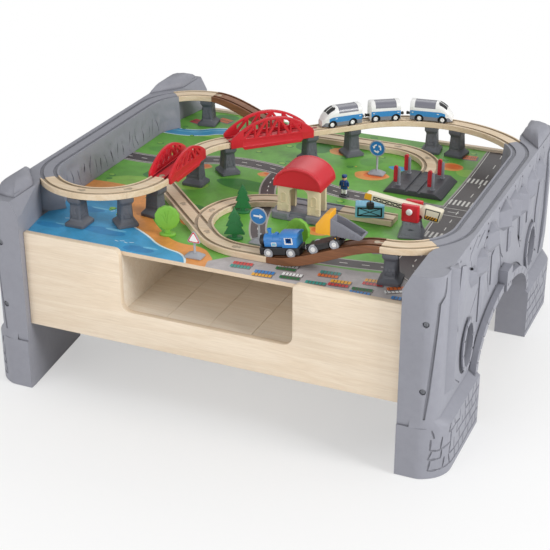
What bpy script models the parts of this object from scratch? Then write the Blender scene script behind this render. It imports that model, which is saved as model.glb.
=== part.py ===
"""Railway play table.

A wooden box with a play board stands between two moulded mountain end walls. The board carries
a wooden railway with piers, bridges, ramps, trains, a crane, a station and a level crossing.
X runs along the front panel, Y from front to back and Z up. The origin is on the floor, under
the middle of the table. All lengths are in metres and all angles in degrees.
"""
import math

import bmesh
import bpy
from mathutils import Matrix, Vector

BORE_EXTRA = 0.01        # how far a cutter runs out of the piece that it cuts
GAP = 0.0003             # clearance between pieces that touch
OVERLAP = 0.002          # how far shapes that become one piece run into each other
SMOOTH_LIMIT = 35        # edges sharper than this stay hard on rounded pieces

# wooden box
PANEL_HALF_LENGTH = 0.3797
PANEL_FACE = 0.393       # outer face of the front and back panel, from the middle
PANEL_THICK = 0.012
PANEL_LOW = 0.138
PANEL_TOP = 0.333
NOTCH_HALF_WIDTH = 0.174
NOTCH_LOW = 0.207
NOTCH_FILLET = 0.020
NOTCH_LIP = 0.012
BOARD_TOP = 0.327
BOARD_THICK = 0.008
BOARD_HALF_LENGTH = 0.397
STORE_FLOOR_TOP = 0.204
STORE_FLOOR_THICK = 0.012
STORE_SIDE_LOW = 0.170
STORE_PLANKS = 4
SEAM = 0.001             # half width and depth of the seams between planks
BATTEN = 0.018

# moulded end walls
WALL_INNER = 0.380
WALL_JAMB_INNER = 0.403
WALL_OUTER = 0.450
WALL_HALF_DEPTH = 0.407
WALL_CORNER = 0.032
FLANGE = 0.012           # thickness of the flange at each end of a wall
FLANGE_DEPTH = WALL_HALF_DEPTH - FLANGE
FOOT_OUTER = 0.469
FOOT_HALF_DEPTH = 0.410
FOOT_CORNER = 0.058
FOOT_TOP = 0.104
FOOT_SHOULDER = 0.118
LEG_TOP = 0.140
WALL_DRAFT = 0.008       # how far the inner face leans in at the board
ARCH_HALF_WIDTH = 0.183
ARCH_SPRING = 0.111
ARCH_RISE = 0.090
ARCH_BAND = 0.016
BAND_OUTER = 0.464
KEYSTONE = (0.015, 0.019, 0.245)     # half width low, half width high, top
ARM_TURN = 50            # the arms that carry the moulded curves end in a corner at this angle
ARM_BULGE = 0.003        # how far that corner stands out from the curve
SHOULDER = (0.0193, 0.030, 0.007)    # width of the sloping inner edge, reach below and above the deck
SHOULDER_LENGTH = 0.111
SHOULDER_DEPTH = WALL_HALF_DEPTH - SHOULDER_LENGTH
OVAL_CENTRE = (0.232, 0.190)
OVAL_HALF = (0.028, 0.044)
OVAL_BAND = 0.009
OVAL_DEPTH = 0.006
KNOB_TOP = 0.420
KNOB_PLAN = ((0.0535, 0.0200), (0.0300, 0.0198), (0.0090, 0.0280), (0.0010, 0.0500),
             (0.0008, 0.1570), (0.0200, 0.1290), (0.0380, 0.1080), (0.0520, 0.0870))
KNOB_CENTRE = (0.026, 0.072)     # both measured inwards from the wall's outer corner
KNOB_LEVELS = ((0.390, 1.0), (0.400, 0.99), (0.407, 0.92), (0.414, 0.76), (0.418, 0.55), (KNOB_TOP, 0.3))
SCREW_X = 0.424
SCREW_HEIGHTS = (0.178, 0.310)
SCREW_BORE = 0.006       # radius of the bores that the screw heads sit in
SCREW_SEAT = 0.402       # bottom of those bores, from the middle

# track pieces
TRACK_WIDTH = 0.040
TRACK_THICK = 0.012
GROOVE_OFFSET = 0.013
GROOVE_WIDTH = 0.0065
GROOVE_DEPTH = 0.003
KEY_NECK = 0.003
KEY_DISC = 0.0055
KEY_REACH = 0.011
KEY_FIT = 0.0006
CURVE_RADIUS = 0.116
UPPER_TOP = 0.399
UPPER_LOW = UPPER_TOP - TRACK_THICK
LOWER_LOW = BOARD_TOP + GAP
LOWER_TOP = BOARD_TOP + TRACK_THICK
PEG_HALF = 0.008         # half width of the peg on a pier
PEG_BACK = 0.006         # length of that peg along the track

# railway layout, in plan
LOOP_X = 0.425           # centre line of the track moulded into a wall
LOOP_Y = 0.188           # where that track starts to curve
ARC_X = LOOP_X - CURVE_RADIUS
BRIDGE_LENGTHS = (0.156, 0.186)
BRIDGE_RISES = (0.031, 0.041)
RAMP_LENGTH = 0.216
RAMP_BELLY = 0.008       # extra thickness in the middle of a ramp
SIDE_THICK = 0.005       # side of a bridge
SIDE_STEP = (0.024, 0.006)   # where its low edge steps down, and by how much
SIDE_CHORD = 0.006       # bar along the deck
SIDE_RIM = 0.006         # bar along the arch
SIDE_RISE = 0.005        # height of the arch's ends above the deck
SIDE_BAYS = 7
SIDE_BAR = 0.0018        # half width of the bars between its windows
PIER_FOOT = (0.023, 0.021)       # half widths across and along the track
PIER_NECK = (0.0175, 0.013)
PIER_THROAT = (0.0155, 0.011)
PIER_CAP = (0.0205, 0.014)
PIER_FOOT_HEIGHTS = (0.006, 0.012)
PIER_CAP_DEPTHS = (0.014, 0.008)     # below the track
PIER_CHAMFER = 0.003
EXPRESS_PIER_BACK = 0.026    # first express pier, back from the start of the curve
EXPRESS_PIER_TURNS = (-38, -52)
CLEAR_OF_SPUR = 9        # piers move back along their curves by these angles
CLEAR_OF_RAMP = 8
SHORT_STRAIGHT = 0.060
LONG_STRAIGHT = 0.144
SWITCH_LEAD = 0.0127
SWITCH_TURN = 46         # just enough for the next track to clear the straight one
STATION_TRACK = 0.116
YARD_STRAIGHT = 0.110

# vehicles
WHEEL_RADIUS = 0.009
WHEEL_WIDTH = 0.0044
AXLE_RADIUS = 0.0016
WELL_CLEARANCE = 0.0012
EXPRESS_AXLES = ((-0.0785, -0.0315), (0.0255, 0.0695), (0.127, 0.177))     # along the line, from the curve
LOCO_AXLES = (0.097, 0.141)
WAGON_AXLES = (0.186, 0.226)

GREY = (0.36, 0.37, 0.41)
DARK_GREY = (0.10, 0.105, 0.12)
LIGHT_GREY = (0.45, 0.46, 0.48)
BIRCH = (0.78, 0.66, 0.50)
BEECH = (0.72, 0.56, 0.37)
BROWN = (0.20, 0.085, 0.035)
RED = (0.55, 0.02, 0.04)
BLUE = (0.05, 0.26, 0.55)
WHITE = (0.80, 0.81, 0.82)
BLACK = (0.02, 0.02, 0.022)
GREEN = (0.16, 0.45, 0.04)
BEIGE = (0.60, 0.52, 0.38)
YELLOW = (0.75, 0.36, 0.03)


def clear_scene():
    for item in list(bpy.data.objects):
        bpy.data.objects.remove(item, do_unlink=True)


# meshes

def solid(verts, faces):
    """Closed mesh with its faces turned outwards."""
    mesh = bpy.data.meshes.new("shape")
    mesh.from_pydata([tuple(v) for v in verts], [], faces)
    work = bmesh.new()
    work.from_mesh(mesh)
    bmesh.ops.recalc_face_normals(work, faces=work.faces)
    work.to_mesh(mesh)
    work.free()
    return mesh


def loft(rings):
    """Closed skin through rings of equal point count."""
    size = len(rings[0])
    faces = [tuple(reversed(range(size)))]
    for level in range(len(rings) - 1):
        low = level * size
        for i in range(size):
            j = (i + 1) % size
            faces.append((low + i, low + j, low + size + j, low + size + i))
    last = (len(rings) - 1) * size
    faces.append(tuple(range(last, last + size)))
    return solid([point for ring in rings for point in ring], faces)


def prism(outline, low, high):
    """Upright solid on a plan outline."""
    return loft([[(x, y, z) for x, y in outline] for z in (low, high)])


def prism_x(outline, low, high):
    """Solid with a (y, z) outline, running along X."""
    return loft([[(x, y, z) for y, z in outline] for x in (low, high)])


def prism_y(outline, low, high):
    """Solid with an (x, z) outline, running along Y."""
    return loft([[(x, y, z) for x, z in outline] for y in (low, high)])


def box(low, high):
    outline = [(low[0], low[1]), (high[0], low[1]), (high[0], high[1]), (low[0], high[1])]
    return prism(outline, low[2], high[2])


def revolve(profile, steps, axis="Z"):
    """Solid of revolution. The profile of (radius, height) starts and ends on the axis."""
    verts = [(0, 0, profile[0][1])]
    for radius, height in profile[1:-1]:
        for step in range(steps):
            angle = 2 * math.pi * step / steps
            verts.append((radius * math.cos(angle), radius * math.sin(angle), height))
    verts.append((0, 0, profile[-1][1]))
    rings = len(profile) - 2
    faces = []
    for step in range(steps):
        nxt = (step + 1) % steps
        faces.append((0, 1 + nxt, 1 + step))
        for ring in range(rings - 1):
            low = 1 + ring * steps
            faces.append((low + step, low + nxt, low + steps + nxt, low + steps + step))
        top = 1 + (rings - 1) * steps
        faces.append((len(verts) - 1, top + step, top + nxt))
    mesh = solid(verts, faces)
    if axis == "X":
        mesh.transform(Matrix.Rotation(math.radians(90), 4, "Y"))
    if axis == "Y":
        mesh.transform(Matrix.Rotation(math.radians(-90), 4, "X"))
    return mesh


def cylinder(centre, radius, low, high, steps=12, axis="Z"):
    mesh = revolve([(0, low), (radius, low), (radius, high), (0, high)], steps, axis)
    mesh.transform(Matrix.Translation(centre))
    return mesh


def moved(mesh, matrix):
    mesh.transform(matrix)
    if matrix.determinant() < 0:
        mesh.flip_normals()
    return mesh


def mirrored(mesh):
    """Copy of a mesh on the other side of the table."""
    return moved(mesh.copy(), Matrix.Scale(-1, 4, (1, 0, 0)))


def join(meshes):
    """One mesh that holds several separate solids."""
    work = bmesh.new()
    for mesh in meshes:
        work.from_mesh(mesh)
    joined = bpy.data.meshes.new("shape")
    work.to_mesh(joined)
    work.free()
    return joined


def boolean(mesh, tools, operation):
    """Apply each tool to the mesh in turn."""
    scene = bpy.context.scene.collection
    for tool in tools:
        target = bpy.data.objects.new("target", mesh)
        cutter = bpy.data.objects.new("cutter", tool)
        scene.objects.link(target)
        scene.objects.link(cutter)
        step = target.modifiers.new("step", "BOOLEAN")
        step.operation = operation
        step.solver = "EXACT"
        step.object = cutter
        graph = bpy.context.evaluated_depsgraph_get()
        mesh = bpy.data.meshes.new_from_object(target.evaluated_get(graph))
        bpy.data.objects.remove(target, do_unlink=True)
        bpy.data.objects.remove(cutter, do_unlink=True)
    return mesh


def union(mesh, tools):
    return boolean(mesh, tools, "UNION")


def cut(mesh, tools):
    return boolean(mesh, tools, "DIFFERENCE")


def material(name, colour, roughness, metallic):
    look = bpy.data.materials.new(name)
    look.use_nodes = True
    shader = look.node_tree.nodes["Principled BSDF"]
    shader.inputs["Base Color"].default_value = (*colour, 1)
    shader.inputs["Roughness"].default_value = roughness
    shader.inputs["Metallic"].default_value = metallic
    return look


def node(name, mesh, colour, pivot=(0, 0, 0), smooth=False, roughness=0.5, metallic=0.0):
    """One named piece of the part, with its own material and its origin at the pivot."""
    mesh.transform(Matrix.Translation(-Vector(pivot)))
    mesh.name = name
    mesh.materials.append(material(name, colour, roughness, metallic))
    if smooth:
        mesh.shade_smooth()
        mesh.set_sharp_from_angle(angle=math.radians(SMOOTH_LIMIT))
    item = bpy.data.objects.new(name, mesh)
    item.location = pivot
    bpy.context.scene.collection.objects.link(item)
    return item


# outlines

def polar(centre, radius, degrees):
    angle = math.radians(degrees)
    return (centre[0] + radius * math.cos(angle), centre[1] + radius * math.sin(angle))


def arc(centre, radius, begin, end, steps):
    return [polar(centre, radius, begin + (end - begin) * i / steps) for i in range(steps + 1)]


def ellipse(centre, half, begin, end, steps):
    points = arc((0, 0), 1, begin, end, steps)
    return [(centre[0] + x * half[0], centre[1] + y * half[1]) for x, y in points]


def rounded(corners, steps=4):
    """Outline whose corners (x, y, radius) become arcs."""
    outline = []
    for i, (x, y, radius) in enumerate(corners):
        corner = Vector((x, y))
        if radius == 0:
            outline.append((x, y))
            continue
        before = (Vector(corners[i - 1][:2]) - corner).normalized()
        after = (Vector(corners[(i + 1) % len(corners)][:2]) - corner).normalized()
        half = before.angle(after) / 2
        centre = corner + (before + after).normalized() * radius / math.sin(half)
        start = corner + before * radius / math.tan(half) - centre
        end = corner + after * radius / math.tan(half) - centre
        first = math.atan2(start.y, start.x)
        turn = (math.atan2(end.y, end.x) - first + math.pi) % (2 * math.pi) - math.pi
        for step in range(steps + 1):
            outline.append(polar(centre, radius, math.degrees(first + turn * step / steps)))
    return outline


def rectangle(half_x, half_y, radius=0):
    return rounded([(-half_x, -half_y, radius), (half_x, -half_y, radius),
                    (half_x, half_y, radius), (-half_x, half_y, radius)])


# track geometry: a pose is (x, y, heading)

def along(pose, length):
    x, y, heading = pose
    angle = math.radians(heading)
    return (x + length * math.cos(angle), y + length * math.sin(angle), heading)


def around(pose, radius, turn):
    """Pose after an arc. A positive turn bends to the left."""
    x, y, heading = pose
    side = math.copysign(1, turn)
    old = math.radians(heading)
    new = math.radians(heading + turn)
    return (x + side * radius * (math.sin(new) - math.sin(old)),
            y - side * radius * (math.cos(new) - math.cos(old)), heading + turn)


def straight_line(pose, length):
    return [along(pose, GAP / 2), along(pose, length - GAP / 2)]


def curved_line(pose, radius, turn, steps=6):
    trim = math.copysign(math.degrees(GAP / 2 / radius), turn)
    return [around(pose, radius, trim + (turn - 2 * trim) * i / steps) for i in range(steps + 1)]


def track_section(low, high):
    """Cross-section of a track with its two wheel grooves."""
    half = TRACK_WIDTH / 2
    near = GROOVE_OFFSET - GROOVE_WIDTH / 2
    far = GROOVE_OFFSET + GROOVE_WIDTH / 2
    floor = high - GROOVE_DEPTH
    right = [(half, low), (half, high), (far, high), (far, floor), (near, floor), (near, high)]
    left = [(-across, height) for across, height in reversed(right)]
    return right + left


def sweep(poses, sections):
    """Solid that carries a cross-section of (across, height) along a line of poses."""
    rings = []
    for (x, y, heading), section in zip(poses, sections):
        angle = math.radians(heading)
        rings.append([(x + across * math.sin(angle), y - across * math.cos(angle), height)
                      for across, height in section])
    return loft(rings)


def placed(mesh, pose):
    x, y, heading = pose
    mesh.transform(Matrix.Translation((x, y, 0)) @ Matrix.Rotation(math.radians(heading), 4, "Z"))
    return mesh


def groove_cutters(poses, top, lift):
    """Cutters for the two wheel grooves of a track with this top."""
    floor = top - GROOVE_DEPTH
    cutters = []
    for across in (-GROOVE_OFFSET, GROOVE_OFFSET):
        near = across - GROOVE_WIDTH / 2
        far = across + GROOVE_WIDTH / 2
        section = [(near, floor), (far, floor), (far, top + lift), (near, top + lift)]
        cutters.append(sweep(poses, [section] * len(poses)))
    return cutters


def key_shape(grow, back, low, high):
    """Round-headed connector that points along X."""
    neck = KEY_NECK + grow
    disc = KEY_DISC + grow
    open_angle = 180 - math.degrees(math.asin(neck / disc))
    head = arc((KEY_REACH, 0), disc, -open_angle, open_angle, 9)
    return prism([(-back, -neck)] + head + [(-back, neck)], low, high)


def with_key(body, pose, low, high):
    return union(body, [placed(key_shape(0, KEY_DISC, low + GAP, high - GAP), pose)])


def with_socket(body, pose, low, high):
    return cut(body, [placed(key_shape(KEY_FIT, KEY_DISC, low - KEY_DISC, high + KEY_DISC), pose)])


def track(poses, low, high, socket=True, key=True):
    body = sweep(poses, [track_section(low, high)] * len(poses))
    if key:
        body = with_key(body, poses[-1], low, high)
    if socket:
        body = with_socket(body, poses[0], low, high)
    return body


def arc_steps(radius, turn):
    return max(6, round(abs(turn) * radius / CURVE_RADIUS / 8))


def upper_curve(pose, turn, socket=True, key=True, radius=CURVE_RADIUS):
    line = curved_line(pose, radius, turn, arc_steps(radius, turn))
    return track(line, UPPER_LOW, UPPER_TOP, socket, key)


def lower_line(pose, parts, socket=True, key=True):
    """Piece on the board made of parts: straight lengths, and negative degrees for turns to the right."""
    line = []
    for part in parts:
        if part > 0:
            line += straight_line(pose, part)
            pose = along(pose, part)
        else:
            line += curved_line(pose, CURVE_RADIUS, part, arc_steps(CURVE_RADIUS, part))
            pose = around(pose, CURVE_RADIUS, part)
    return track(line, LOWER_LOW, LOWER_TOP, socket, key), pose


def ramp_height(share):
    """Top of a ramp at a share of its length, from its high end."""
    smooth = share * share * (3 - 2 * share)
    return UPPER_TOP - (UPPER_TOP - LOWER_TOP) * smooth


def ramp(pose, steps=14):
    trim = GAP / 2
    poses = []
    sections = []
    for i in range(steps + 1):
        share = i / steps
        poses.append(along(pose, trim + (RAMP_LENGTH - 2 * trim) * share))
        top = ramp_height(share)
        low = top - TRACK_THICK - RAMP_BELLY * math.sin(math.pi * share)
        sections.append(track_section(max(low, LOWER_LOW), top))
    body = sweep(poses, sections)
    body = with_key(body, poses[-1], LOWER_LOW, LOWER_TOP)
    return with_socket(body, poses[0], UPPER_LOW, UPPER_TOP)


# box and walls

def panel_outline():
    lip = NOTCH_LIP
    return rounded([
        (-PANEL_HALF_LENGTH, PANEL_LOW, 0), (PANEL_HALF_LENGTH, PANEL_LOW, 0),
        (PANEL_HALF_LENGTH, PANEL_TOP, 0), (NOTCH_HALF_WIDTH, PANEL_TOP, lip),
        (NOTCH_HALF_WIDTH, NOTCH_LOW, NOTCH_FILLET), (-NOTCH_HALF_WIDTH, NOTCH_LOW, NOTCH_FILLET),
        (-NOTCH_HALF_WIDTH, PANEL_TOP, lip), (-PANEL_HALF_LENGTH, PANEL_TOP, 0)])


def build_box():
    inner = PANEL_FACE - PANEL_THICK
    reach = inner - GAP
    outline = panel_outline()
    node("front_panel", prism_y(outline, -PANEL_FACE, -inner), BIRCH)
    node("back_panel", prism_y(outline, inner, PANEL_FACE), BIRCH)
    board_low = BOARD_TOP - BOARD_THICK
    board = box((-BOARD_HALF_LENGTH, -reach, board_low), (BOARD_HALF_LENGTH, reach, BOARD_TOP))
    node("play_board", board, GREEN)
    side_top = board_low - GAP
    side_end = NOTCH_HALF_WIDTH + GAP + PANEL_THICK
    side = box((NOTCH_HALF_WIDTH + GAP, -reach, STORE_SIDE_LOW), (side_end, reach, side_top))
    start = side_end - OVERLAP
    battens = [box((start, front, side_top - BATTEN), (PANEL_HALF_LENGTH, front + BATTEN, side_top))
               for front in (-reach, reach - BATTEN)]
    side = union(side, battens)
    node("storage_side_right", side, BIRCH)
    node("storage_side_left", mirrored(side), BIRCH)
    floor = box((-NOTCH_HALF_WIDTH, -reach, STORE_FLOOR_TOP - STORE_FLOOR_THICK),
                (NOTCH_HALF_WIDTH, reach, STORE_FLOOR_TOP))
    plank = 2 * NOTCH_HALF_WIDTH / STORE_PLANKS
    seams = []
    for i in range(1, STORE_PLANKS):
        x = -NOTCH_HALF_WIDTH + i * plank
        seams.append(box((x - SEAM, -PANEL_FACE, STORE_FLOOR_TOP - SEAM), (x + SEAM, PANEL_FACE, BOARD_TOP)))
    node("storage_floor", cut(floor, [join(seams)]), BIRCH)


def block_outline(inner, outer, half_depth, corner):
    """Plan of a wall slice whose two outer corners are round."""
    return rounded([(inner, -half_depth, 0), (outer, -half_depth, corner), (outer, half_depth, corner),
                    (inner, half_depth, 0)], 5)


def leg_outline():
    """Plan of the legs, which get thinner towards the arch."""
    outline = block_outline(WALL_INNER, WALL_OUTER, WALL_HALF_DEPTH, WALL_CORNER)
    return outline + [(WALL_INNER, FLANGE_DEPTH), (WALL_JAMB_INNER, ARCH_HALF_WIDTH),
                      (WALL_JAMB_INNER, -ARCH_HALF_WIDTH), (WALL_INNER, -FLANGE_DEPTH)]


def ledge_outline():
    """Plan of the slice that the board's end lies in."""
    pocket_x = BOARD_HALF_LENGTH + GAP
    pocket_y = PANEL_FACE - PANEL_THICK
    outline = block_outline(WALL_INNER, WALL_OUTER, WALL_HALF_DEPTH, WALL_CORNER)
    return outline + [(WALL_INNER, pocket_y), (pocket_x, pocket_y),
                      (pocket_x, -pocket_y), (WALL_INNER, -pocket_y)]


def deck_outline(lean):
    """Plan of the wall above the board, with the two arms that carry the moulded curves."""
    inner_radius = CURVE_RADIUS - TRACK_WIDTH / 2 - lean
    outer_radius = CURVE_RADIUS + TRACK_WIDTH / 2 + 2 * GAP
    end_angle = 45 - math.degrees(GAP / 2 / CURVE_RADIUS)
    back = (ARC_X, LOOP_Y)
    front = (ARC_X, -LOOP_Y)
    side = [(WALL_INNER, FLANGE_DEPTH), polar(back, outer_radius + ARM_BULGE, ARM_TURN),
            polar(back, outer_radius, end_angle)]
    side += arc(back, inner_radius, end_angle, 0, 6)
    side += arc(front, inner_radius, 0, -end_angle, 6)
    side += [polar(front, outer_radius, -end_angle), polar(front, outer_radius + ARM_BULGE, -ARM_TURN),
             (WALL_INNER, -FLANGE_DEPTH)]
    return block_outline(WALL_INNER, WALL_OUTER, WALL_HALF_DEPTH, WALL_CORNER) + side


def knob(sign):
    """Rounded rock on a corner of the wall, outside the curve of the track."""
    base = [Vector((WALL_OUTER - across, WALL_HALF_DEPTH - back)) for across, back in KNOB_PLAN]
    centre = Vector((WALL_OUTER - KNOB_CENTRE[0], WALL_HALF_DEPTH - KNOB_CENTRE[1]))
    rings = []
    for height, size in KNOB_LEVELS:
        ring = [centre.lerp(point, size) for point in base]
        rings.append([(x, sign * y, height) for x, y in ring])
    return loft(rings)


def shoulder_cut(sign):
    """Wedge taken off the inner edge above the panel."""
    low = UPPER_TOP - SHOULDER[1]
    high = UPPER_TOP + SHOULDER[2]
    wedge = [(PANEL_HALF_LENGTH - BATTEN, low), (PANEL_HALF_LENGTH, low),
             (PANEL_HALF_LENGTH + SHOULDER[0], high), (PANEL_HALF_LENGTH - BATTEN, high)]
    return prism_y(wedge, *sorted((sign * SHOULDER_DEPTH, sign * (WALL_HALF_DEPTH + SHOULDER[2]))))


def arch_outline(grow, low):
    half = (ARCH_HALF_WIDTH + grow, ARCH_RISE + grow)
    curve = ellipse((0, ARCH_SPRING), half, 0, 180, 16)
    return [(-half[0], low), (half[0], low)] + curve


def oval(sign, grow, low, high):
    centre = (sign * OVAL_CENTRE[0], OVAL_CENTRE[1])
    half = (OVAL_HALF[0] + grow, OVAL_HALF[1] + grow)
    return prism_x(ellipse(centre, half, 0, 340, 17), low, high)


def wall_grooves():
    """Cutters for the wheel grooves of the track moulded into the wall."""
    start = (*polar((ARC_X, -LOOP_Y), CURVE_RADIUS, -ARM_TURN), 90 - ARM_TURN)
    line = curved_line(start, CURVE_RADIUS, ARM_TURN, 7)
    line += curved_line((LOOP_X, LOOP_Y, 90), CURVE_RADIUS, ARM_TURN, 7)
    return groove_cutters(line, UPPER_TOP, KEY_DISC)


def screw_bores():
    bores = []
    for sign in (-1, 1):
        ends = sorted((sign * SCREW_SEAT, sign * FOOT_HALF_DEPTH))
        bores += [cylinder((SCREW_X, 0, height), SCREW_BORE, *ends, 12, "Y") for height in SCREW_HEIGHTS]
    return bores


def wall_mesh(knob_sides):
    """A wall as it stands on the right, with a rock on the corners of these sides."""
    board_low = BOARD_TOP - BOARD_THICK
    body = prism(leg_outline(), 0, LEG_TOP)
    foot = block_outline(WALL_JAMB_INNER, FOOT_OUTER, FOOT_HALF_DEPTH, FOOT_CORNER)
    foot_top = block_outline(WALL_JAMB_INNER, WALL_OUTER - GAP, WALL_HALF_DEPTH - GAP, WALL_CORNER)
    toe = block_outline(WALL_INNER, WALL_OUTER - GAP, FOOT_HALF_DEPTH, WALL_CORNER)
    between_toes = rectangle(FOOT_OUTER, FLANGE_DEPTH)
    band = block_outline(WALL_INNER, WALL_OUTER, WALL_HALF_DEPTH, WALL_CORNER)
    half_low, half_high, top = KEYSTONE
    keystone = [(-half_low, ARCH_SPRING), (half_low, ARCH_SPRING), (half_high, top), (-half_high, top)]
    parts = [
        loft([[(x, y, 0) for x, y in foot], [(x, y, FOOT_TOP) for x, y in foot],
              [(x, y, FOOT_SHOULDER) for x, y in foot_top]]),
        cut(prism(toe, 0, FOOT_TOP + GAP), [prism(between_toes, -BORE_EXTRA, LEG_TOP)]),
        prism(band, PANEL_LOW, board_low - GAP),
        prism(ledge_outline(), board_low - BATTEN, BOARD_TOP + 2 * GAP),
        loft([[(x, y, LOWER_LOW) for x, y in deck_outline(WALL_DRAFT)],
              [(x, y, UPPER_TOP) for x, y in deck_outline(0)]]),
        *[knob(side) for side in knob_sides],
        prism_x(arch_outline(ARCH_BAND, FOOT_TOP - KEY_FIT), WALL_JAMB_INNER, BAND_OUTER),
        prism_x(keystone, WALL_JAMB_INNER + GAP, FOOT_OUTER),
        oval(-1, OVAL_BAND, WALL_JAMB_INNER, WALL_OUTER + OVAL_DEPTH),
        oval(1, OVAL_BAND, WALL_JAMB_INNER, WALL_OUTER + OVAL_DEPTH),
    ]
    body = union(body, parts)
    mouth = FOOT_OUTER + ARCH_BAND
    cutters = [prism_x(arch_outline(0, -BORE_EXTRA), WALL_INNER - ARCH_BAND, mouth)]
    cutters += [oval(sign, 0, WALL_OUTER - OVAL_DEPTH, mouth) for sign in (-1, 1)]
    cutters += [shoulder_cut(sign) for sign in (-1, 1)]
    cutters += wall_grooves()
    cutters += screw_bores()
    return cut(body, [join(cutters)])


def build_walls():
    node("right_end_wall", wall_mesh((1,)), GREY)
    node("left_end_wall", mirrored(wall_mesh((-1, 1))), GREY)


# railway

def truss(length, rise, across):
    """Arched side of a bridge, in the frame of its deck."""
    step_in, step_down = SIDE_STEP
    low_edge = UPPER_LOW - step_down
    chord = UPPER_TOP + SIDE_CHORD

    def crown(distance):
        return UPPER_TOP + SIDE_RISE + rise * math.sin(math.pi * distance / length) ** 0.8

    steps = 12
    top = [(length * i / steps, crown(length * i / steps)) for i in range(steps, -1, -1)]
    outline = [(0, UPPER_LOW), (step_in, UPPER_LOW), (step_in + step_down, low_edge),
               (length - step_in - step_down, low_edge), (length - step_in, UPPER_LOW), (length, UPPER_LOW)]
    outline += top
    windows = []
    for bay in range(1, SIDE_BAYS - 1):
        left = length * bay / SIDE_BAYS + SIDE_BAR
        right = length * (bay + 1) / SIDE_BAYS - SIDE_BAR
        high_left = crown(left) - SIDE_RIM
        high_right = crown(right) - SIDE_RIM
        slant = 2.2 * SIDE_BAR
        if bay < SIDE_BAYS / 2:
            shapes = ([(left, chord + slant), (right - slant, high_right), (left, high_left)],
                      [(left + slant, chord), (right, chord), (right, high_right - slant)])
        else:
            shapes = ([(left, chord), (right - slant, chord), (left, high_left - slant)],
                      [(right, chord + slant), (right, high_right), (left + slant, high_left)])
        windows += [prism_y(shape, across - SIDE_THICK, across + SIDE_THICK) for shape in shapes]
    plate = prism_y(outline, across - SIDE_THICK / 2, across + SIDE_THICK / 2)
    return cut(plate, [join(windows)])


def bridge(pose, length, rise):
    deck = track(straight_line((0, 0, 0), length), UPPER_LOW, UPPER_TOP)
    offset = TRACK_WIDTH / 2 + 0.4 * SIDE_THICK
    sides = [moved(truss(length - GAP, rise, across), Matrix.Translation((GAP / 2, 0, 0)))
             for across in (-offset, offset)]
    return placed(union(deck, sides), pose)


def pier(pose):
    """Pier with a spread foot and a flared cap, and a peg that holds it to its track."""
    top = UPPER_LOW - GAP
    foot_height, neck_height = PIER_FOOT_HEIGHTS
    throat_depth, cap_depth = PIER_CAP_DEPTHS
    levels = ((LOWER_LOW, PIER_FOOT), (LOWER_LOW + foot_height, PIER_FOOT),
              (LOWER_LOW + neck_height, PIER_NECK), (top - throat_depth, PIER_THROAT),
              (top - cap_depth, PIER_CAP), (top, PIER_CAP))
    rings = [[(a, b, height) for a, b in chamfered(half_along, half_across, PIER_CHAMFER)]
             for height, (half_across, half_along) in levels]
    peg = box((-PEG_BACK, -PEG_HALF, UPPER_LOW - OVERLAP), (-OVERLAP, PEG_HALF, UPPER_LOW + OVERLAP))
    return placed(union(loft(rings), [peg]), pose)


def with_piers(body, poses):
    """Track piece that stands on piers. Each pier has a peg up into the piece, just before its pose."""
    return union(body, [pier(pose) for pose in poses])


def chamfered(half_x, half_y, chamfer):
    inner_x = half_x - chamfer
    inner_y = half_y - chamfer
    return [(-inner_x, -half_y), (inner_x, -half_y), (half_x, -inner_y), (half_x, inner_y),
            (inner_x, half_y), (-inner_x, half_y), (-half_x, inner_y), (-half_x, -inner_y)]


def build_bridges(pose):
    """The two bridges and the curve between them. Returns the pose at their end."""
    body = bridge(pose, BRIDGE_LENGTHS[0], BRIDGE_RISES[0])
    pose = along(pose, BRIDGE_LENGTHS[0])
    node("bridge_front", with_piers(body, [pose]), RED)
    body = upper_curve(pose, -45)
    pose = around(pose, CURVE_RADIUS, -45)
    node("upper_middle_curve", with_piers(body, [pose]), BEECH)
    body = bridge(pose, BRIDGE_LENGTHS[1], BRIDGE_RISES[1])
    pose = along(pose, BRIDGE_LENGTHS[1])
    node("bridge_middle", with_piers(body, [pose]), RED)
    return pose


def build_express_track(pose):
    """Straight and wide curve up to the right wall. Returns where the curve starts and its radius."""
    end = polar((ARC_X, LOOP_Y), CURVE_RADIUS, 45)
    reach = end[0] - pose[0]
    climb = end[1] - pose[1]
    radius = (reach - climb) / math.sqrt(2)
    length = climb * math.sqrt(2)
    curve_start = along(pose, length)
    line = straight_line(pose, length)[:1] + curved_line(curve_start, radius, -90, 18)
    body = track(line, UPPER_LOW, UPPER_TOP, key=False)
    places = [along(curve_start, -EXPRESS_PIER_BACK)]
    places += [around(curve_start, radius, turn) for turn in EXPRESS_PIER_TURNS]
    node("express_track", with_piers(body, places), BEECH)
    return curve_start, radius


def build_upper_railway():
    """Returns where the express curve starts, its radius, and the feet of the front and back ramp."""
    pose = (*polar((-ARC_X, -LOOP_Y), CURVE_RADIUS, 225), -45)
    joints = [around(pose, CURVE_RADIUS, turn) for turn in (45, 90, 135 - CLEAR_OF_SPUR)]
    body = upper_curve(pose, 135, socket=False)
    node("upper_front_curve", with_piers(body, joints), BEECH)
    curve_start, radius = build_express_track(build_bridges(around(pose, CURVE_RADIUS, 135)))
    feet = []
    for name, ramp_name, x_side, y_side in (("upper_right_curve", "ramp_front", 1, -1),
                                            ("upper_back_curve", "ramp_back", -1, 1)):
        heading = 225 if y_side < 0 else 45
        wall_end = polar((x_side * ARC_X, y_side * LOOP_Y), CURVE_RADIUS, heading + 90)
        start = (*wall_end, heading)
        end = around(start, CURVE_RADIUS, -45)
        place = around(start, CURVE_RADIUS, CLEAR_OF_RAMP - 45)
        node(name, with_piers(upper_curve(start, -45, socket=False), [place]), BEECH)
        node(ramp_name, ramp(end), BROWN)
        feet.append(along(end, RAMP_LENGTH))
    return curve_start, radius, feet[0], feet[1]


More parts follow.
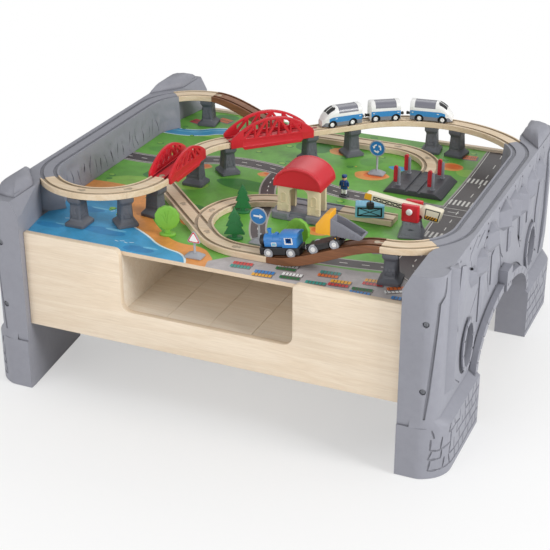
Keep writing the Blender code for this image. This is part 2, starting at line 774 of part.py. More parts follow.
def switch(pose):
    """Switch whose branch leaves to the right, with the spur that carries on behind it."""
    length = 2 * LONG_STRAIGHT
    half = TRACK_WIDTH / 2
    block = [(half, LOWER_LOW), (half, LOWER_TOP), (-half, LOWER_TOP), (-half, LOWER_LOW)]
    low_block = [(across, min(height, LOWER_TOP - GAP / 2)) for across, height in block]
    fork = along(pose, SWITCH_LEAD)
    main = straight_line(pose, length)
    branch = curved_line(fork, CURVE_RADIUS, -SWITCH_TURN)
    body = union(sweep(main, [block] * 2), [sweep(branch, [low_block] * len(branch))])
    past = [along(pose, -KEY_NECK), along(pose, length + KEY_NECK)]
    cutters = groove_cutters(past, LOWER_TOP, KEY_DISC)
    cutters += groove_cutters(curved_line(fork, CURVE_RADIUS, -SWITCH_TURN - 1), LOWER_TOP, KEY_DISC + GAP)
    body = cut(body, cutters)
    body = with_key(body, branch[-1], LOWER_LOW, LOWER_TOP - GAP)
    body = with_socket(body, main[0], LOWER_LOW, LOWER_TOP)
    return body, around(fork, CURVE_RADIUS, -SWITCH_TURN)


def build_lower_railway(front_pose, back_pose):
    """Returns the poses where the back line enters the crossing and the yard line the station."""
    body, pose = lower_line(front_pose, [SHORT_STRAIGHT, -45])
    node("front_track", body, BEECH)
    body, pose = switch(pose)
    node("switch_track", body, BEECH)
    body, station_pose = lower_line(pose, [SWITCH_TURN - 135], key=False)
    node("branch_track", body, BEECH)
    yard_start = along(station_pose, STATION_TRACK)
    node("yard_track", lower_line(yard_start, [YARD_STRAIGHT], socket=False, key=False)[0], BEECH)
    body, crossing_pose = lower_line(back_pose, [RAMP_LENGTH, -90], key=False)
    node("back_track", body, BEECH)
    return crossing_pose, station_pose


# scenery

CROSSING_HALF = 0.062
CROSSING_TOP_HALF = 0.046
CROSSING_LENGTH = 0.111
CROSSING_EDGE = 0.0015   # thickness of the platform at the foot of its slopes
GATE_X = 0.036
GATE_Y = 0.034
GATE_LENGTH = 0.031
GATE_HEEL = 0.004        # how far a gate reaches below its pin
GATE_HALF_WIDTH = 0.004
GATE_HALF_THICK = 0.003
GATE_PIN = 0.010         # height of a gate's pin above the platform
GATE_PIN_RADIUS = 0.0013
GATE_BORE_RADIUS = 0.0017
POST_HALF = 0.0025
POST_HEIGHT = 0.036
POST_GAP = 0.0005


def build_crossing(pose):
    """Level crossing on the back line, with a post and a gate at each corner."""
    x = pose[0]
    back = pose[1] - GAP
    front = back - CROSSING_LENGTH
    middle = (back + front) / 2
    top = LOWER_TOP
    edge = LOWER_LOW + CROSSING_EDGE
    outline = [(x - CROSSING_HALF, LOWER_LOW), (x + CROSSING_HALF, LOWER_LOW), (x + CROSSING_HALF, edge),
               (x + CROSSING_TOP_HALF, top), (x - CROSSING_TOP_HALF, top), (x - CROSSING_HALF, edge)]
    half = GROOVE_WIDTH / 2
    grooves = [box((x + across - half, front - KEY_NECK, top - GROOVE_DEPTH),
                   (x + across + half, back + KEY_NECK, top + KEY_NECK))
               for across in (-GROOVE_OFFSET, GROOVE_OFFSET)]
    platform = cut(prism_y(outline, front, back), [join(grooves)])
    for name, sx, sy in (("gate_front_left", -1, -1), ("gate_front_right", 1, -1),
                         ("gate_back_left", -1, 1), ("gate_back_right", 1, 1)):
        platform = add_gate(platform, name, x + sx * GATE_X, middle + sy * GATE_Y)
    node("crossing_platform", platform, DARK_GREY)


def add_gate(platform, name, x, y):
    """Adds a post with its pin to the platform, and makes the gate that turns on it."""
    pin = LOWER_TOP + GATE_PIN
    post = prism([(x + a, y + b) for a, b in rectangle(POST_HALF, POST_HALF)],
                 LOWER_TOP - OVERLAP, LOWER_TOP + POST_HEIGHT)
    far = x - POST_HALF - POST_GAP
    near = far - 2 * GATE_HALF_WIDTH
    stub = cylinder((0, y, pin), GATE_PIN_RADIUS, near + GATE_HALF_WIDTH / 2, x, 8, "X")
    arm = box((near, y - GATE_HALF_THICK, pin - GATE_HEEL), (far, y + GATE_HALF_THICK, pin + GATE_LENGTH))
    bore = cylinder((0, y, pin), GATE_BORE_RADIUS, near - BORE_EXTRA, far + BORE_EXTRA, 8, "X")
    node(name, cut(arm, [bore]), RED, pivot=(near + GATE_HALF_WIDTH, y, pin))
    return union(platform, [post, stub])


STATION_X = 0.074
STATION_HALF = 0.056
STATION_DEPTH = 0.071        # from the middle of the track to the front of the deck
STATION_CORNER = 0.010
STATION_PLATFORM_TOP = 0.342
STATION_CLEAR = 0.003        # from the deck to the track that arrives from the left
STEP_DEPTH = 0.0065
STEP_HEIGHT = 0.005
HALL_HALF = 0.044
HALL_FRONT = 0.062           # both measured from the middle of the track
HALL_BACK = 0.024
HALL_WALL = 0.008
DOOR_HALF = 0.019
DOOR_RISE = 0.013
EAVE = 0.396
ROOF_HALF = 0.050
ROOF_EDGE = 0.004
ROOF_RISE = 0.038
ROOF_OVERHANG = 0.008        # in front of the hall
ROOF_REACH = 0.007           # past the middle of the track


def build_station(pose):
    """Station beside its track. Its roof reaches over the track."""
    start, yard_y, _ = pose
    side = TRACK_WIDTH / 2
    body = track(straight_line(pose, STATION_TRACK), LOWER_LOW, LOWER_TOP, socket=False, key=False)
    left = STATION_X - STATION_HALF
    right = STATION_X + STATION_HALF
    step = start + OVERLAP
    edge = yard_y - STATION_DEPTH
    inner = yard_y - side + OVERLAP / 2
    free = yard_y - side - STATION_CLEAR
    outline = [(left, edge, STATION_CORNER), (right, edge, STATION_CORNER), (right, inner, 0),
               (step, inner, 0), (step, free, 0), (left, free, 0)]
    body = union(body, [prism(rounded(outline), LOWER_LOW + GAP, STATION_PLATFORM_TOP)])
    top = STATION_PLATFORM_TOP
    stairs = [box((STATION_X - DOOR_HALF, edge - STEP_DEPTH, top - STEP_HEIGHT * drop),
                  (STATION_X + DOOR_HALF, edge + STEP_DEPTH * (3 - drop), top + STEP_HEIGHT))
              for drop in (1, 2)]
    node("station_base", cut(body, stairs), GREY)
    build_hall(yard_y)


def build_hall(yard_y):
    low = STATION_PLATFORM_TOP + GAP
    front = yard_y - HALL_FRONT
    back = yard_y - HALL_BACK
    roof = [(STATION_X - ROOF_HALF, EAVE), (STATION_X + ROOF_HALF, EAVE)]
    roof += ellipse((STATION_X, EAVE + ROOF_EDGE), (ROOF_HALF, ROOF_RISE), 0, 180, 20)
    left = STATION_X - HALL_HALF
    right = STATION_X + HALL_HALF
    walls = [box((left, face, low), (right, face + HALL_WALL, EAVE + OVERLAP))
             for face in (front, back - HALL_WALL)]
    hall = union(prism_y(roof, front - ROOF_OVERHANG, yard_y + ROOF_REACH), walls)
    door = [(STATION_X - DOOR_HALF, low - OVERLAP), (STATION_X + DOOR_HALF, low - OVERLAP)]
    door += ellipse((STATION_X, EAVE - DOOR_RISE), (DOOR_HALF, DOOR_RISE - OVERLAP), 0, 180, 10)
    node("station_hall", cut(hall, [prism_y(door, front - BORE_EXTRA, back + BORE_EXTRA)]), RED)


CRANE = (0.296, -0.100)
CRANE_TURN = 12
CRANE_TILT = 7
TOWER_LEVELS = ((LOWER_LOW, 0.024), (0.331, 0.0235), (0.343, 0.019), (0.359, 0.0165))
CAB_HALF = 0.017
CAB_CORNER = 0.004
CAB_TOP = 0.393
CAB_SLOT_DEPTH = 0.0145  # how deep the jib's slot goes below the pivot
CRANE_PIVOT = 0.381
JIB_HALF = 0.008
JIB_OUTLINE = ((-0.095, -0.004, 0), (0.022, -0.006, 0), (0.026, -0.012, 0), (0.056, -0.012, 0.004),
               (0.060, 0.013, 0.004), (0.024, 0.013, 0), (0.018, 0.009, 0), (-0.093, 0.009, 0.005))
PIN_RADIUS = 0.0022
PIN_END = JIB_HALF + 0.004    # the jib turns on a pin that ends here, from the middle
WINCH_RADIUS = 0.006
WINCH_THICK = 0.006
HOOK_REACH = 0.084       # from the crane's axis to the hook
HOOK_RADIUS = 0.0075
HOOK_BLOCK = 0.0125
HOOK_BLOCK_TOP = 0.379
HOOK_EDGE = 0.002
HOOK_STEM = 0.0010
HOOK_STEM_TOP = 0.3975


def build_crane():
    x, y = CRANE
    rings = [[(a, b, height) for a, b in chamfered(half, half, 0.003)] for height, half in TOWER_LEVELS]
    node("crane_tower", placed(loft(rings), (x, y, CRANE_TURN)), GREY)
    build_crane_cab(x, y)
    centre = Vector((x, y, CRANE_PIVOT))
    stub = CAB_HALF + GAP
    pin = revolve([(0, -stub - WINCH_THICK), (WINCH_RADIUS, -stub - WINCH_THICK), (WINCH_RADIUS, -stub),
                   (PIN_RADIUS, -stub), (PIN_RADIUS, -PIN_END - 2 * GAP), (0, -PIN_END - 2 * GAP)], 14, "Y")
    node("crane_knob", moved(pin, Matrix.Translation(centre)), WHITE, pivot=centre, smooth=True)
    hook_x = x - HOOK_REACH
    build_jib(centre, hook_x)
    low = HOOK_BLOCK_TOP - HOOK_BLOCK
    hook = revolve([(0, low), (HOOK_RADIUS - HOOK_EDGE / 2, low), (HOOK_RADIUS, low + HOOK_EDGE),
                    (HOOK_RADIUS, HOOK_BLOCK_TOP - HOOK_EDGE), (HOOK_RADIUS - HOOK_EDGE, HOOK_BLOCK_TOP),
                    (HOOK_STEM, HOOK_BLOCK_TOP), (HOOK_STEM, HOOK_STEM_TOP), (0, HOOK_STEM_TOP)], 12)
    node("crane_hook", moved(hook, Matrix.Translation((hook_x, y, 0))), BLACK,
         pivot=(hook_x, y, HOOK_BLOCK_TOP), smooth=True)


def build_crane_cab(x, y):
    """Cab that turns on the tower, with a slot for the jib between its two cheeks."""
    low = TOWER_LEVELS[-1][0] + GAP
    cab = prism(rectangle(CAB_HALF, CAB_HALF, CAB_CORNER), low, CAB_TOP)
    slot = JIB_HALF + 2 * GAP
    reach = CAB_HALF + BORE_EXTRA
    cab = cut(cab, [box((-reach, -slot, CRANE_PIVOT - CAB_SLOT_DEPTH), (reach, slot, CAB_TOP + BORE_EXTRA)),
                    cylinder((0, 0, CRANE_PIVOT), PIN_RADIUS + GAP, -reach, reach, 12, "Y")])
    node("crane_cab", moved(cab, Matrix.Translation((x, y, 0))), RED, pivot=(x, y, low))


def build_jib(centre, hook_x):
    """Jib with its counterweight, on a pin that turns in the cab's cheeks."""
    jib = prism_y(rounded(JIB_OUTLINE, 3), -JIB_HALF, JIB_HALF)
    jib = union(jib, [cylinder((0, 0, 0), PIN_RADIUS, -PIN_END, PIN_END, 12, "Y")])
    jib = moved(jib, Matrix.Translation(centre) @ Matrix.Rotation(math.radians(CRANE_TILT), 4, "Y"))
    bore = cylinder((hook_x, centre.y, 0), HOOK_STEM + 2 * GAP, HOOK_BLOCK_TOP, HOOK_STEM_TOP + BORE_EXTRA, 8)
    node("crane_jib", cut(jib, [bore]), BEIGE, pivot=centre)


CONTAINER_PLACE = (0.2016, -0.0717, 18.4)
CONTAINER_HALF = (0.028, 0.014)
CONTAINER_HEIGHT = 0.025
CONTAINER_EDGE = 0.001


def build_container():
    half_x, half_y = CONTAINER_HALF
    low = LOWER_TOP + GAP
    high = low + CONTAINER_HEIGHT
    rings = [[(a, b, height) for a, b in chamfered(half_x - inset, half_y - inset, CONTAINER_EDGE)]
             for height, inset in ((low, CONTAINER_EDGE), (low + CONTAINER_EDGE, 0),
                                   (high - CONTAINER_EDGE, 0), (high, CONTAINER_EDGE))]
    node("container", placed(loft(rings), CONTAINER_PLACE), BLUE)


SIGN_FOOT_LEVELS = ((0, 0.017, 0.012), (0.003, 0.017, 0.012), (0.008, 0.008, 0.006))
SIGN_FOOT_CHAMFER = 0.002
SIGN_POLE_RADIUS = 0.0022
SIGN_POLE_SEAT = 0.006       # height of the pole's end inside the foot
SIGN_PLATE = (-0.0035, -0.0008)      # front and back of the plate
SIGN_RADIUS = 0.0175
WARNING_CORNERS = ((-0.015, -0.010, 0.003), (0.015, -0.010, 0.003), (0, 0.016, 0.003))


def sign(x, y, plate, plate_centre):
    """Road sign: a block foot, a round pole and a thin plate that faces the front."""
    foot = loft([[(a, b, LOWER_LOW + height) for a, b in chamfered(half_x, half_y, SIGN_FOOT_CHAMFER)]
                 for height, half_x, half_y in SIGN_FOOT_LEVELS])
    pole = cylinder((0, 0, 0), SIGN_POLE_RADIUS, LOWER_LOW + SIGN_POLE_SEAT, plate_centre, 8)
    face = prism_y([(a, plate_centre + b) for a, b in plate], *SIGN_PLATE)
    return moved(union(foot, [pole, face]), Matrix.Translation((x, y, 0)))


def build_signs():
    disc = arc((0, 0), SIGN_RADIUS, 0, 342, 19)
    triangle = rounded(WARNING_CORNERS, 2)
    node("sign_arrow", sign(0.046, -0.249, disc, 0.383), LIGHT_GREY)
    node("sign_back", sign(0.133, 0.163, disc, 0.385), LIGHT_GREY)
    node("sign_warning", sign(-0.038, -0.350, triangle, 0.366), LIGHT_GREY)


TREE_THICK = 0.004           # half thickness of a crown
STEM_HALF = 0.005
STEM_THICK = 0.0032
STEM_SHARE = 0.4             # of the tree's height
STEM_LIFT = 0.002
TREE_FOOT = (0.016, 0.010)
TREE_FOOT_HEIGHT = 0.005
FIR_TIERS = ((0.16, 1.0, 0.55), (0.42, 0.82, 0.42), (0.66, 0.60, 0.0))
FIR_TIER_RISE = 0.25


def flat_tree(x, y, crown, height, turn):
    """Tree cut from a board: a crown outline on a stem, standing on an oval foot."""
    low = LOWER_LOW
    top = height * STEM_SHARE
    stem = [(-STEM_HALF, 0), (STEM_HALF, 0), (STEM_HALF, top), (-STEM_HALF, top)]
    foot = prism(ellipse((0, 0), TREE_FOOT, 0, 330, 11), low, low + TREE_FOOT_HEIGHT)
    plates = [prism_y([(a, low + STEM_LIFT + b) for a, b in stem], -STEM_THICK, STEM_THICK),
              prism_y([(a, low + b) for a, b in crown], -TREE_THICK, TREE_THICK)]
    return placed(union(foot, plates), (x, y, turn))


def round_crown(radius, height):
    return arc((0, height - radius), radius, 0, 345, 23)


def fir_crown(half, height):
    """Fir outline with three tiers of branches, each (share of the height, wide, narrow)."""
    right = []
    for share, wide, narrow in FIR_TIERS:
        top = share + FIR_TIER_RISE if narrow else 1.0
        right += [(half * wide, height * share), (half * narrow, height * top)]
    left = [(-a, b) for a, b in reversed(right[:-1])]
    return right + left


def build_trees():
    node("tree_round", flat_tree(-0.128, -0.284, round_crown(0.024, 0.060), 0.060, 15), GREEN)
    node("bush", flat_tree(0.116, -0.225, round_crown(0.024, 0.052), 0.052, -10), GREEN)
    node("fir_small", flat_tree(-0.042, -0.130, fir_crown(0.017, 0.060), 0.060, 20), GREEN)
    node("fir_tall", flat_tree(-0.004, -0.250, fir_crown(0.020, 0.064), 0.064, 20), GREEN)


FIGURE_PLACE = (0.112, 0.025)
FIGURE_SCALE = 1.1           # the heights and widths below are for a figure 42.5 mm tall
FIGURE_FOOT = (0.009, 0.003)
FIGURE_LEG = (0.0008, 0.0050, 0.0025, 0.002, 0.017)   # inner and outer side, half depth, low, high
FIGURE_CHEST = ((0.015, 0.0060), (0.024, 0.0068), (0.031, 0.0060))
FIGURE_CHEST_HALF_DEPTH = 0.0035
FIGURE_CHEST_CHAMFER = 0.0015
FIGURE_ARM = (0.0075, 0.0020, 0.019, 0.029)           # place, radius, low, high
FIGURE_HEAD = ((0, 0.030), (0.0025, 0.030), (0.0048, 0.034), (0.0050, 0.037), (0.0036, 0.041), (0, 0.0425))


def build_figure():
    """Standing toy passenger."""
    radius, foot_height = FIGURE_FOOT
    inner, outer, half_depth, leg_low, leg_high = FIGURE_LEG
    arm, arm_radius, arm_low, arm_high = FIGURE_ARM
    chest = [[(a, b, height) for a, b in chamfered(half_x, FIGURE_CHEST_HALF_DEPTH, FIGURE_CHEST_CHAMFER)]
             for height, half_x in FIGURE_CHEST]
    parts = [loft(chest), revolve(list(FIGURE_HEAD), 12)]
    for side in (-1, 1):
        across = sorted((side * inner, side * outer))
        parts += [box((across[0], -half_depth, leg_low), (across[1], half_depth, leg_high)),
                  cylinder((side * arm, 0, 0), arm_radius, arm_low, arm_high, 8)]
    figure = union(cylinder((0, 0, 0), radius, 0, foot_height, 12), parts)
    place = Matrix.Translation((*FIGURE_PLACE, LOWER_LOW)) @ Matrix.Scale(FIGURE_SCALE, 4)
    node("figure", moved(figure, place), BLUE)


# vehicles

def vehicle_frame(front, rear):
    """Frame of a vehicle from its two groove contact points. X points forward."""
    forward = (front - rear).normalized()
    sideways = Vector((0, 0, 1)).cross(forward).normalized()
    upward = forward.cross(sideways)
    middle = (front + rear) / 2
    matrix = Matrix((forward, sideways, upward)).transposed().to_4x4()
    matrix.translation = middle
    return matrix


def wheelset():
    """Axle with its two wheels, along Y."""
    inner = GROOVE_OFFSET - WHEEL_WIDTH / 2
    outer = GROOVE_OFFSET + WHEEL_WIDTH / 2
    profile = [(0, -outer), (WHEEL_RADIUS, -outer), (WHEEL_RADIUS, -inner), (AXLE_RADIUS, -inner),
               (AXLE_RADIUS, inner), (WHEEL_RADIUS, inner), (WHEEL_RADIUS, outer), (0, outer)]
    return revolve(profile, 14, "Y")


def axle_cutter(x):
    """Room for an axle and its wheels in a vehicle body."""
    inner = GROOVE_OFFSET - WHEEL_WIDTH / 2 - WELL_CLEARANCE
    outer = TRACK_WIDTH
    well = WHEEL_RADIUS + WELL_CLEARANCE
    hole = AXLE_RADIUS + GAP
    profile = [(0, -outer), (well, -outer), (well, -inner), (hole, -inner), (hole, inner), (well, inner),
               (well, outer), (0, outer)]
    cutter = revolve(profile, 14, "Y")
    cutter.transform(Matrix.Translation((x, 0, WHEEL_RADIUS + GAP)))
    return cutter


def add_wheels(name, frame, half_base):
    for end, x in (("front", half_base), ("rear", -half_base)):
        centre = frame @ Vector((x, 0, WHEEL_RADIUS + GAP))
        turned = frame.to_3x3().to_4x4()
        turned.translation = centre
        node(f"{name}_wheels_{end}", moved(wheelset(), turned), BLACK, pivot=centre, smooth=True)


COUPLING_RADIUS = 0.0036
COUPLING_HEIGHT = 0.0145     # of its middle, above the groove floor
COUPLING_SEAT = 0.003        # how far it reaches into a body
BODY_CLEAR = 0.0005          # from the top of the track to an underframe
CAR_LOW = GROOVE_DEPTH + 6 * BODY_CLEAR
CAR_WAIST = 0.030
CAR_TOP = 0.0465
CAR_HALF = 0.018
CAR_ROUNDING = (0.002, 0.001)        # length of the rounded end of a car, and how far it falls in
CAR_LEAN = 0.0055
CAR_COUPLING = 0.0105
NOSE_LENGTH = 0.036
NOSE_SECTIONS = ((0.026, 0, 0.029, 0.0435), (0.015, 0.001, 0.026, 0.036), (0.006, 0.004, 0.018, 0.026),
                 (0, 0.008, 0.012, 0.0185))      # back from the tip, inset, waist, top
EXPRESS_CARS = (("express_lead", 0.091, -1), ("express_middle", 0.066, 0), ("express_tail", 0.091, 1))


def body_section(half, low, waist, top, lean):
    """Eight-sided half-round body section of (y, z) points."""
    shoulder = top - lean * 0.6
    crown = half - 2.2 * lean
    return [(-half, low), (half, low), (half, waist), (half - lean, shoulder), (crown, top),
            (-crown, top), (lean - half, shoulder), (-half, waist)]


def coupling(x, reach):
    """Magnet coupling at one end of a vehicle."""
    edges = sorted((x - math.copysign(COUPLING_SEAT, reach), x + reach))
    return cylinder((0, 0, COUPLING_HEIGHT), COUPLING_RADIUS, edges[0], edges[1], 10, "X")


def express_body(length, nose, half_base):
    """Car of the express. A nose of 1 or -1 gives it a sloping end there."""
    end = length / 2
    round_length, fall = CAR_ROUNDING
    edge = (CAR_HALF - fall, CAR_WAIST, CAR_TOP - fall)
    full = (CAR_HALF, CAR_WAIST, CAR_TOP)
    stations = [(-end, *edge), (round_length - end, *full)]
    if nose:
        stations.append((end - NOSE_LENGTH, *full))
        stations += [(end - back, CAR_HALF - inset, waist, top) for back, inset, waist, top in NOSE_SECTIONS]
    else:
        stations += [(end - round_length, *full), (end, *edge)]
    rings = []
    for x, wide, belt, roof in stations:
        lean = min(CAR_LEAN, (roof - belt) * 0.42)
        rings.append([(x, y, z) for y, z in body_section(wide, CAR_LOW, belt, roof, lean)])
    couplings = [coupling(-end, -CAR_COUPLING)] + ([] if nose else [coupling(end, CAR_COUPLING)])
    body = cut(union(loft(rings), couplings), [axle_cutter(half_base), axle_cutter(-half_base)])
    if nose < 0:
        body.transform(Matrix.Rotation(math.pi, 4, "Z"))
    return body


def build_express(start, radius):
    def contact(distance):
        turn = -math.degrees(distance / radius)
        pose = along(start, distance) if distance < 0 else around(start, radius, turn)
        return Vector((pose[0], pose[1], UPPER_TOP - GROOVE_DEPTH))

    for (name, length, nose), (rear, front) in zip(EXPRESS_CARS, EXPRESS_AXLES):
        frame = vehicle_frame(contact(front), contact(rear))
        half_base = (contact(front) - contact(rear)).length / 2
        node(name, moved(express_body(length, nose, half_base), frame), BLUE)
        add_wheels(name, frame, half_base)


def freight_contact(x):
    low_end = ARC_X - RAMP_LENGTH
    height = LOWER_TOP if x < low_end else ramp_height(1 - (x - low_end) / RAMP_LENGTH)
    return Vector((x, -LOOP_Y - CURVE_RADIUS, height - GROOVE_DEPTH))


FREIGHT_LOW = GROOVE_DEPTH + 7 * BODY_CLEAR
FREIGHT_HALF = 0.0165
LOCO_REAR = -0.040
LOCO_FRONT = 0.038
LOCO_DECK = 0.020
LOCO_COUPLINGS = ((LOCO_REAR, -0.008), (LOCO_FRONT, 0.006))
BOILER_RADIUS = 0.0105
BOILER_HEIGHT = 0.0315
BOILER_REAR = -0.010
SMOKEBOX = (0.030, 0.040, 0.030)     # rear, front, height of its middle
SADDLE_HALF = 0.009
SADDLE_TOP = 0.028
CAB_MIDDLE = -0.022
CAB_SIZE = (0.015, 0.0155, 0.002)    # half length, half width, corner
CAB_WALL_TOP = 0.043
CAB_ROOF = (0.018, 0.006)
CAB_ROOF_BASE = 0.042
CAB_ROOF_EDGE = 0.0015
CAB_ROOF_ENDS = (-0.040, -0.005)
CAB_WINDOW = ((-0.028, 0.029), (-0.015, 0.038))
CHIMNEY_X = 0.020
CHIMNEY = ((0, 0.038), (0.0030, 0.038), (0.0030, 0.046), (0.0045, 0.050), (0.0045, 0.052), (0, 0.052))


def build_loco():
    front, rear = (freight_contact(x) for x in LOCO_AXLES)
    frame = vehicle_frame(front, rear)
    half_base = (front - rear).length / 2
    smokebox_rear, smokebox_front, smokebox_height = SMOKEBOX
    chassis = box((LOCO_REAR, -FREIGHT_HALF, FREIGHT_LOW), (LOCO_FRONT, FREIGHT_HALF, LOCO_DECK))
    nose = cylinder((0, 0, smokebox_height), BOILER_RADIUS, smokebox_rear, smokebox_front, 16, "X")
    chassis = union(chassis, [nose] + [coupling(*place) for place in LOCO_COUPLINGS])
    chassis = cut(chassis, [axle_cutter(half_base), axle_cutter(-half_base)])
    node("loco_chassis", moved(chassis, frame), BLACK)
    add_wheels("loco", frame, half_base)
    node("loco_body", moved(loco_body(smokebox_rear - GAP), frame), BLUE)


def loco_body(boiler_front):
    """Cab with its roof and window, boiler on a saddle, and chimney."""
    deck = LOCO_DECK + GAP
    cab = moved(prism(rectangle(*CAB_SIZE), deck, CAB_WALL_TOP), Matrix.Translation((CAB_MIDDLE, 0, 0)))
    roof_low = CAB_ROOF_BASE - CAB_ROOF_EDGE
    roof = ellipse((0, CAB_ROOF_BASE), CAB_ROOF, 0, 180, 8)
    roof += [(-CAB_ROOF[0], roof_low), (CAB_ROOF[0], roof_low)]
    boiler = cylinder((0, 0, BOILER_HEIGHT), BOILER_RADIUS, BOILER_REAR, boiler_front, 16, "X")
    saddle = box((BOILER_REAR, -SADDLE_HALF, deck), (boiler_front, SADDLE_HALF, SADDLE_TOP))
    chimney = moved(revolve(list(CHIMNEY), 12), Matrix.Translation((CHIMNEY_X, 0, 0)))
    (window_rear, window_low), (window_front, window_high) = CAB_WINDOW
    window = box((window_rear, -TRACK_WIDTH, window_low), (window_front, TRACK_WIDTH, window_high))
    return cut(union(cab, [prism_x(roof, *CAB_ROOF_ENDS), boiler, saddle, chimney]), [window])


WAGON_REAR = -0.034
WAGON_FRONT = 0.033
WAGON_DECK = 0.0172
WAGON_COUPLINGS = ((WAGON_REAR, -0.006), (WAGON_FRONT, 0.007))
EAR_HALF = 0.003             # half length of a hinge ear, and its reach above the hinge
TUB_HINGE = (-0.030, 0.0215)    # in the wagon's frame: forward, up
TUB_PIN = 0.0013
TUB_HALF_WIDTH = 0.0145
TUB_WALL = 0.003
TUB_OUTLINE = ((-0.039, 0.0025), (0.043, 0.0016), (0.052, 0.0075), (0.013, 0.0260), (-0.011, 0.0340),
               (-0.011, 0.0450), (-0.022, 0.0420), (-0.039, 0.0190))
TUB_HOLLOW = ((-0.008, 0.0055), (0.040, 0.0048), (0.060, 0.0180), (0.060, 0.0600), (-0.008, 0.0600))
LUG_OUTLINE = ((-0.004, 0.004), (-0.002, -TUB_PIN), (0.002, -TUB_PIN), (0.004, 0.004))
LUG_HALF_WIDTH = 0.010


def wagon_chassis_mesh(half_base):
    hinge_x, hinge_z = TUB_HINGE
    chassis = box((WAGON_REAR, -FREIGHT_HALF, FREIGHT_LOW), (WAGON_FRONT, FREIGHT_HALF, WAGON_DECK))
    ears = []
    for sign in (-1, 1):
        across = sorted((sign * (TUB_HALF_WIDTH + 2 * GAP), sign * (TUB_HALF_WIDTH + TUB_WALL + GAP)))
        ears.append(box((hinge_x - EAR_HALF, across[0], WAGON_DECK - OVERLAP),
                        (hinge_x + EAR_HALF, across[1], hinge_z + EAR_HALF)))
    chassis = union(chassis, [coupling(*place) for place in WAGON_COUPLINGS] + ears)
    pin_hole = cylinder((hinge_x, 0, hinge_z), TUB_PIN + GAP, -TRACK_WIDTH, TRACK_WIDTH, 10, "Y")
    return cut(chassis, [axle_cutter(half_base), axle_cutter(-half_base), pin_hole])


def tub_mesh():
    """Tipping tub with a high front end, seen from its hinge with Z straight up."""
    inside = TUB_HALF_WIDTH - TUB_WALL
    reach = TUB_HALF_WIDTH + TUB_WALL
    tub = cut(prism_y(TUB_OUTLINE, -TUB_HALF_WIDTH, TUB_HALF_WIDTH), [prism_y(TUB_HOLLOW, -inside, inside)])
    lug = prism_y(LUG_OUTLINE, -LUG_HALF_WIDTH, LUG_HALF_WIDTH)
    pin = cylinder((0, 0, 0), TUB_PIN, -reach, reach, 10, "Y")
    return union(tub, [lug, pin])


def build_wagon():
    front, rear = (freight_contact(x) for x in WAGON_AXLES)
    frame = vehicle_frame(front, rear)
    half_base = (front - rear).length / 2
    node("wagon_chassis", moved(wagon_chassis_mesh(half_base), frame), BLACK)
    add_wheels("wagon", frame, half_base)
    hinge = frame @ Vector((TUB_HINGE[0], 0, TUB_HINGE[1]))
    node("tipper_tub", moved(tub_mesh(), Matrix.Translation(hinge)), YELLOW, pivot=hinge)


def main():
    clear_scene()
    build_box()
    build_walls()
    express_start, radius, front_pose, back_pose = build_upper_railway()
    crossing_pose, station_pose = build_lower_railway(front_pose, back_pose)
    build_crossing(crossing_pose)
    build_station(station_pose)
    build_crane()
    build_container()
    build_signs()
    build_trees()
    build_figure()
    build_express(express_start, radius)
    build_loco()
    build_wagon()


main()
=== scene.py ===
"""Looks of the railway play table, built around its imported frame.

X runs along the front panel, Y from front to back and Z up. Lengths are in metres, angles in degrees.
"""
import math
import random

import bmesh
import bpy
from mathutils import Matrix, Vector, geometry, noise


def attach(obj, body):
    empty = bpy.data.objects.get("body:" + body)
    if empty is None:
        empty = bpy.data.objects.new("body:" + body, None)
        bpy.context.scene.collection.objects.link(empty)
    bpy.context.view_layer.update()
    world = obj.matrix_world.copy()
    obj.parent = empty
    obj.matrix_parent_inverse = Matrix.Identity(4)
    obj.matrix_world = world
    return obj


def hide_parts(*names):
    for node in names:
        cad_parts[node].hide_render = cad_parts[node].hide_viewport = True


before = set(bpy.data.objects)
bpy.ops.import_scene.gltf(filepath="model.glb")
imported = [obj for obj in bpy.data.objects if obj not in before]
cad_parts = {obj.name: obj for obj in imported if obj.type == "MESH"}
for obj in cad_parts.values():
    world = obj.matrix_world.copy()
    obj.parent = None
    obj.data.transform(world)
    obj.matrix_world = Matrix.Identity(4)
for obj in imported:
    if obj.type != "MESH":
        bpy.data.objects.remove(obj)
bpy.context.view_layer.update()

# camera
CAMERA_PLACE = (1.0087, -2.3952, 1.4169)
CAMERA_FORWARD = (-0.35688, 0.82333, -0.44131)
CAMERA_RIGHT = (0.91783, 0.39697, -0.00162)
CAMERA_LENS = 90.48      # millimetres, as the sensor
CAMERA_SENSOR = 36
CAMERA_REACH = 50        # metres


# materials

def rgb(red, green, blue):
    """Linear colour of a screen colour with channels up to 255."""
    linear = []
    for channel in (red, green, blue):
        share = channel / 255
        linear.append(share / 12.92 if share <= 0.04045 else ((share + 0.055) / 1.055) ** 2.4)
    return (*linear, 1)


def shaded(colour, factor):
    return (*(min(1, channel * factor) for channel in colour[:3]), 1)


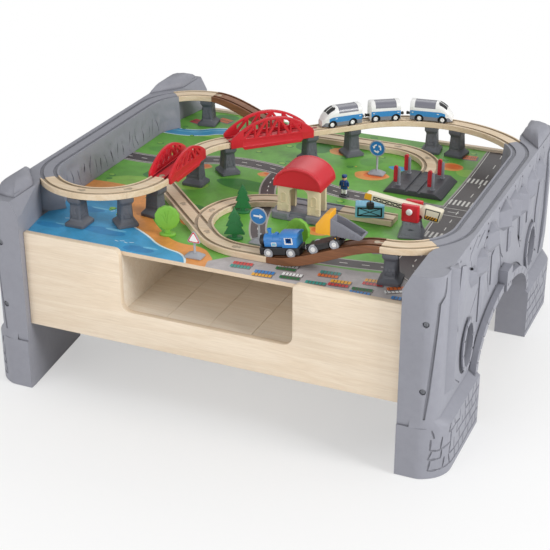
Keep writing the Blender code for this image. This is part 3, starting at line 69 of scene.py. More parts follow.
class Look:
    """A procedural material while its nodes are put together."""

    def __init__(self, name, roughness=0.5):
        self.material = bpy.data.materials.new(name)
        self.material.use_nodes = True
        tree = self.material.node_tree
        self.nodes = tree.nodes
        self.links = tree.links
        self.shader = self.nodes["Principled BSDF"]
        self.shader.inputs["Roughness"].default_value = roughness

    def put(self, socket, value):
        if isinstance(value, bpy.types.NodeSocket):
            self.links.new(value, socket)
        else:
            socket.default_value = value

    def add(self, kind, values=None, **settings):
        item = self.nodes.new("ShaderNode" + kind)
        for name, value in settings.items():
            setattr(item, name, value)
        for key, value in (values or {}).items():
            self.put(item.inputs[key], value)
        return item

    def place(self, scale=(1, 1, 1)):
        """Position in the frame, in metres, stretched along the axes."""
        position = self.add("TexCoord").outputs["Object"]
        return self.add("Mapping", {"Vector": position, "Scale": scale}).outputs["Vector"]

    def noise(self, place, scale, detail=4, rough=0.5, distortion=0.0):
        values = {"Vector": place, "Scale": scale, "Detail": detail, "Roughness": rough,
                  "Distortion": distortion}
        return self.add("TexNoise", values).outputs["Fac"]

    def ramp(self, factor, low, high, first=0.0, last=1.0):
        """Maps the factor's range low to high onto first to last, and stays there outside it."""
        values = {"Value": factor, "From Min": low, "From Max": high, "To Min": first, "To Max": last}
        return self.add("MapRange", values).outputs["Result"]

    def math(self, operation, first, second=0.0):
        return self.add("Math", {0: first, 1: second}, operation=operation).outputs["Value"]

    def mix(self, factor, first, second):
        return self.add("Mix", {0: factor, 6: first, 7: second}, data_type="RGBA").outputs[2]

    def tint(self, colour, factor, low, high):
        """Colour darkened and lightened by a factor between two brightnesses."""
        return self.mix(factor, shaded(colour, low), shaded(colour, high))

    def edges(self, radius):
        """Rounded normal, and a mask that is 1 on edges and 0 on open faces."""
        rounded_normal = self.add("Bevel", {"Radius": radius}, samples=4).outputs["Normal"]
        true_normal = self.add("NewGeometry").outputs["True Normal"]
        product = self.add("VectorMath", {0: rounded_normal, 1: true_normal}, operation="DOT_PRODUCT")
        return rounded_normal, self.ramp(product.outputs["Value"], OPEN_FACE, SHARP_EDGE)

    def finish(self, colour, heights=(), normal=None):
        """Connects the colour, and a bump for each (height, distance) in metres."""
        self.put(self.shader.inputs["Base Color"], colour)
        for height, distance in heights:
            values = {"Height": height, "Distance": distance, "Strength": 1.0}
            if normal is not None:
                values["Normal"] = normal
            normal = self.add("Bump", values).outputs["Normal"]
        if normal is not None:
            self.put(self.shader.inputs["Normal"], normal)
        return self.material


OPEN_FACE = 0.995        # how far the rounded normal agrees with the true one, on a face and on an edge
SHARP_EDGE = 0.80
PLASTIC_EDGE = 0.0006    # reach of the rubbed edges
ROCK_EDGE = 0.0012
WOOD_EDGE = 0.0005
SKIN_SCALE = 1400        # fine skin of moulded plastic
SKIN_DEPTH = 0.00006
CREVICE_SHADE_REACH = 0.007    # reach of the painted shade in the rock's crevices
GRAIN_STRETCH = (0.06, 1, 1)
PORE_STRETCH = (0.02, 1, 1)
LAYER = 0.0012           # thickness of a layer of plywood


def plastic(name, colour, roughness=0.45, coat=0.0):
    """Moulded plastic with a fine skin, soft colour clouds and edges rubbed pale."""
    look = Look(name, roughness)
    look.shader.inputs["Coat Weight"].default_value = coat
    place = look.place()
    cloud = look.noise(place, 22, 3)
    skin = look.noise(place, SKIN_SCALE, 3, 0.6)
    normal, edge = look.edges(PLASTIC_EDGE)
    body = look.tint(colour, cloud, 0.94, 1.06)
    worn = look.math("MULTIPLY", edge, look.ramp(look.noise(place, 160, 3), 0.40, 0.65, 0.08, 0.40))
    body = look.mix(worn, body, shaded(colour, 1.5))
    rough = look.ramp(skin, 0.3, 0.7, roughness - 0.06, roughness + 0.08)
    look.put(look.shader.inputs["Roughness"], rough)
    return look.finish(body, [(skin, SKIN_DEPTH), (cloud, 0.0002)], normal)


def moulded_rock(name, colour):
    """Matte moulded plastic with a rock texture, rubbed edges and painted shade that darkens its crevices."""
    look = Look(name, 0.55)
    place = look.place()
    cloud = look.noise(place, 16, 4)
    stone = look.noise(place, 70, 4, 0.6)
    skin = look.noise(place, 1300, 3, 0.6)
    normal, edge = look.edges(ROCK_EDGE)
    body = look.tint(colour, cloud, 0.90, 1.08)
    body = look.mix(look.ramp(stone, 0.45, 0.70, 0.0, 0.25), body, shaded(colour, 0.80))
    worn = look.math("MULTIPLY", edge, look.ramp(look.noise(place, 130, 3), 0.40, 0.65, 0.10, 0.55))
    body = look.mix(worn, body, shaded(colour, 1.45))
    # painted shade: ambient occlusion darkens the colour in the crevices and grooves of the rock
    painted_crevice_shade = look.add("AmbientOcclusion", {"Distance": CREVICE_SHADE_REACH}, samples=6, only_local=True)
    body = look.mix(look.ramp(painted_crevice_shade.outputs["AO"], 0.35, 0.92, 0.85, 0.0), body, shaded(colour, 0.28))
    look.put(look.shader.inputs["Roughness"], look.ramp(skin, 0.3, 0.7, 0.48, 0.64))
    return look.finish(body, [(skin, SKIN_DEPTH), (stone, 0.0005), (cloud, 0.0006)], normal)


def wood(name, light, dark):
    """Sanded wood whose grain runs along X."""
    look = Look(name, 0.5)
    place = look.place(GRAIN_STRETCH)
    wave = look.noise(place, 38, 3, 0.6, 1.2)
    fibre = look.noise(place, 420, 3, 0.7)
    pore = look.noise(look.place(PORE_STRETCH), 900, 2, 0.6)
    normal, edge = look.edges(WOOD_EDGE)
    rings = look.math("PINGPONG", look.math("MULTIPLY", wave, 7.0), 1.0)
    body = look.mix(look.ramp(rings, 0.1, 1.0, 0.0, 0.5), light, dark)
    body = look.mix(look.ramp(fibre, 0.35, 0.75, 0.0, 0.35), body, shaded(dark, 0.85))
    body = look.mix(look.ramp(pore, 0.62, 0.72, 0.0, 0.35), body, shaded(dark, 0.7))
    body = look.mix(look.math("MULTIPLY", edge, 0.35), body, shaded(light, 1.12))
    look.put(look.shader.inputs["Roughness"], look.ramp(fibre, 0.3, 0.7, 0.42, 0.60))
    return look.finish(body, [(fibre, 0.00008), (pore, 0.00005)], normal)


def plywood(name):
    """Cut edge of a panel, with thin layers across its thickness."""
    look = Look(name, 0.6)
    place = look.place()
    depth = look.add("SeparateXYZ", {0: place}).outputs["Y"]
    wander = look.math("MULTIPLY", look.noise(place, 30, 2), 0.0006)
    layers = look.math("PINGPONG", look.math("ADD", depth, wander), LAYER)
    fibre = look.noise(place, 700, 3, 0.7)
    body = look.mix(look.ramp(layers, LAYER / 4, LAYER * 0.75), BIRCH, BIRCH_DARK)
    body = look.mix(look.ramp(fibre, 0.4, 0.7, 0.0, 0.35), body, shaded(BIRCH_DARK, 0.8))
    return look.finish(body, [(fibre, 0.0001), (layers, 0.05)])


def printed(name, colour):
    """Ink on smooth paper under a thin varnish, with soft brush clouds."""
    look = Look(name, 0.45)
    place = look.place()
    cloud = look.noise(place, 34, 5, 0.65, 0.6)
    fleck = look.noise(place, 260, 3, 0.7)
    body = look.mix(look.ramp(cloud, 0.3, 0.7), shaded(colour, 0.84), shaded(colour, 1.14))
    body = look.mix(look.ramp(fleck, 0.52, 0.72, 0.0, 0.30), body, shaded(colour, 1.45))
    look.put(look.shader.inputs["Roughness"], look.ramp(fleck, 0.3, 0.7, 0.38, 0.52))
    return look.finish(body, [(fleck, 0.00004)])


BIRCH = rgb(238, 222, 200)
# birch lightened to paint light onto the storage inside, which lies in shade
BIRCH_PAINTED_LIGHT = rgb(250, 240, 224)
BIRCH_DARK = rgb(222, 200, 172)
BEECH = rgb(232, 212, 184)
BEECH_DARK = rgb(212, 184, 146)
BROWN = rgb(140, 90, 55)
BROWN_DARK = rgb(95, 55, 30)
WALL_GREY = rgb(144, 145, 154)
PIER_GREY = rgb(92, 94, 101)
RED = rgb(205, 38, 50)

PRINT_INKS = {
    "grass": rgb(106, 172, 66), "grass_mid": rgb(90, 158, 60), "grass_light": rgb(142, 192, 78),
    "grass_dark": rgb(62, 130, 56), "leaf_print": rgb(84, 150, 60), "water": rgb(66, 156, 204),
    "water_dark": rgb(48, 134, 188), "water_light": rgb(112, 186, 220), "foam": rgb(222, 238, 242),
    "sand": rgb(226, 150, 76), "orange": rgb(224, 112, 44), "asphalt": rgb(74, 67, 68),
    "line": rgb(232, 230, 224), "kerb": rgb(168, 164, 158), "concrete": rgb(178, 172, 172),
    "shade": rgb(112, 106, 106), "teal": rgb(52, 150, 138), "print_red": rgb(206, 62, 62),
    "rib": rgb(96, 70, 66),
}

LOOKS = {
    "wall": moulded_rock("wall_grey", WALL_GREY),
    # dark grey of the plates at the back of the blind windows: painted shade of a deep recess
    "recess_shade": plastic("recess_shade_grey", rgb(96, 97, 104), 0.6),
    "birch": wood("birch", BIRCH, BIRCH_DARK),
    # paler copy of birch for the storage floor and sides: painted light on wood that lies in shade
    "birch_painted_light": wood("birch_painted_light", BIRCH_PAINTED_LIGHT, BIRCH),
    "beech": wood("beech", BEECH, BEECH_DARK),
    "brown": wood("brown_stain", BROWN, BROWN_DARK),
    # darker copies of the track looks: painted shade for the faces inside the wheel grooves
    "groove": wood("beech_groove_shade", shaded(BEECH, 0.62), shaded(BEECH_DARK, 0.52)),
    "red_groove_shade": plastic("red_groove_shade", shaded(RED, 0.5), 0.4),
    "brown_groove_shade": wood("brown_groove_shade", shaded(BROWN, 0.55), shaded(BROWN_DARK, 0.55)),
    "red": plastic("bridge_red", RED, 0.35),
    "pier": plastic("pier_grey", PIER_GREY, 0.5),
    "grey": plastic("toy_grey", rgb(128, 130, 138), 0.5),
    "dark": plastic("dark_grey", rgb(70, 71, 76), 0.5),
    "black": plastic("black_plastic", rgb(32, 32, 34), 0.4),
    "silver": plastic("silver_plastic", rgb(176, 178, 184), 0.3),
    "white": plastic("white_plastic", rgb(238, 238, 236), 0.35),
    "cream": plastic("cream_plastic", rgb(232, 224, 200), 0.45),
    "blue": plastic("blue_plastic", rgb(52, 132, 200), 0.35),
    "navy": plastic("navy_plastic", rgb(30, 70, 130), 0.4),
    "green": plastic("green_paint", rgb(40, 112, 62), 0.5),
    "leaf": plastic("leaf_paint", rgb(120, 180, 60), 0.5),
    "yellow": plastic("yellow_plastic", rgb(236, 170, 30), 0.4),
    "print": plastic("board_green", rgb(104, 170, 66), 0.5),
    "steel": plastic("screw_steel", rgb(120, 122, 128), 0.35),
    "gate": plastic("gate_red", rgb(190, 40, 52), 0.4),
    "beige": plastic("wall_beige", rgb(222, 206, 172), 0.55),
    "pale": plastic("pale_grey", rgb(158, 160, 166), 0.5),
    "sign_blue": plastic("sign_blue", rgb(36, 120, 186), 0.35),
    "sky": plastic("light_blue", rgb(122, 190, 218), 0.4),
    "band": plastic("band_blue", rgb(62, 140, 200), 0.3, coat=0.3),
    "window": plastic("roof_panel", rgb(122, 122, 132), 0.3, coat=0.3),
    "loco": plastic("loco_blue", rgb(56, 132, 204), 0.35, coat=0.2),
    "tub": plastic("tub_grey", rgb(120, 121, 130), 0.5),
    "skin": plastic("skin_paint", rgb(226, 178, 146), 0.5),
    "ply": plywood("birch_edge"),
}
for ink, colour in PRINT_INKS.items():
    LOOKS.setdefault(ink, printed("print_" + ink, colour))

CAR_NAMES = ("express_lead", "express_middle", "express_tail")
CAR_ENDS = ("front", "rear")
NODE_LOOKS = {
    "wall": ["left_end_wall", "right_end_wall"],
    "birch": ["front_panel", "back_panel"],
    "birch_painted_light": ["storage_floor", "storage_side_left", "storage_side_right"],
    "print": ["play_board"],
    "beech": ["upper_front_curve", "upper_middle_curve", "upper_back_curve", "upper_right_curve",
              "express_track", "front_track", "switch_track", "branch_track", "yard_track", "back_track"],
    "brown": ["ramp_front", "ramp_back"],
    "red": ["bridge_front", "bridge_middle", "gate_front_left", "gate_front_right", "gate_back_left",
            "gate_back_right", "station_hall", "crane_cab"],
    "dark": ["crossing_platform"],
    "grey": ["station_base", "crane_tower", "sign_arrow", "sign_back", "sign_warning", "tipper_tub"],
    "cream": ["crane_jib"],
    "white": ["crane_knob"],
    "green": ["fir_small", "fir_tall"],
    "leaf": ["tree_round", "bush"],
    "navy": ["figure"],
    "blue": [*CAR_NAMES, "loco_body", "container"],
    "black": ["loco_chassis", "wagon_chassis", "crane_hook"]
             + [f"{car}_wheels_{end}" for car in CAR_NAMES for end in CAR_ENDS],
    "silver": [f"{car}_wheels_{end}" for car in ("loco", "wagon") for end in CAR_ENDS],
}


def dress_nodes():
    for look, names in NODE_LOOKS.items():
        for name in names:
            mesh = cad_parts[name].data
            mesh.materials.clear()
            mesh.materials.append(LOOKS[look])


# meshes

def opened(*meshes):
    """Editable copy of one or more meshes."""
    work = bmesh.new()
    for mesh in meshes:
        work.from_mesh(mesh)
    return work


def closed(work, name="shape"):
    """Mesh made of an editable copy, which ends here."""
    mesh = bpy.data.meshes.new(name)
    work.to_mesh(mesh)
    work.free()
    return mesh


def in_scene(name, data):
    """Object in the scene that shows a mesh, a light or a camera."""
    item = bpy.data.objects.new(name, data)
    bpy.context.scene.collection.objects.link(item)
    return item


def solid(verts, faces):
    """Closed mesh with its faces turned outwards."""
    mesh = bpy.data.meshes.new("shape")
    mesh.from_pydata([tuple(vert) for vert in verts], [], faces)
    work = opened(mesh)
    bmesh.ops.recalc_face_normals(work, faces=work.faces)
    return closed(work)


def loft(rings):
    """Closed skin through rings of equal point count."""
    size = len(rings[0])
    faces = [tuple(reversed(range(size)))]
    for level in range(len(rings) - 1):
        low = level * size
        for i in range(size):
            j = (i + 1) % size
            faces.append((low + i, low + j, low + size + j, low + size + i))
    last = (len(rings) - 1) * size
    faces.append(tuple(range(last, last + size)))
    return solid([point for ring in rings for point in ring], faces)


def prism(outline, low, high):
    """Upright solid on a plan outline."""
    return loft([[(x, y, z) for x, y in outline] for z in (low, high)])


def prism_x(outline, low, high):
    """Solid with a (y, z) outline, running along X."""
    return loft([[(x, y, z) for y, z in outline] for x in (low, high)])


def prism_y(outline, low, high):
    """Solid with an (x, z) outline, running along Y."""
    return loft([[(x, y, z) for x, z in outline] for y in (low, high)])


def box(low, high):
    corners = [(low[0], low[1]), (high[0], low[1]), (high[0], high[1]), (low[0], high[1])]
    return prism(corners, low[2], high[2])


def revolve(profile, steps=24, axis="Z"):
    """Solid of revolution. The profile of (radius, height) starts and ends on the axis."""
    verts = [(0, 0, profile[0][1])]
    for radius, height in profile[1:-1]:
        for step in range(steps):
            angle = 2 * math.pi * step / steps
            verts.append((radius * math.cos(angle), radius * math.sin(angle), height))
    verts.append((0, 0, profile[-1][1]))
    faces = []
    for step in range(steps):
        nxt = (step + 1) % steps
        faces.append((0, 1 + nxt, 1 + step))
        for ring in range(len(profile) - 3):
            low = 1 + ring * steps
            faces.append((low + step, low + nxt, low + steps + nxt, low + steps + step))
        top = 1 + (len(profile) - 3) * steps
        faces.append((len(verts) - 1, top + step, top + nxt))
    mesh = solid(verts, faces)
    if axis == "X":
        mesh.transform(Matrix.Rotation(math.radians(90), 4, "Y"))
    if axis == "Y":
        mesh.transform(Matrix.Rotation(math.radians(-90), 4, "X"))
    return mesh


def cylinder(centre, radius, low, high, steps=24, axis="Z", edge=0.0):
    """Round bar, whose edges are broken where a width is given for them."""
    side = [(radius, low), (radius, high)]
    if edge:
        side = [(radius - edge, low), (radius, low + edge), (radius, high - edge), (radius - edge, high)]
    return shifted(revolve([(0, low), *side, (0, high)], steps, axis), *centre)


def moved(mesh, matrix):
    mesh.transform(matrix)
    if matrix.determinant() < 0:
        mesh.flip_normals()
    return mesh


def shifted(mesh, x=0, y=0, z=0):
    return moved(mesh, Matrix.Translation((x, y, z)))


def mirrored(mesh):
    """Copy of a mesh on the other side of the table."""
    return moved(mesh.copy(), Matrix.Scale(-1, 4, (1, 0, 0)))


def join(meshes):
    """One mesh that holds several separate solids."""
    return closed(opened(*meshes))


def boolean(mesh, tools, operation, crossing=False):
    """Apply each tool to the mesh in turn. A tool whose own solids cross needs the slower way."""
    for tool in tools:
        target = in_scene("target", mesh)
        cutter = in_scene("cutter", tool)
        step = target.modifiers.new("step", "BOOLEAN")
        step.operation = operation
        step.solver = "EXACT"
        step.use_self = crossing
        step.object = cutter
        graph = bpy.context.evaluated_depsgraph_get()
        mesh = bpy.data.meshes.new_from_object(target.evaluated_get(graph))
        bpy.data.objects.remove(target, do_unlink=True)
        bpy.data.objects.remove(cutter, do_unlink=True)
    return mesh


def union(mesh, tools, crossing=False):
    return boolean(mesh, tools, "UNION", crossing)


def cut(mesh, tools, crossing=False):
    return boolean(mesh, tools, "DIFFERENCE", crossing)


def soften(mesh, width, segments=2, sharper=30):
    """Rounds the edges that are sharper than an angle."""
    work = opened(mesh)
    bmesh.ops.dissolve_limit(work, angle_limit=math.radians(1), verts=work.verts, edges=work.edges)
    limit = math.radians(sharper)
    edges = [edge for edge in work.edges if edge.is_manifold and edge.calc_face_angle() > limit]
    bmesh.ops.bevel(work, geom=edges, offset=width, segments=segments, profile=0.5, affect="EDGES",
                    clamp_overlap=True)
    return closed(work)


def piece(name, parts, body, replaces=(), smooth=38):
    """One visible piece of (mesh, look) parts. A look is a name, or a function of a face that gives one."""
    work = bmesh.new()
    names = []
    for mesh, look in parts:
        first = len(work.faces)
        work.from_mesh(mesh)
        work.faces.ensure_lookup_table()
        for face in work.faces[first:]:
            chosen = look(face) if callable(look) else look
            if chosen not in names:
                names.append(chosen)
            face.material_index = names.index(chosen)
    mesh = closed(work, name)
    for chosen in names:
        mesh.materials.append(LOOKS[chosen])
    mesh.shade_smooth()
    mesh.set_sharp_from_angle(angle=math.radians(smooth))
    item = in_scene(name, mesh)
    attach(item, body)
    if replaces:
        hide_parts(*replaces)
    return item


# outlines

def polar(centre, radius, degrees):
    angle = math.radians(degrees)
    return (centre[0] + radius * math.cos(angle), centre[1] + radius * math.sin(angle))


def arc(centre, radius, begin, end, steps):
    return [polar(centre, radius, begin + (end - begin) * i / steps) for i in range(steps + 1)]


def ellipse(centre, half, begin, end, steps):
    points = arc((0, 0), 1, begin, end, steps)
    return [(centre[0] + x * half[0], centre[1] + y * half[1]) for x, y in points]


def rounded(corners, steps=6):
    """Outline whose corners (x, y, radius) become arcs."""
    outline = []
    for i, (x, y, radius) in enumerate(corners):
        corner = Vector((x, y))
        if radius == 0:
            outline.append((x, y))
            continue
        before = (Vector(corners[i - 1][:2]) - corner).normalized()
        after = (Vector(corners[(i + 1) % len(corners)][:2]) - corner).normalized()
        half = before.angle(after) / 2
        centre = corner + (before + after).normalized() * radius / math.sin(half)
        start = corner + before * radius / math.tan(half) - centre
        end = corner + after * radius / math.tan(half) - centre
        first = math.atan2(start.y, start.x)
        turn = (math.atan2(end.y, end.x) - first + math.pi) % (2 * math.pi) - math.pi
        for step in range(steps + 1):
            outline.append(polar(centre, radius, math.degrees(first + turn * step / steps)))
    return outline


def rectangle(half_x, half_y, radius=0):
    return rounded([(-half_x, -half_y, radius), (half_x, -half_y, radius),
                    (half_x, half_y, radius), (-half_x, half_y, radius)])


def chamfered(half_x, half_y, chamfer):
    inner_x = half_x - chamfer
    inner_y = half_y - chamfer
    return [(-inner_x, -half_y), (inner_x, -half_y), (half_x, -inner_y), (half_x, inner_y),
            (inner_x, half_y), (-inner_x, half_y), (-half_x, inner_y), (-half_x, -inner_y)]


def tube(points, radius, sides=6, taper=0.35):
    """Round bar through a line of points, thinner at both ends."""
    points = [Vector(point) for point in points]
    rings = []
    for i, point in enumerate(points):
        ahead = (points[min(i + 1, len(points) - 1)] - points[max(i - 1, 0)]).normalized()
        guide = Vector((0, 0, 1)) if abs(ahead.x) > 0.7 else Vector((1, 0, 0))
        side = ahead.cross(guide).normalized()
        lift = side.cross(ahead)
        size = radius * (taper if i in (0, len(points) - 1) else 1)
        rings.append([point + size * (math.cos(a) * side + math.sin(a) * lift)
                      for a in (2 * math.pi * k / sides for k in range(sides))])
    return loft(rings)


def hull(points):
    """Tightest skin without hollows around points."""
    work = bmesh.new()
    for point in points:
        work.verts.new(point)
    made = bmesh.ops.convex_hull(work, input=work.verts)
    inner = list(set(made["geom_interior"] + made["geom_unused"]))
    bmesh.ops.delete(work, geom=inner, context="VERTS")
    return closed(work)


# box and walls

GAP = 0.0003
TRACK_WIDTH = 0.040
GROOVE_OFFSET = 0.013
GROOVE_WIDTH = 0.0065
GROOVE_DEPTH = 0.003
CURVE_RADIUS = 0.116
UPPER_TOP = 0.399
UPPER_LOW = 0.387
BOARD_TOP = 0.327
BOARD_THICK = 0.008
LOWER_LOW = 0.3273
LOWER_TOP = 0.339
WALL_INNER = 0.380
WALL_JAMB_INNER = 0.403
WALL_OUTER = 0.450
WALL_HALF_DEPTH = 0.407
WALL_CORNER = 0.032
FLANGE_DEPTH = 0.395
FOOT_OUTER = 0.469
FOOT_HALF_DEPTH = 0.410
FOOT_CORNER = 0.058
FOOT_TOP = 0.104
FOOT_SHOULDER = 0.118
LEG_TOP = 0.140
LOOP_X = 0.425
LOOP_Y = 0.188
ARC_X = LOOP_X - CURVE_RADIUS
ARCH_HALF_WIDTH = 0.183
ARCH_SPRING = 0.111
ARCH_RISE = 0.090
ARCH_BAND = 0.016
BAND_OUTER = 0.464
OVAL_CENTRE = (0.232, 0.190)
OVAL_HALF = (0.028, 0.044)
OVAL_BAND = 0.009
PANEL_HALF_LENGTH = 0.3797
PANEL_FACE = 0.393
PANEL_INNER = 0.381
PANEL_LOW = 0.138
PANEL_TOP = 0.333
NOTCH_HALF_WIDTH = 0.174
NOTCH_LOW = 0.207
PANEL_ROUND = 0.0008


def panel_outline():
    return rounded([
        (-PANEL_HALF_LENGTH, PANEL_LOW, 0), (PANEL_HALF_LENGTH, PANEL_LOW, 0),
        (PANEL_HALF_LENGTH, PANEL_TOP, 0), (NOTCH_HALF_WIDTH, PANEL_TOP, 0.012),
        (NOTCH_HALF_WIDTH, NOTCH_LOW, 0.020), (-NOTCH_HALF_WIDTH, NOTCH_LOW, 0.020),
        (-NOTCH_HALF_WIDTH, PANEL_TOP, 0.012), (-PANEL_HALF_LENGTH, PANEL_TOP, 0)], 10)


def build_panels():
    """Front and back panel, with the layers of the wood showing on their cut edges."""
    def look(face):
        return "birch" if abs(face.normal.y) > 0.7 else "ply"

    for name, near, far in (("front_panel", -PANEL_FACE, -PANEL_INNER),
                            ("back_panel", PANEL_INNER, PANEL_FACE)):
        mesh = soften(prism_y(panel_outline(), near, far), PANEL_ROUND)
        piece(name + "_wood", [(mesh, look)], "table", [name])


def block_outline(inner, outer, half_depth, corner):
    """Plan of a wall slice whose two outer corners are round."""
    return rounded([(inner, -half_depth, 0), (outer, -half_depth, corner), (outer, half_depth, corner),
                    (inner, half_depth, 0)], 10)


WALL_LEAN = 0.008
FOLD_DEPTH = 0.0075
FOLD_TOP = 0.87          # share of the height where the folds end


def fold_depth(y, level):
    """Depth of the folds in the inner face at a height from 0 to 1."""
    if level >= FOLD_TOP:
        return 0.0
    fade = math.sin(math.pi * min(1, level * 1.15)) ** 0.7
    coarse = abs(noise.noise(Vector((y * 34, level * 2.2, 3.1))))
    fine = abs(noise.noise(Vector((y * 90, level, 7.7))))
    return FOLD_DEPTH * fade * min(1, coarse + 0.5 * fine)


def deck_outline(level):
    """Plan of the wall above the board at a height from 0 to 1, with folds of rock in its inner face."""
    lean = WALL_LEAN * (1 - level)
    inner = CURVE_RADIUS - TRACK_WIDTH / 2 - lean
    outer = CURVE_RADIUS + TRACK_WIDTH / 2 + 2 * GAP
    end = 45 - math.degrees(GAP / 2 / CURVE_RADIUS)
    back = (ARC_X, LOOP_Y)
    front = (ARC_X, -LOOP_Y)
    face = arc(back, inner, end, 0, 22)
    straight = 60
    face += [(ARC_X + inner, LOOP_Y - 2 * LOOP_Y * i / straight) for i in range(1, straight)]
    face += arc(front, inner, 0, -end, 22)
    folded = []
    for i, (x, y) in enumerate(face):
        fade = min(1, i / 4, (len(face) - 1 - i) / 4)
        push = fade * fold_depth(y, level)
        away = Vector((x - min(x, ARC_X), y - max(-LOOP_Y, min(LOOP_Y, y)))).normalized()
        folded.append((x + away.x * push, y + away.y * push))
    side = [(WALL_INNER, FLANGE_DEPTH), polar(back, outer + 0.003, 50), polar(back, outer, end)]
    side += folded
    side += [polar(front, outer, -end), polar(front, outer + 0.003, -50), (WALL_INNER, -FLANGE_DEPTH)]
    return block_outline(WALL_INNER, WALL_OUTER, WALL_HALF_DEPTH, WALL_CORNER) + side


KNOB_PLAN = ((0.3965, 0.3870), (0.4200, 0.3872), (0.4410, 0.3790), (0.4490, 0.3570),
             (0.4492, 0.2500), (0.4300, 0.2780), (0.4120, 0.2990), (0.3980, 0.3200))
KNOB_CENTRE = (0.424, 0.335)
KNOB_LEVELS = ((0.390, 1.0), (0.400, 0.99), (0.4045, 0.96), (0.409, 0.90), (0.413, 0.81),
               (0.4165, 0.66), (0.419, 0.45), (0.420, 0.2))      # height, share of the plan
KNOB_STEPS = 4           # points on each side of the plan
KNOB_PLAIN = 0.402       # height up to which it has no bumps
KNOB_BUMP = 0.14
SHOULDER_WEDGE = ((0.3617, 0.3690), (0.3797, 0.3690), (0.3990, 0.4060), (0.3617, 0.4060))
SHOULDER_RUN = (0.296, 0.420)


def knob(sign):
    """Rock on a corner of the wall, outside the curve of the track."""
    centre = Vector(KNOB_CENTRE)
    rim = []
    for i, corner in enumerate(KNOB_PLAN):
        after = Vector(KNOB_PLAN[(i + 1) % len(KNOB_PLAN)])
        rim += [Vector(corner).lerp(after, k / KNOB_STEPS) for k in range(KNOB_STEPS)]
    rings = []
    for height, size in KNOB_LEVELS:
        rough = KNOB_BUMP if height > KNOB_PLAIN else 0
        ring = []
        for point in rim:
            bump = rough * noise.noise(Vector((point.x * 75, point.y * 75, height * 90)))
            x, y = centre.lerp(point, min(1.0, size * (1 + bump) - max(0, bump) * 0.6))
            ring.append((x, sign * y, height))
        rings.append(ring)
    return loft(rings)


def shoulder_cut(sign):
    """Wedge taken off the inner edge above the panel."""
    return prism_y(SHOULDER_WEDGE, *sorted(sign * y for y in SHOULDER_RUN))


def arch_outline(grow, low):
    half = (ARCH_HALF_WIDTH + grow, ARCH_RISE + grow)
    return [(-half[0], low), (half[0], low)] + ellipse((0, ARCH_SPRING), half, 0, 180, 40)


def oval(sign, grow, low, high):
    centre = (sign * OVAL_CENTRE[0], OVAL_CENTRE[1])
    half = (OVAL_HALF[0] + grow, OVAL_HALF[1] + grow)
    return prism_x(ellipse(centre, half, 0, 350, 35), low, high)


def wall_track():
    """Cutters for the two wheel grooves of the track moulded into the wall."""
    steps = 14
    line = []
    for y, turn in ((-LOOP_Y, -50), (LOOP_Y, 0)):
        turns = [turn + 50 * i / steps for i in range(steps + 1)]
        line += [(*polar((ARC_X, y), CURVE_RADIUS, angle), 90 + angle) for angle in turns]
    half = GROOVE_WIDTH / 2
    wide = half + 0.0006
    floor = UPPER_TOP - GROOVE_DEPTH
    rim = UPPER_TOP + 0.0002
    above = UPPER_TOP + 0.005
    cutters = []
    for across in (-GROOVE_OFFSET, GROOVE_OFFSET):
        section = [(across - half, floor), (across + half, floor), (across + wide, rim),
                   (across + wide, above), (across - wide, above), (across - wide, rim)]
        cutters.append(sweep(line, [section] * len(line)))
    return cutters


def foot_point(run, height):
    """Point on the plinth, by the distance from the arch round the front corner."""
    straight = FOOT_HALF_DEPTH - FOOT_CORNER - ARCH_HALF_WIDTH
    if run <= straight:
        return (FOOT_OUTER, -ARCH_HALF_WIDTH - run, height)
    angle = (run - straight) / FOOT_CORNER
    return (FOOT_OUTER - FOOT_CORNER + FOOT_CORNER * math.cos(angle),
            -FOOT_HALF_DEPTH + FOOT_CORNER - FOOT_CORNER * math.sin(angle), height)


STONE_COURSES = (0.014, 0.037, 0.060, 0.083, 0.103)
STONE_RUN = 0.169 + FOOT_CORNER * 1.25
STONE_SPANS = 8          # stretches of a course with a wobble of their own


def stone_lines():
    """Grooves between the stones of the plinth: uneven courses with staggered joints."""
    chance = random.Random(4)
    lines = []
    wobble = [[chance.uniform(-0.004, 0.004) for _ in range(STONE_SPANS + 1)] for _ in STONE_COURSES]

    def course(level, run):
        place = run / STONE_RUN * STONE_SPANS
        low = int(min(STONE_SPANS - 1, place))
        share = place - low
        return STONE_COURSES[level] + wobble[level][low] * (1 - share) + wobble[level][low + 1] * share

    for level in range(len(STONE_COURSES) - 1):
        run = 0.012 + chance.uniform(0, 0.014)
        last = 0.0
        while run < STONE_RUN:
            skew = chance.uniform(-0.007, 0.007)
            low = foot_point(run, course(level, run) + 0.001)
            high = foot_point(run + skew, course(level + 1, run + skew) - 0.001)
            lines.append([low, [(a + b) / 2 for a, b in zip(low, high)], high])
            if chance.random() < 0.86:
                runs = [last + (run - last) * k / 4 for k in range(5)]
                lines.append([foot_point(r, course(level, r)) for r in runs])
            last = run
            run += chance.uniform(0.020, 0.036)
    return lines


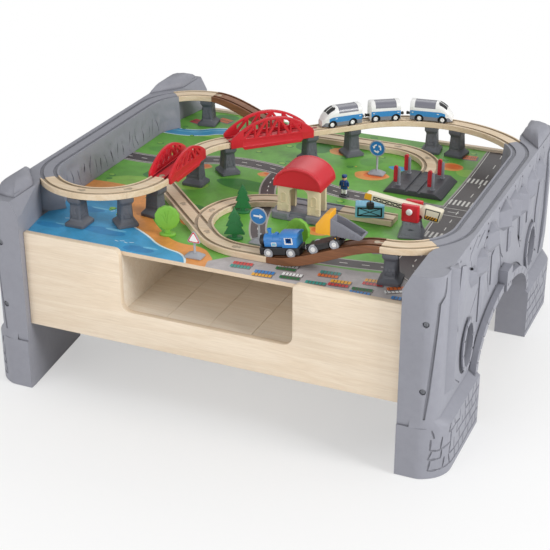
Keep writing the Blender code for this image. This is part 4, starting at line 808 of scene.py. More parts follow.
# cracks and slashes on the outer face, as lines of (y, z)
FACE_CRACKS = (
    ((-0.171, 0.276), (-0.190, 0.262), (-0.214, 0.246)), ((-0.195, 0.392), (-0.236, 0.373), (-0.241, 0.362)),
    ((-0.148, 0.383), (-0.170, 0.378), (-0.196, 0.368)), ((-0.122, 0.373), (-0.144, 0.352), (-0.166, 0.334)),
    ((-0.246, 0.350), (-0.226, 0.340), (-0.203, 0.326)), ((-0.232, 0.358), (-0.222, 0.336)),
    ((-0.100, 0.310), (-0.104, 0.270), (-0.090, 0.232)), ((-0.036, 0.322), (-0.010, 0.276), (0.006, 0.262)),
    ((0.110, 0.318), (0.122, 0.262), (0.150, 0.222)), ((0.074, 0.300), (0.084, 0.262)),
    ((0.168, 0.334), (0.176, 0.280), (0.172, 0.248)), ((0.246, 0.392), (0.232, 0.350)),
    ((0.270, 0.384), (0.256, 0.344), (0.262, 0.320)), ((0.214, 0.378), (0.206, 0.356)),
    ((0.312, 0.372), (0.304, 0.300), (0.318, 0.232), (0.312, 0.190)), ((0.336, 0.300), (0.344, 0.240)),
    ((-0.066, 0.352), (-0.048, 0.327), (-0.024, 0.296), (0.008, 0.221)),
    ((0.056, 0.338), (0.062, 0.300), (0.060, 0.262)), ((-0.128, 0.338), (-0.120, 0.300), (-0.127, 0.262)),
    ((0.110, 0.392), (0.088, 0.372)), ((0.128, 0.386), (0.120, 0.366)), ((-0.290, 0.146), (-0.262, 0.126)),
    ((-0.196, 0.142), (-0.206, 0.124)), ((0.206, 0.142), (0.214, 0.124)),
)
RING_OUTER = WALL_OUTER + 0.006      # face of the raised rings around the windows


def on_face(points, x=WALL_OUTER):
    return [(x, y, z) for y, z in points]


def ring_lines():
    """Joints between the stones round the arch and the windows."""
    lines = []
    for turn in range(0, 181, 12):
        if abs(turn - 90) <= 7:
            continue
        joint = [ellipse((0, ARCH_SPRING), (ARCH_HALF_WIDTH + grow, ARCH_RISE + grow), turn, turn, 1)[0]
                 for grow in (-0.002, ARCH_BAND + 0.001)]
        lines.append(on_face(joint, BAND_OUTER))
    for sign in (-1, 1):
        centre = (sign * OVAL_CENTRE[0], OVAL_CENTRE[1])
        for turn in range(10, 360, 36):
            joint = [ellipse(centre, [half + grow for half in OVAL_HALF], turn, turn, 1)[0]
                     for grow in (-0.001, OVAL_BAND + 0.001)]
            lines.append(on_face(joint, RING_OUTER))
    return lines


CORNER_LINE = ((0.393, 10), (0.372, 12), (0.360, 18), (0.348, 38), (0.310, 42), (0.240, 52),
               (0.170, 62), (0.122, 70))     # height, angle round the corner


def outline_grooves():
    """Grooves that run beside the arch and the windows, and down the corners, dark with the wall's painted
    crevice shade.
    """
    grow = ARCH_BAND + 0.0025
    half = (ARCH_HALF_WIDTH + grow, ARCH_RISE + grow)
    lines = [on_face(ellipse((0, ARCH_SPRING), half, first, last, 16))
             for first, last in ((4, 81), (99, 176))]
    half = [size + OVAL_BAND + 0.002 for size in OVAL_HALF]
    for sign, first in ((-1, 90), (1, -90)):
        centre = (sign * OVAL_CENTRE[0], OVAL_CENTRE[1])
        lines.append(on_face(ellipse(centre, half, first, first + 180, 16)))
        corner = (WALL_OUTER - WALL_CORNER, sign * (WALL_HALF_DEPTH - WALL_CORNER))
        lines.append([(*polar(corner, WALL_CORNER, sign * turn), height) for height, turn in CORNER_LINE])
    return lines


# tall slabs of rock that stand proud of the outer face, as (y, z) outlines
SLABS = (
    ((-0.300, 0.250), (-0.272, 0.256), (-0.254, 0.322), (-0.268, 0.366), (-0.296, 0.376), (-0.312, 0.300)),
    ((-0.168, 0.205), (-0.136, 0.236), (-0.124, 0.296), (-0.142, 0.322), (-0.166, 0.296)),
    ((-0.086, 0.244), (-0.050, 0.256), (-0.036, 0.300), (-0.060, 0.318), (-0.088, 0.306)),
    ((0.034, 0.262), (0.062, 0.258), (0.066, 0.300), (0.048, 0.318), (0.030, 0.312)),
    ((0.130, 0.246), (0.160, 0.232), (0.158, 0.318), (0.136, 0.338), (0.122, 0.300)),
    ((0.186, 0.262), (0.222, 0.262), (0.240, 0.318), (0.216, 0.342), (0.186, 0.322)),
    ((0.268, 0.176), (0.300, 0.150), (0.300, 0.292), (0.286, 0.330), (0.266, 0.262)),
    ((0.330, 0.130), (0.372, 0.126), (0.370, 0.372), (0.346, 0.356), (0.350, 0.230)),
)
SLAB_LEVELS = ((-0.003, 1.0), (0.0022, 1.0), (0.0060, 0.62))     # height over the face, share of the outline


def slab_stones():
    solids = []
    for outline in SLABS:
        middle = sum((Vector(point) for point in outline), Vector((0, 0))) / len(outline)
        rings = [on_face([middle.lerp(Vector(point), size) for point in outline], WALL_OUTER + depth)
                 for depth, size in SLAB_LEVELS]
        solids.append(loft(rings))
    return solids


# stones below the rim of the outer face and one beside the front corner: outline, how far they stand
# out, outermost points
RIDGE = (
    (((-0.242, 0.320), (-0.238, 0.342), (-0.200, 0.340), (-0.180, 0.305), (-0.222, 0.296)),
     0.012, ((-0.224, 0.334), (-0.216, 0.312))),
    (((-0.196, 0.312), (-0.194, 0.346), (-0.165, 0.358), (-0.120, 0.342), (-0.115, 0.305), (-0.165, 0.292)),
     0.016, ((-0.172, 0.344), (-0.166, 0.314))),
    (((-0.134, 0.330), (-0.138, 0.366), (-0.105, 0.384), (-0.060, 0.368), (-0.040, 0.335), (-0.085, 0.308)),
     0.018, ((-0.112, 0.371), (-0.098, 0.340))),
    (((-0.046, 0.344), (-0.050, 0.378), (0.000, 0.390), (0.050, 0.370), (0.055, 0.335), (0.000, 0.318)),
     0.0188, ((-0.026, 0.379), (-0.014, 0.340))),
    (((0.030, 0.340), (0.028, 0.376), (0.075, 0.382), (0.105, 0.355), (0.100, 0.320), (0.050, 0.314)),
     0.0188, ((0.052, 0.368), (0.054, 0.334))),
    (((0.090, 0.326), (0.092, 0.364), (0.135, 0.372), (0.175, 0.345), (0.165, 0.306), (0.112, 0.300)),
     0.0186, ((0.114, 0.354), (0.116, 0.320))),
    (((0.168, 0.320), (0.170, 0.364), (0.210, 0.377), (0.250, 0.352), (0.240, 0.312), (0.195, 0.302)),
     0.017, ((0.192, 0.356), (0.194, 0.326))),
    (((0.246, 0.328), (0.248, 0.368), (0.280, 0.380), (0.320, 0.360), (0.312, 0.322), (0.268, 0.312)),
     0.014, ((0.266, 0.360), (0.268, 0.334))),
    (((-0.360, 0.150), (-0.360, 0.403), (-0.310, 0.392), (-0.285, 0.300), (-0.300, 0.150)),
     0.0125, ((-0.347, 0.396), (-0.344, 0.300), (-0.342, 0.160))),
)
STONE_ROOT = 0.003       # how deep the stones reach into the wall


def ridge_stones():
    return [hull(on_face(outline, WALL_OUTER - STONE_ROOT) + on_face(peaks, WALL_OUTER + depth))
            for outline, depth, peaks in RIDGE]


def deck_level(share):
    """Height in the wall above the board at a share from 0 to 1."""
    return LOWER_LOW + (UPPER_TOP - LOWER_LOW) * share


def ripple_lines():
    """Slanting cracks in the inner face, just above the board."""
    chance = random.Random(11)
    lines = []
    for i in range(20):
        y = -0.214 + 0.0225 * i + chance.uniform(-0.004, 0.004)
        tilt = chance.uniform(-0.006, 0.010)
        top = chance.uniform(0.34, 0.62)
        line = []
        for level, along_y in ((0.10, 0), (0.10 + top / 2, tilt * 0.7), (0.10 + top, tilt)):
            lean = WALL_LEAN * (1 - level)
            x = ARC_X + CURVE_RADIUS - TRACK_WIDTH / 2 - lean + fold_depth(y + along_y, level)
            line.append((x, y + along_y, deck_level(level)))
        lines.append(line)
    return lines


DECK_LEVELS = 12
POCKET = (0.3973, 0.381)     # corner of the room for the board
LEDGE_THICK = 0.018
KEYSTONE = ((-0.015, ARCH_SPRING), (0.015, ARCH_SPRING), (0.019, 0.245), (-0.019, 0.245))
SCREW_X = 0.424
SCREW_HEIGHTS = (0.178, 0.310)
SCREW_BORE = 0.006
SCREW_FLOOR = 0.402
DOT_HEIGHT = 0.3875
DOTS = (-0.302, -0.243, -0.184, -0.126, -0.050, 0.008, 0.066, 0.124, 0.182, 0.296)
FOOT_DOT_HEIGHT = 0.212
FOOT_DOTS = (-0.006, 0.006)


def wall_parts(knob_sides):
    """Solids that are joined to the legs of the right wall."""
    board_low = BOARD_TOP - BOARD_THICK
    slice_plan = block_outline(WALL_INNER, WALL_OUTER, WALL_HALF_DEPTH, WALL_CORNER)
    ledge = slice_plan + [(WALL_INNER, POCKET[1]), POCKET, (POCKET[0], -POCKET[1]), (WALL_INNER, -POCKET[1])]
    foot = block_outline(WALL_JAMB_INNER, FOOT_OUTER, FOOT_HALF_DEPTH, FOOT_CORNER)
    foot_top = block_outline(WALL_JAMB_INNER, WALL_OUTER - GAP, WALL_HALF_DEPTH - GAP, WALL_CORNER)
    toe = block_outline(WALL_INNER, WALL_OUTER - GAP, FOOT_HALF_DEPTH, WALL_CORNER)
    shares = [i / DECK_LEVELS for i in range(DECK_LEVELS + 1)]
    plinth = ((foot, 0), (foot, FOOT_TOP), (foot_top, FOOT_SHOULDER))
    return [
        loft([[(x, y, height) for x, y in plan] for plan, height in plinth]),
        cut(prism(toe, 0, FOOT_TOP + GAP), [prism(rectangle(0.5, FLANGE_DEPTH), -0.01, LEG_TOP)]),
        prism(slice_plan, PANEL_LOW, board_low - GAP),
        prism(ledge, board_low - LEDGE_THICK, BOARD_TOP + 2 * GAP),
        loft([[(x, y, deck_level(share)) for x, y in deck_outline(share)] for share in shares]),
        *[knob(side) for side in knob_sides],
        prism_x(arch_outline(ARCH_BAND, FOOT_TOP - 2 * GAP), WALL_JAMB_INNER, BAND_OUTER),
        prism_x(KEYSTONE, WALL_JAMB_INNER + GAP, FOOT_OUTER),
        oval(-1, OVAL_BAND, WALL_JAMB_INNER, RING_OUTER),
        oval(1, OVAL_BAND, WALL_JAMB_INNER, RING_OUTER),
        join(slab_stones()),
    ]


def wall_openings():
    """Cutters for the arch, the blind windows, the shoulders, the track and the screws."""
    mouth = FOOT_OUTER + ARCH_BAND
    cutters = [prism_x(arch_outline(0, -0.01), WALL_INNER - ARCH_BAND, mouth)]
    cutters += [oval(sign, 0, WALL_OUTER - 0.006, mouth) for sign in (-1, 1)]
    cutters += [shoulder_cut(sign) for sign in (-1, 1)]
    cutters += wall_track()
    for sign in (-1, 1):
        ends = sorted((sign * SCREW_FLOOR, sign * FOOT_HALF_DEPTH))
        cutters += [cylinder((SCREW_X, 0, height), SCREW_BORE, *ends, 20, "Y") for height in SCREW_HEIGHTS]
    return cutters


def wall_engraving():
    """Dots, and the lines between and beside the stones."""
    marks = [cylinder((0, y, DOT_HEIGHT), 0.0026, WALL_OUTER - 0.0030, WALL_OUTER + 0.02, 10, "X")
             for y in DOTS]
    marks += [cylinder((0, y, FOOT_DOT_HEIGHT), 0.0028, FOOT_OUTER - 0.0014, FOOT_OUTER + 0.02, 10, "X")
              for y in FOOT_DOTS]
    marks += [tube(line, 0.0024, taper=0.6) for line in stone_lines()]
    marks += [moved(tube(line, 0.0024, taper=0.6), Matrix.Scale(-1, 4, (0, 1, 0))) for line in stone_lines()]
    marks += [tube(on_face(line), 0.0030, taper=0.5) for line in FACE_CRACKS]
    marks += [tube(line, 0.0020, taper=0.4) for line in ripple_lines()]
    marks += [tube(line, 0.0019, taper=1) for line in ring_lines()]
    marks += [tube(line, 0.0036, taper=0.6) for line in outline_grooves()]
    return marks


def wall_mesh(knob_sides):
    """The wall on the right, with a rock on the corners at the given sides."""
    legs = block_outline(WALL_INNER, WALL_OUTER, WALL_HALF_DEPTH, WALL_CORNER)
    legs += [(WALL_INNER, FLANGE_DEPTH), (WALL_JAMB_INNER, ARCH_HALF_WIDTH),
             (WALL_JAMB_INNER, -ARCH_HALF_WIDTH), (WALL_INNER, -FLANGE_DEPTH)]
    body = union(prism(legs, 0, LEG_TOP), wall_parts(knob_sides))
    body = union(body, [join(ridge_stones())], crossing=True)
    body = cut(body, [join(wall_openings())])
    return cut(body, [join(wall_engraving())], crossing=True)


def build_walls():
    for side, mesh in (("right", wall_mesh((1,))), ("left", mirrored(wall_mesh((-1, 1))))):
        piece(f"{side}_wall_rock", [(mesh, "wall")], "table", [f"{side}_end_wall"], smooth=24)
    shade_plates = []
    screws = []
    for place in (lambda mesh: mesh, mirrored):
        for sign in (-1, 1):
            # dark plate at the back of each blind window: painted shade in the recess
            shade_plate = oval(sign, -GAP, WALL_OUTER - 0.0058, WALL_OUTER - 0.0038)
            shade_plates.append((place(shade_plate), "recess_shade"))
            screws += [(place(screw_head(height, sign)), "steel") for height in SCREW_HEIGHTS]
    piece("window_shade_plates", shade_plates, "table")
    piece("wall_screws", screws, "table")


SCREW_PROFILE = ((0, 0), (0.0048, 0), (0.0050, 0.0008), (0.0040, 0.0018), (0, 0.0022))
SLOT_LONG = 0.0022
SLOT_WIDE = 0.0005
SLOT_FLOOR = 0.0012


def screw_head(height, sign):
    """Countersunk screw with a crossed recess, in a bore at an end of the wall."""
    halves = ((SLOT_LONG, SLOT_WIDE), (SLOT_WIDE, SLOT_LONG))
    slots = [box((-a, -b, SLOT_FLOOR), (a, b, 0.004)) for a, b in halves]
    head = cut(revolve(SCREW_PROFILE, 20), [join(slots)], crossing=True)
    turn = Matrix.Rotation(math.radians(90 * -sign), 4, "X")
    return moved(head, Matrix.Translation((SCREW_X, sign * (SCREW_FLOOR + 0.0002), height)) @ turn)


# track geometry: a pose is (x, y, heading)

def along(pose, length):
    x, y, heading = pose
    angle = math.radians(heading)
    return (x + length * math.cos(angle), y + length * math.sin(angle), heading)


def around(pose, radius, turn):
    """Pose after an arc. A positive turn bends to the left."""
    x, y, heading = pose
    side = math.copysign(1, turn)
    old = math.radians(heading)
    new = math.radians(heading + turn)
    return (x + side * radius * (math.sin(new) - math.sin(old)),
            y - side * radius * (math.cos(new) - math.cos(old)), heading + turn)


def straight_line(pose, length):
    return [along(pose, GAP / 2), along(pose, length - GAP / 2)]


def curved_line(pose, radius, turn):
    steps = max(8, round(abs(turn) * radius / CURVE_RADIUS / 3))
    trim = math.copysign(math.degrees(GAP / 2 / radius), turn)
    return [around(pose, radius, trim + (turn - 2 * trim) * i / steps) for i in range(steps + 1)]


def track_section(low, high):
    """Cross-section of a track with its two wheel grooves and broken edges."""
    half = TRACK_WIDTH / 2
    edge = 0.0009
    lip = 0.0004
    near = GROOVE_OFFSET - GROOVE_WIDTH / 2
    far = GROOVE_OFFSET + GROOVE_WIDTH / 2
    floor = high - GROOVE_DEPTH
    right = [(half - edge, low), (half, low + edge), (half, high - edge), (half - edge, high),
             (far + lip, high), (far, high - lip), (far, floor), (near, floor), (near, high - lip),
             (near - lip, high)]
    left = [(-across, height) for across, height in reversed(right)]
    return right + left


def sweep(poses, sections):
    """Solid that carries a cross-section of (across, height) along a line of poses."""
    rings = []
    for (x, y, heading), section in zip(poses, sections):
        angle = math.radians(heading)
        rings.append([(x + across * math.sin(angle), y - across * math.cos(angle), height)
                      for across, height in section])
    return loft(rings)


def placed(mesh, pose):
    """Mesh moved to a pose on the board."""
    x, y, heading = pose
    return moved(mesh, Matrix.Translation((x, y, 0)) @ Matrix.Rotation(math.radians(heading), 4, "Z"))


def key_shape(grow, back, low, high):
    """Round-headed connector that points along X."""
    neck = 0.003 + grow
    disc = 0.0055 + grow
    open_angle = 180 - math.degrees(math.asin(neck / disc))
    head = arc((0.011, 0), disc, -open_angle, open_angle, 20)
    return prism([(-back, -neck)] + head + [(-back, neck)], low, high)


def with_key(body, pose, low, high):
    return union(body, [placed(key_shape(0, 0.0055, low + GAP, high - GAP), pose)])


def with_socket(body, pose, low, high):
    return cut(body, [placed(key_shape(0.0006, 0.0055, low - 0.006, high + 0.006), pose)])


def track(poses, low, high, socket=True, key=True):
    body = sweep(poses, [track_section(low, high)] * len(poses))
    if key:
        body = with_key(body, poses[-1], low, high)
    if socket:
        body = with_socket(body, poses[0], low, high)
    return body


def upper_curve(pose, turn, socket=True, key=True, radius=CURVE_RADIUS):
    return track(curved_line(pose, radius, turn), UPPER_LOW, UPPER_TOP, socket, key)


def lower_line(pose, parts, socket=True, key=True):
    """Pieces on the board: a length runs straight and a negative number of degrees turns right."""
    line = []
    for part in parts:
        if part > 0:
            line += straight_line(pose, part)
            pose = along(pose, part)
        else:
            line += curved_line(pose, CURVE_RADIUS, part)
            pose = around(pose, CURVE_RADIUS, part)
    return track(line, LOWER_LOW, LOWER_TOP, socket, key), pose


# railway

BRIDGE_LENGTHS = (0.156, 0.186)
BRIDGE_RISES = (0.031, 0.041)
RAMP_LENGTH = 0.216
RAMP_BELLY = 0.008
EXPRESS_PIER_BACK = 0.026
EXPRESS_PIER_TURNS = (-38, -52)
CLEAR_OF_SPUR = 9
CLEAR_OF_RAMP = 8
SHORT_STRAIGHT = 0.060
LONG_STRAIGHT = 0.144
SWITCH_LEAD = 0.0127
SWITCH_TURN = 46
SWITCH_LIFTS = (0.0055, 0.0058)      # how far the cutters of the two routes rise over the track
STATION_TRACK = 0.116
YARD_STRAIGHT = 0.110
PIER_HEIGHT = UPPER_LOW - GAP - LOWER_LOW


PIER_COURSES = 5
PIER_COURSE = 0.0068         # height of a course of stones
PIER_JOINT = 0.0007
PIER_SIDE = 0.0122           # reach of the joints along the track and across it
PIER_FACE = 0.0165


def pier_shape():
    """Pier with a spread foot, a flared cap and courses of stone."""
    top = PIER_HEIGHT
    levels = ((0, 0.0224, 0.0204), (0.0006, 0.023, 0.021), (0.0055, 0.023, 0.021), (0.0065, 0.0220, 0.0198),
              (0.0115, 0.0180, 0.0136), (0.0130, 0.0173, 0.0128), (top - 0.0150, 0.0155, 0.0110),
              (top - 0.0140, 0.0160, 0.0114), (top - 0.0085, 0.0200, 0.0136), (top - 0.0075, 0.0205, 0.0140),
              (top - 0.0006, 0.0205, 0.0140), (top, 0.0200, 0.0135))      # height, half width, half depth
    body = loft([[(a, b, LOWER_LOW + level) for a, b in chamfered(half_along, half_across, 0.003)]
                 for level, half_across, half_along in levels])
    chance = random.Random(2)
    lines = []
    for i in range(PIER_COURSES):
        low = LOWER_LOW + 0.0175 + PIER_COURSE * i
        high = low + PIER_COURSE
        for sign in (-1, 1):
            side = sign * PIER_SIDE
            face = sign * 0.0168
            lines.append([(side, -PIER_FACE, low), (side, PIER_FACE, low)])
            lines.append([(-PIER_SIDE, face, low), (PIER_SIDE, face, low)])
        if i + 1 == PIER_COURSES:
            continue
        for _ in range(2):
            across = chance.uniform(-0.012, 0.012)
            deep = chance.uniform(-0.008, 0.008)
            for sign in (-1, 1):
                lines.append([(sign * 0.0120, across, low), (sign * 0.0118, across, high)])
                lines.append([(deep, sign * 0.0167, low), (deep, sign * 0.0165, high)])
    return cut(body, [join([tube(line, PIER_JOINT, 5, 1) for line in lines])], crossing=True)


PIER = pier_shape()


def add_piers(name, poses, node):
    parts = [(placed(PIER.copy(), pose), "pier") for pose in poses]
    piece(name, parts, "table", [node])


TRUSS_BAYS = 7
TRUSS_THICK = 0.005
TRUSS_STEP = 0.024           # length of the feet at both ends
TRUSS_RIM = 0.006            # width of the chords
TRUSS_BAR = 0.0018           # half width of a diagonal
TRUSS_DENT = 0.0006


def truss_windows(length, crown):
    """Triangular openings of a bridge side, two in each bay, as (x, z) outlines."""
    bar = TRUSS_BAR
    slant = 2.2 * bar
    chord = UPPER_TOP + TRUSS_RIM
    shapes = []
    for bay in range(1, TRUSS_BAYS - 1):
        left = length * bay / TRUSS_BAYS + bar
        right = length * (bay + 1) / TRUSS_BAYS - bar
        high_left = crown(left) - TRUSS_RIM
        high_right = crown(right) - TRUSS_RIM
        if bay < TRUSS_BAYS / 2:
            shapes += [[(left, chord + slant), (right - slant, high_right), (left, high_left)],
                       [(left + slant, chord), (right, chord), (right, high_right - slant)]]
        else:
            shapes += [[(left, chord), (right - slant, chord), (left, high_left - slant)],
                       [(right, chord + slant), (right, high_right), (left + slant, high_left)]]
    return shapes


def truss(length, rise, across):
    """Arched side of a bridge, in the frame of its deck."""
    def crown(distance):
        return UPPER_TOP + 0.005 + rise * math.sin(math.pi * min(1, max(0, distance / length))) ** 0.8

    belly = UPPER_LOW - TRUSS_RIM
    foot = TRUSS_STEP + 0.006
    outline = [(0, UPPER_LOW), (TRUSS_STEP, UPPER_LOW), (foot, belly), (length - TRUSS_STEP - 0.006, belly),
               (length - TRUSS_STEP, UPPER_LOW), (length, UPPER_LOW)]
    outline += [(length * i / 32, crown(length * i / 32)) for i in range(32, -1, -1)]
    windows = [prism_y(shape, across - TRUSS_THICK, across + TRUSS_THICK)
               for shape in truss_windows(length, crown)]
    bay = length / TRUSS_BAYS
    dents = []
    for sign in (-1, 1):
        face = across + sign * TRUSS_THICK / 2
        dents.append(box((bay, face - TRUSS_DENT, UPPER_LOW + 0.001),
                         (length - bay, face + TRUSS_DENT, UPPER_TOP + 0.0025)))
    plate = prism_y(outline, across - TRUSS_THICK / 2, across + TRUSS_THICK / 2)
    return soften(cut(plate, [join(windows), join(dents)]), 0.0005, 2, 40)


def bridge(pose, length, rise):
    deck = track(straight_line((0, 0, 0), length), UPPER_LOW, UPPER_TOP)
    offset = TRACK_WIDTH / 2 + 0.002
    sides = [shifted(truss(length - GAP, rise, across), GAP / 2) for across in (-offset, offset)]
    return placed(union(deck, sides), pose)


def ramp_height(share):
    """Top of a ramp at a share of its length, from its high end."""
    return UPPER_TOP - (UPPER_TOP - LOWER_TOP) * share * share * (3 - 2 * share)


def ramp(pose, steps=48):
    trim = GAP / 2
    poses = []
    sections = []
    for i in range(steps + 1):
        share = i / steps
        poses.append(along(pose, trim + (RAMP_LENGTH - 2 * trim) * share))
        top = ramp_height(share)
        low = top - 0.012 - RAMP_BELLY * math.sin(math.pi * share)
        sections.append(track_section(max(low, LOWER_LOW), top))
    body = with_key(sweep(poses, sections), poses[-1], LOWER_LOW, LOWER_TOP)
    return with_socket(body, poses[0], UPPER_LOW, UPPER_TOP)


# painted shade: each track look maps to its darker copy, used inside the wheel grooves
GROOVE_SHADE_LOOKS = {"beech": "groove", "brown": "brown_groove_shade", "red": "red_groove_shade"}


def with_groove_shade(look, top_at):
    """Look of a track piece with painted shade in its wheel grooves: a darker copy of its look there."""
    def choose(face):
        point = face.calc_center_median()
        depth = top_at(point.x) - point.z
        across = abs(face.normal.z)
        inside = GAP < depth < GROOVE_DEPTH + GAP and (across < 0.3 or across > 0.9)
        return GROOVE_SHADE_LOOKS[look] if inside else look
    return choose


def level_top(x):
    return UPPER_TOP


def board_track_top(x):
    return LOWER_TOP


def ramp_top(x):
    return ramp_height((ARC_X - abs(x)) / RAMP_LENGTH)


def wooden(name, mesh, node=None, look="beech", top_at=level_top):
    piece(name, [(mesh, with_groove_shade(look, top_at))], "table", [node or name])


def build_bridges(pose):
    """Both bridges and the curve between them, with their piers. Returns the pose behind them."""
    for name, length, rise, turn in (("bridge_front", BRIDGE_LENGTHS[0], BRIDGE_RISES[0], -45),
                                     ("bridge_middle", BRIDGE_LENGTHS[1], BRIDGE_RISES[1], 0)):
        wooden(name + "_arch", bridge(pose, length, rise), name, "red")
        pose = along(pose, length)
        add_piers(name + "_pier", [pose], name)
        if turn:
            wooden("middle_curve_wood", upper_curve(pose, turn), "upper_middle_curve")
            pose = around(pose, CURVE_RADIUS, turn)
            add_piers("middle_curve_pier", [pose], "upper_middle_curve")
    return pose


def build_express_track(pose):
    """Straight and two arcs that end at the wall. Returns where the arcs start, and their radius."""
    end = polar((ARC_X, LOOP_Y), CURVE_RADIUS, 45)
    reach = end[0] - pose[0]
    climb = end[1] - pose[1]
    radius = (reach - climb) / math.sqrt(2)
    curve_start = along(pose, climb * math.sqrt(2))
    half = around(curve_start, radius, -45)
    body = join([track(straight_line(pose, climb * math.sqrt(2)), UPPER_LOW, UPPER_TOP),
                 upper_curve(curve_start, -45, radius=radius),
                 upper_curve(half, -45, key=False, radius=radius)])
    wooden("express_track_wood", body, "express_track")
    places = [along(curve_start, -EXPRESS_PIER_BACK)]
    places += [around(curve_start, radius, turn) for turn in EXPRESS_PIER_TURNS]
    add_piers("express_piers", places, "express_track")
    return curve_start, radius


def build_ramps():
    """Curves off the walls, each with a ramp down to the board. Returns the feet of the ramps."""
    feet = []
    for name, ramp_name, x_side, y_side in (("upper_right_curve", "ramp_front", 1, -1),
                                            ("upper_back_curve", "ramp_back", -1, 1)):
        heading = 225 if y_side < 0 else 45
        start = (*polar((x_side * ARC_X, y_side * LOOP_Y), CURVE_RADIUS, heading + 90), heading)
        end = around(start, CURVE_RADIUS, -45)
        wooden(name + "_wood", upper_curve(start, -45, socket=False), name)
        add_piers(name + "_pier", [around(start, CURVE_RADIUS, CLEAR_OF_RAMP - 45)], name)
        wooden(ramp_name + "_wood", ramp(end), ramp_name, "brown", ramp_top)
        feet.append(along(end, RAMP_LENGTH))
    return feet


def build_upper_railway():
    """Returns where the express curve starts, its radius, and the feet of the front and back ramp."""
    pose = (*polar((-ARC_X, -LOOP_Y), CURVE_RADIUS, 225), -45)
    turns = (45, 90, 135 - CLEAR_OF_SPUR)
    body = upper_curve(pose, 45, socket=False)
    for i in (1, 2):
        body = join([body, upper_curve(around(pose, CURVE_RADIUS, 45 * i), 45)])
    wooden("front_curve_wood", body, "upper_front_curve")
    add_piers("front_curve_piers", [around(pose, CURVE_RADIUS, turn) for turn in turns], "upper_front_curve")
    pose = build_bridges(around(pose, CURVE_RADIUS, 135))
    curve_start, radius = build_express_track(pose)
    front_foot, back_foot = build_ramps()
    return curve_start, radius, front_foot, back_foot


def groove_cutters(poses, lift):
    """Cutters for the two wheel grooves in the track on the board."""
    floor = LOWER_TOP - GROOVE_DEPTH
    half = GROOVE_WIDTH / 2
    return [sweep(poses, [[(across - half, floor), (across + half, floor), (across + half, LOWER_TOP + lift),
                           (across - half, LOWER_TOP + lift)]] * len(poses))
            for across in (-GROOVE_OFFSET, GROOVE_OFFSET)]


def switch(pose):
    """Switch whose branch leaves to the right."""
    length = LONG_STRAIGHT
    half = TRACK_WIDTH / 2
    block = [(half, LOWER_LOW), (half, LOWER_TOP), (-half, LOWER_TOP), (-half, LOWER_LOW)]
    lower_block = [(across, min(height, LOWER_TOP - GAP / 2)) for across, height in block]
    fork = along(pose, SWITCH_LEAD)
    main = straight_line(pose, length)
    branch = curved_line(fork, CURVE_RADIUS, -SWITCH_TURN)
    body = union(sweep(main, [block] * 2), [sweep(branch, [lower_block] * len(branch))])
    past = [along(pose, -0.003), along(pose, length + 0.003)]
    cutters = groove_cutters(past, SWITCH_LIFTS[0])
    cutters += groove_cutters(curved_line(fork, CURVE_RADIUS, -SWITCH_TURN - 1), SWITCH_LIFTS[1])
    body = cut(body, cutters)
    body = with_key(body, branch[-1], LOWER_LOW, LOWER_TOP - GAP)
    body = with_key(body, main[-1], LOWER_LOW, LOWER_TOP)
    body = with_socket(body, main[0], LOWER_LOW, LOWER_TOP)
    spur, _ = lower_line(along(pose, length), [length], key=False)
    return [body, spur], around(fork, CURVE_RADIUS, -SWITCH_TURN)


def build_lower_railway(front_pose, back_pose):
    """Returns the poses where the back line enters the crossing and the yard line the station."""
    straight, pose = lower_line(front_pose, [SHORT_STRAIGHT])
    curve, pose = lower_line(pose, [-45])
    wooden("front_track_wood", join([straight, curve]), "front_track", top_at=board_track_top)
    body, pose = switch(pose)
    wooden("switch_track_wood", join(body), "switch_track", top_at=board_track_top)
    first, middle = lower_line(pose, [SWITCH_TURN - 91])
    second, station_pose = lower_line(middle, [-44], key=False)
    wooden("branch_track_wood", join([first, second]), "branch_track", top_at=board_track_top)
    yard_start = along(station_pose, STATION_TRACK)
    yard, _ = lower_line(yard_start, [YARD_STRAIGHT], socket=False, key=False)
    wooden("yard_track_wood", yard, "yard_track", top_at=board_track_top)
    first, pose = lower_line(back_pose, [RAMP_LENGTH])
    second, pose = lower_line(pose, [-45])
    third, crossing_pose = lower_line(pose, [-45], key=False)
    wooden("back_track_wood", join([first, second, third]), "back_track", top_at=board_track_top)
    return crossing_pose, station_pose


# board

def blob(x, y, half_x, half_y, seed, wobble=0.16, count=30):
    """Rounded patch with an uneven rim."""
    chance = random.Random(seed)
    waves = [(k, chance.uniform(0, 6.28), chance.uniform(0.3, 1) / k) for k in (2, 3, 5, 7)]
    outline = []
    for i in range(count):
        angle = 2 * math.pi * i / count
        size = 1 + wobble * sum(math.sin(k * angle + shift) * share for k, shift, share in waves)
        outline.append((x + half_x * size * math.cos(angle), y + half_y * size * math.sin(angle)))
    return outline


def smooth_line(points, rounds=3):
    """Line with its corners cut again and again."""
    for _ in range(rounds):
        finer = [points[0]]
        for (ax, ay), (bx, by) in zip(points, points[1:]):
            finer += [(ax * near + bx * (1 - near), ay * near + by * (1 - near)) for near in (0.75, 0.25)]
        points = finer + [points[-1]]
    return points


def ribbon(points, half, shift=0.0):
    """Strip along a line of points."""
    left = []
    right = []
    for i, point in enumerate(points):
        ahead = Vector(points[min(i + 1, len(points) - 1)]) - Vector(points[max(i - 1, 0)])
        side = Vector((-ahead.y, ahead.x)).normalized()
        left.append(tuple(Vector(point) + side * (shift + half)))
        right.append(tuple(Vector(point) + side * (shift - half)))
    return left + right[::-1]


def block(x, y, half_x, half_y, turn=0):
    angle = math.radians(turn)
    return [(x + a * math.cos(angle) - b * math.sin(angle), y + a * math.sin(angle) + b * math.cos(angle))
            for a, b in rectangle(half_x, half_y)]


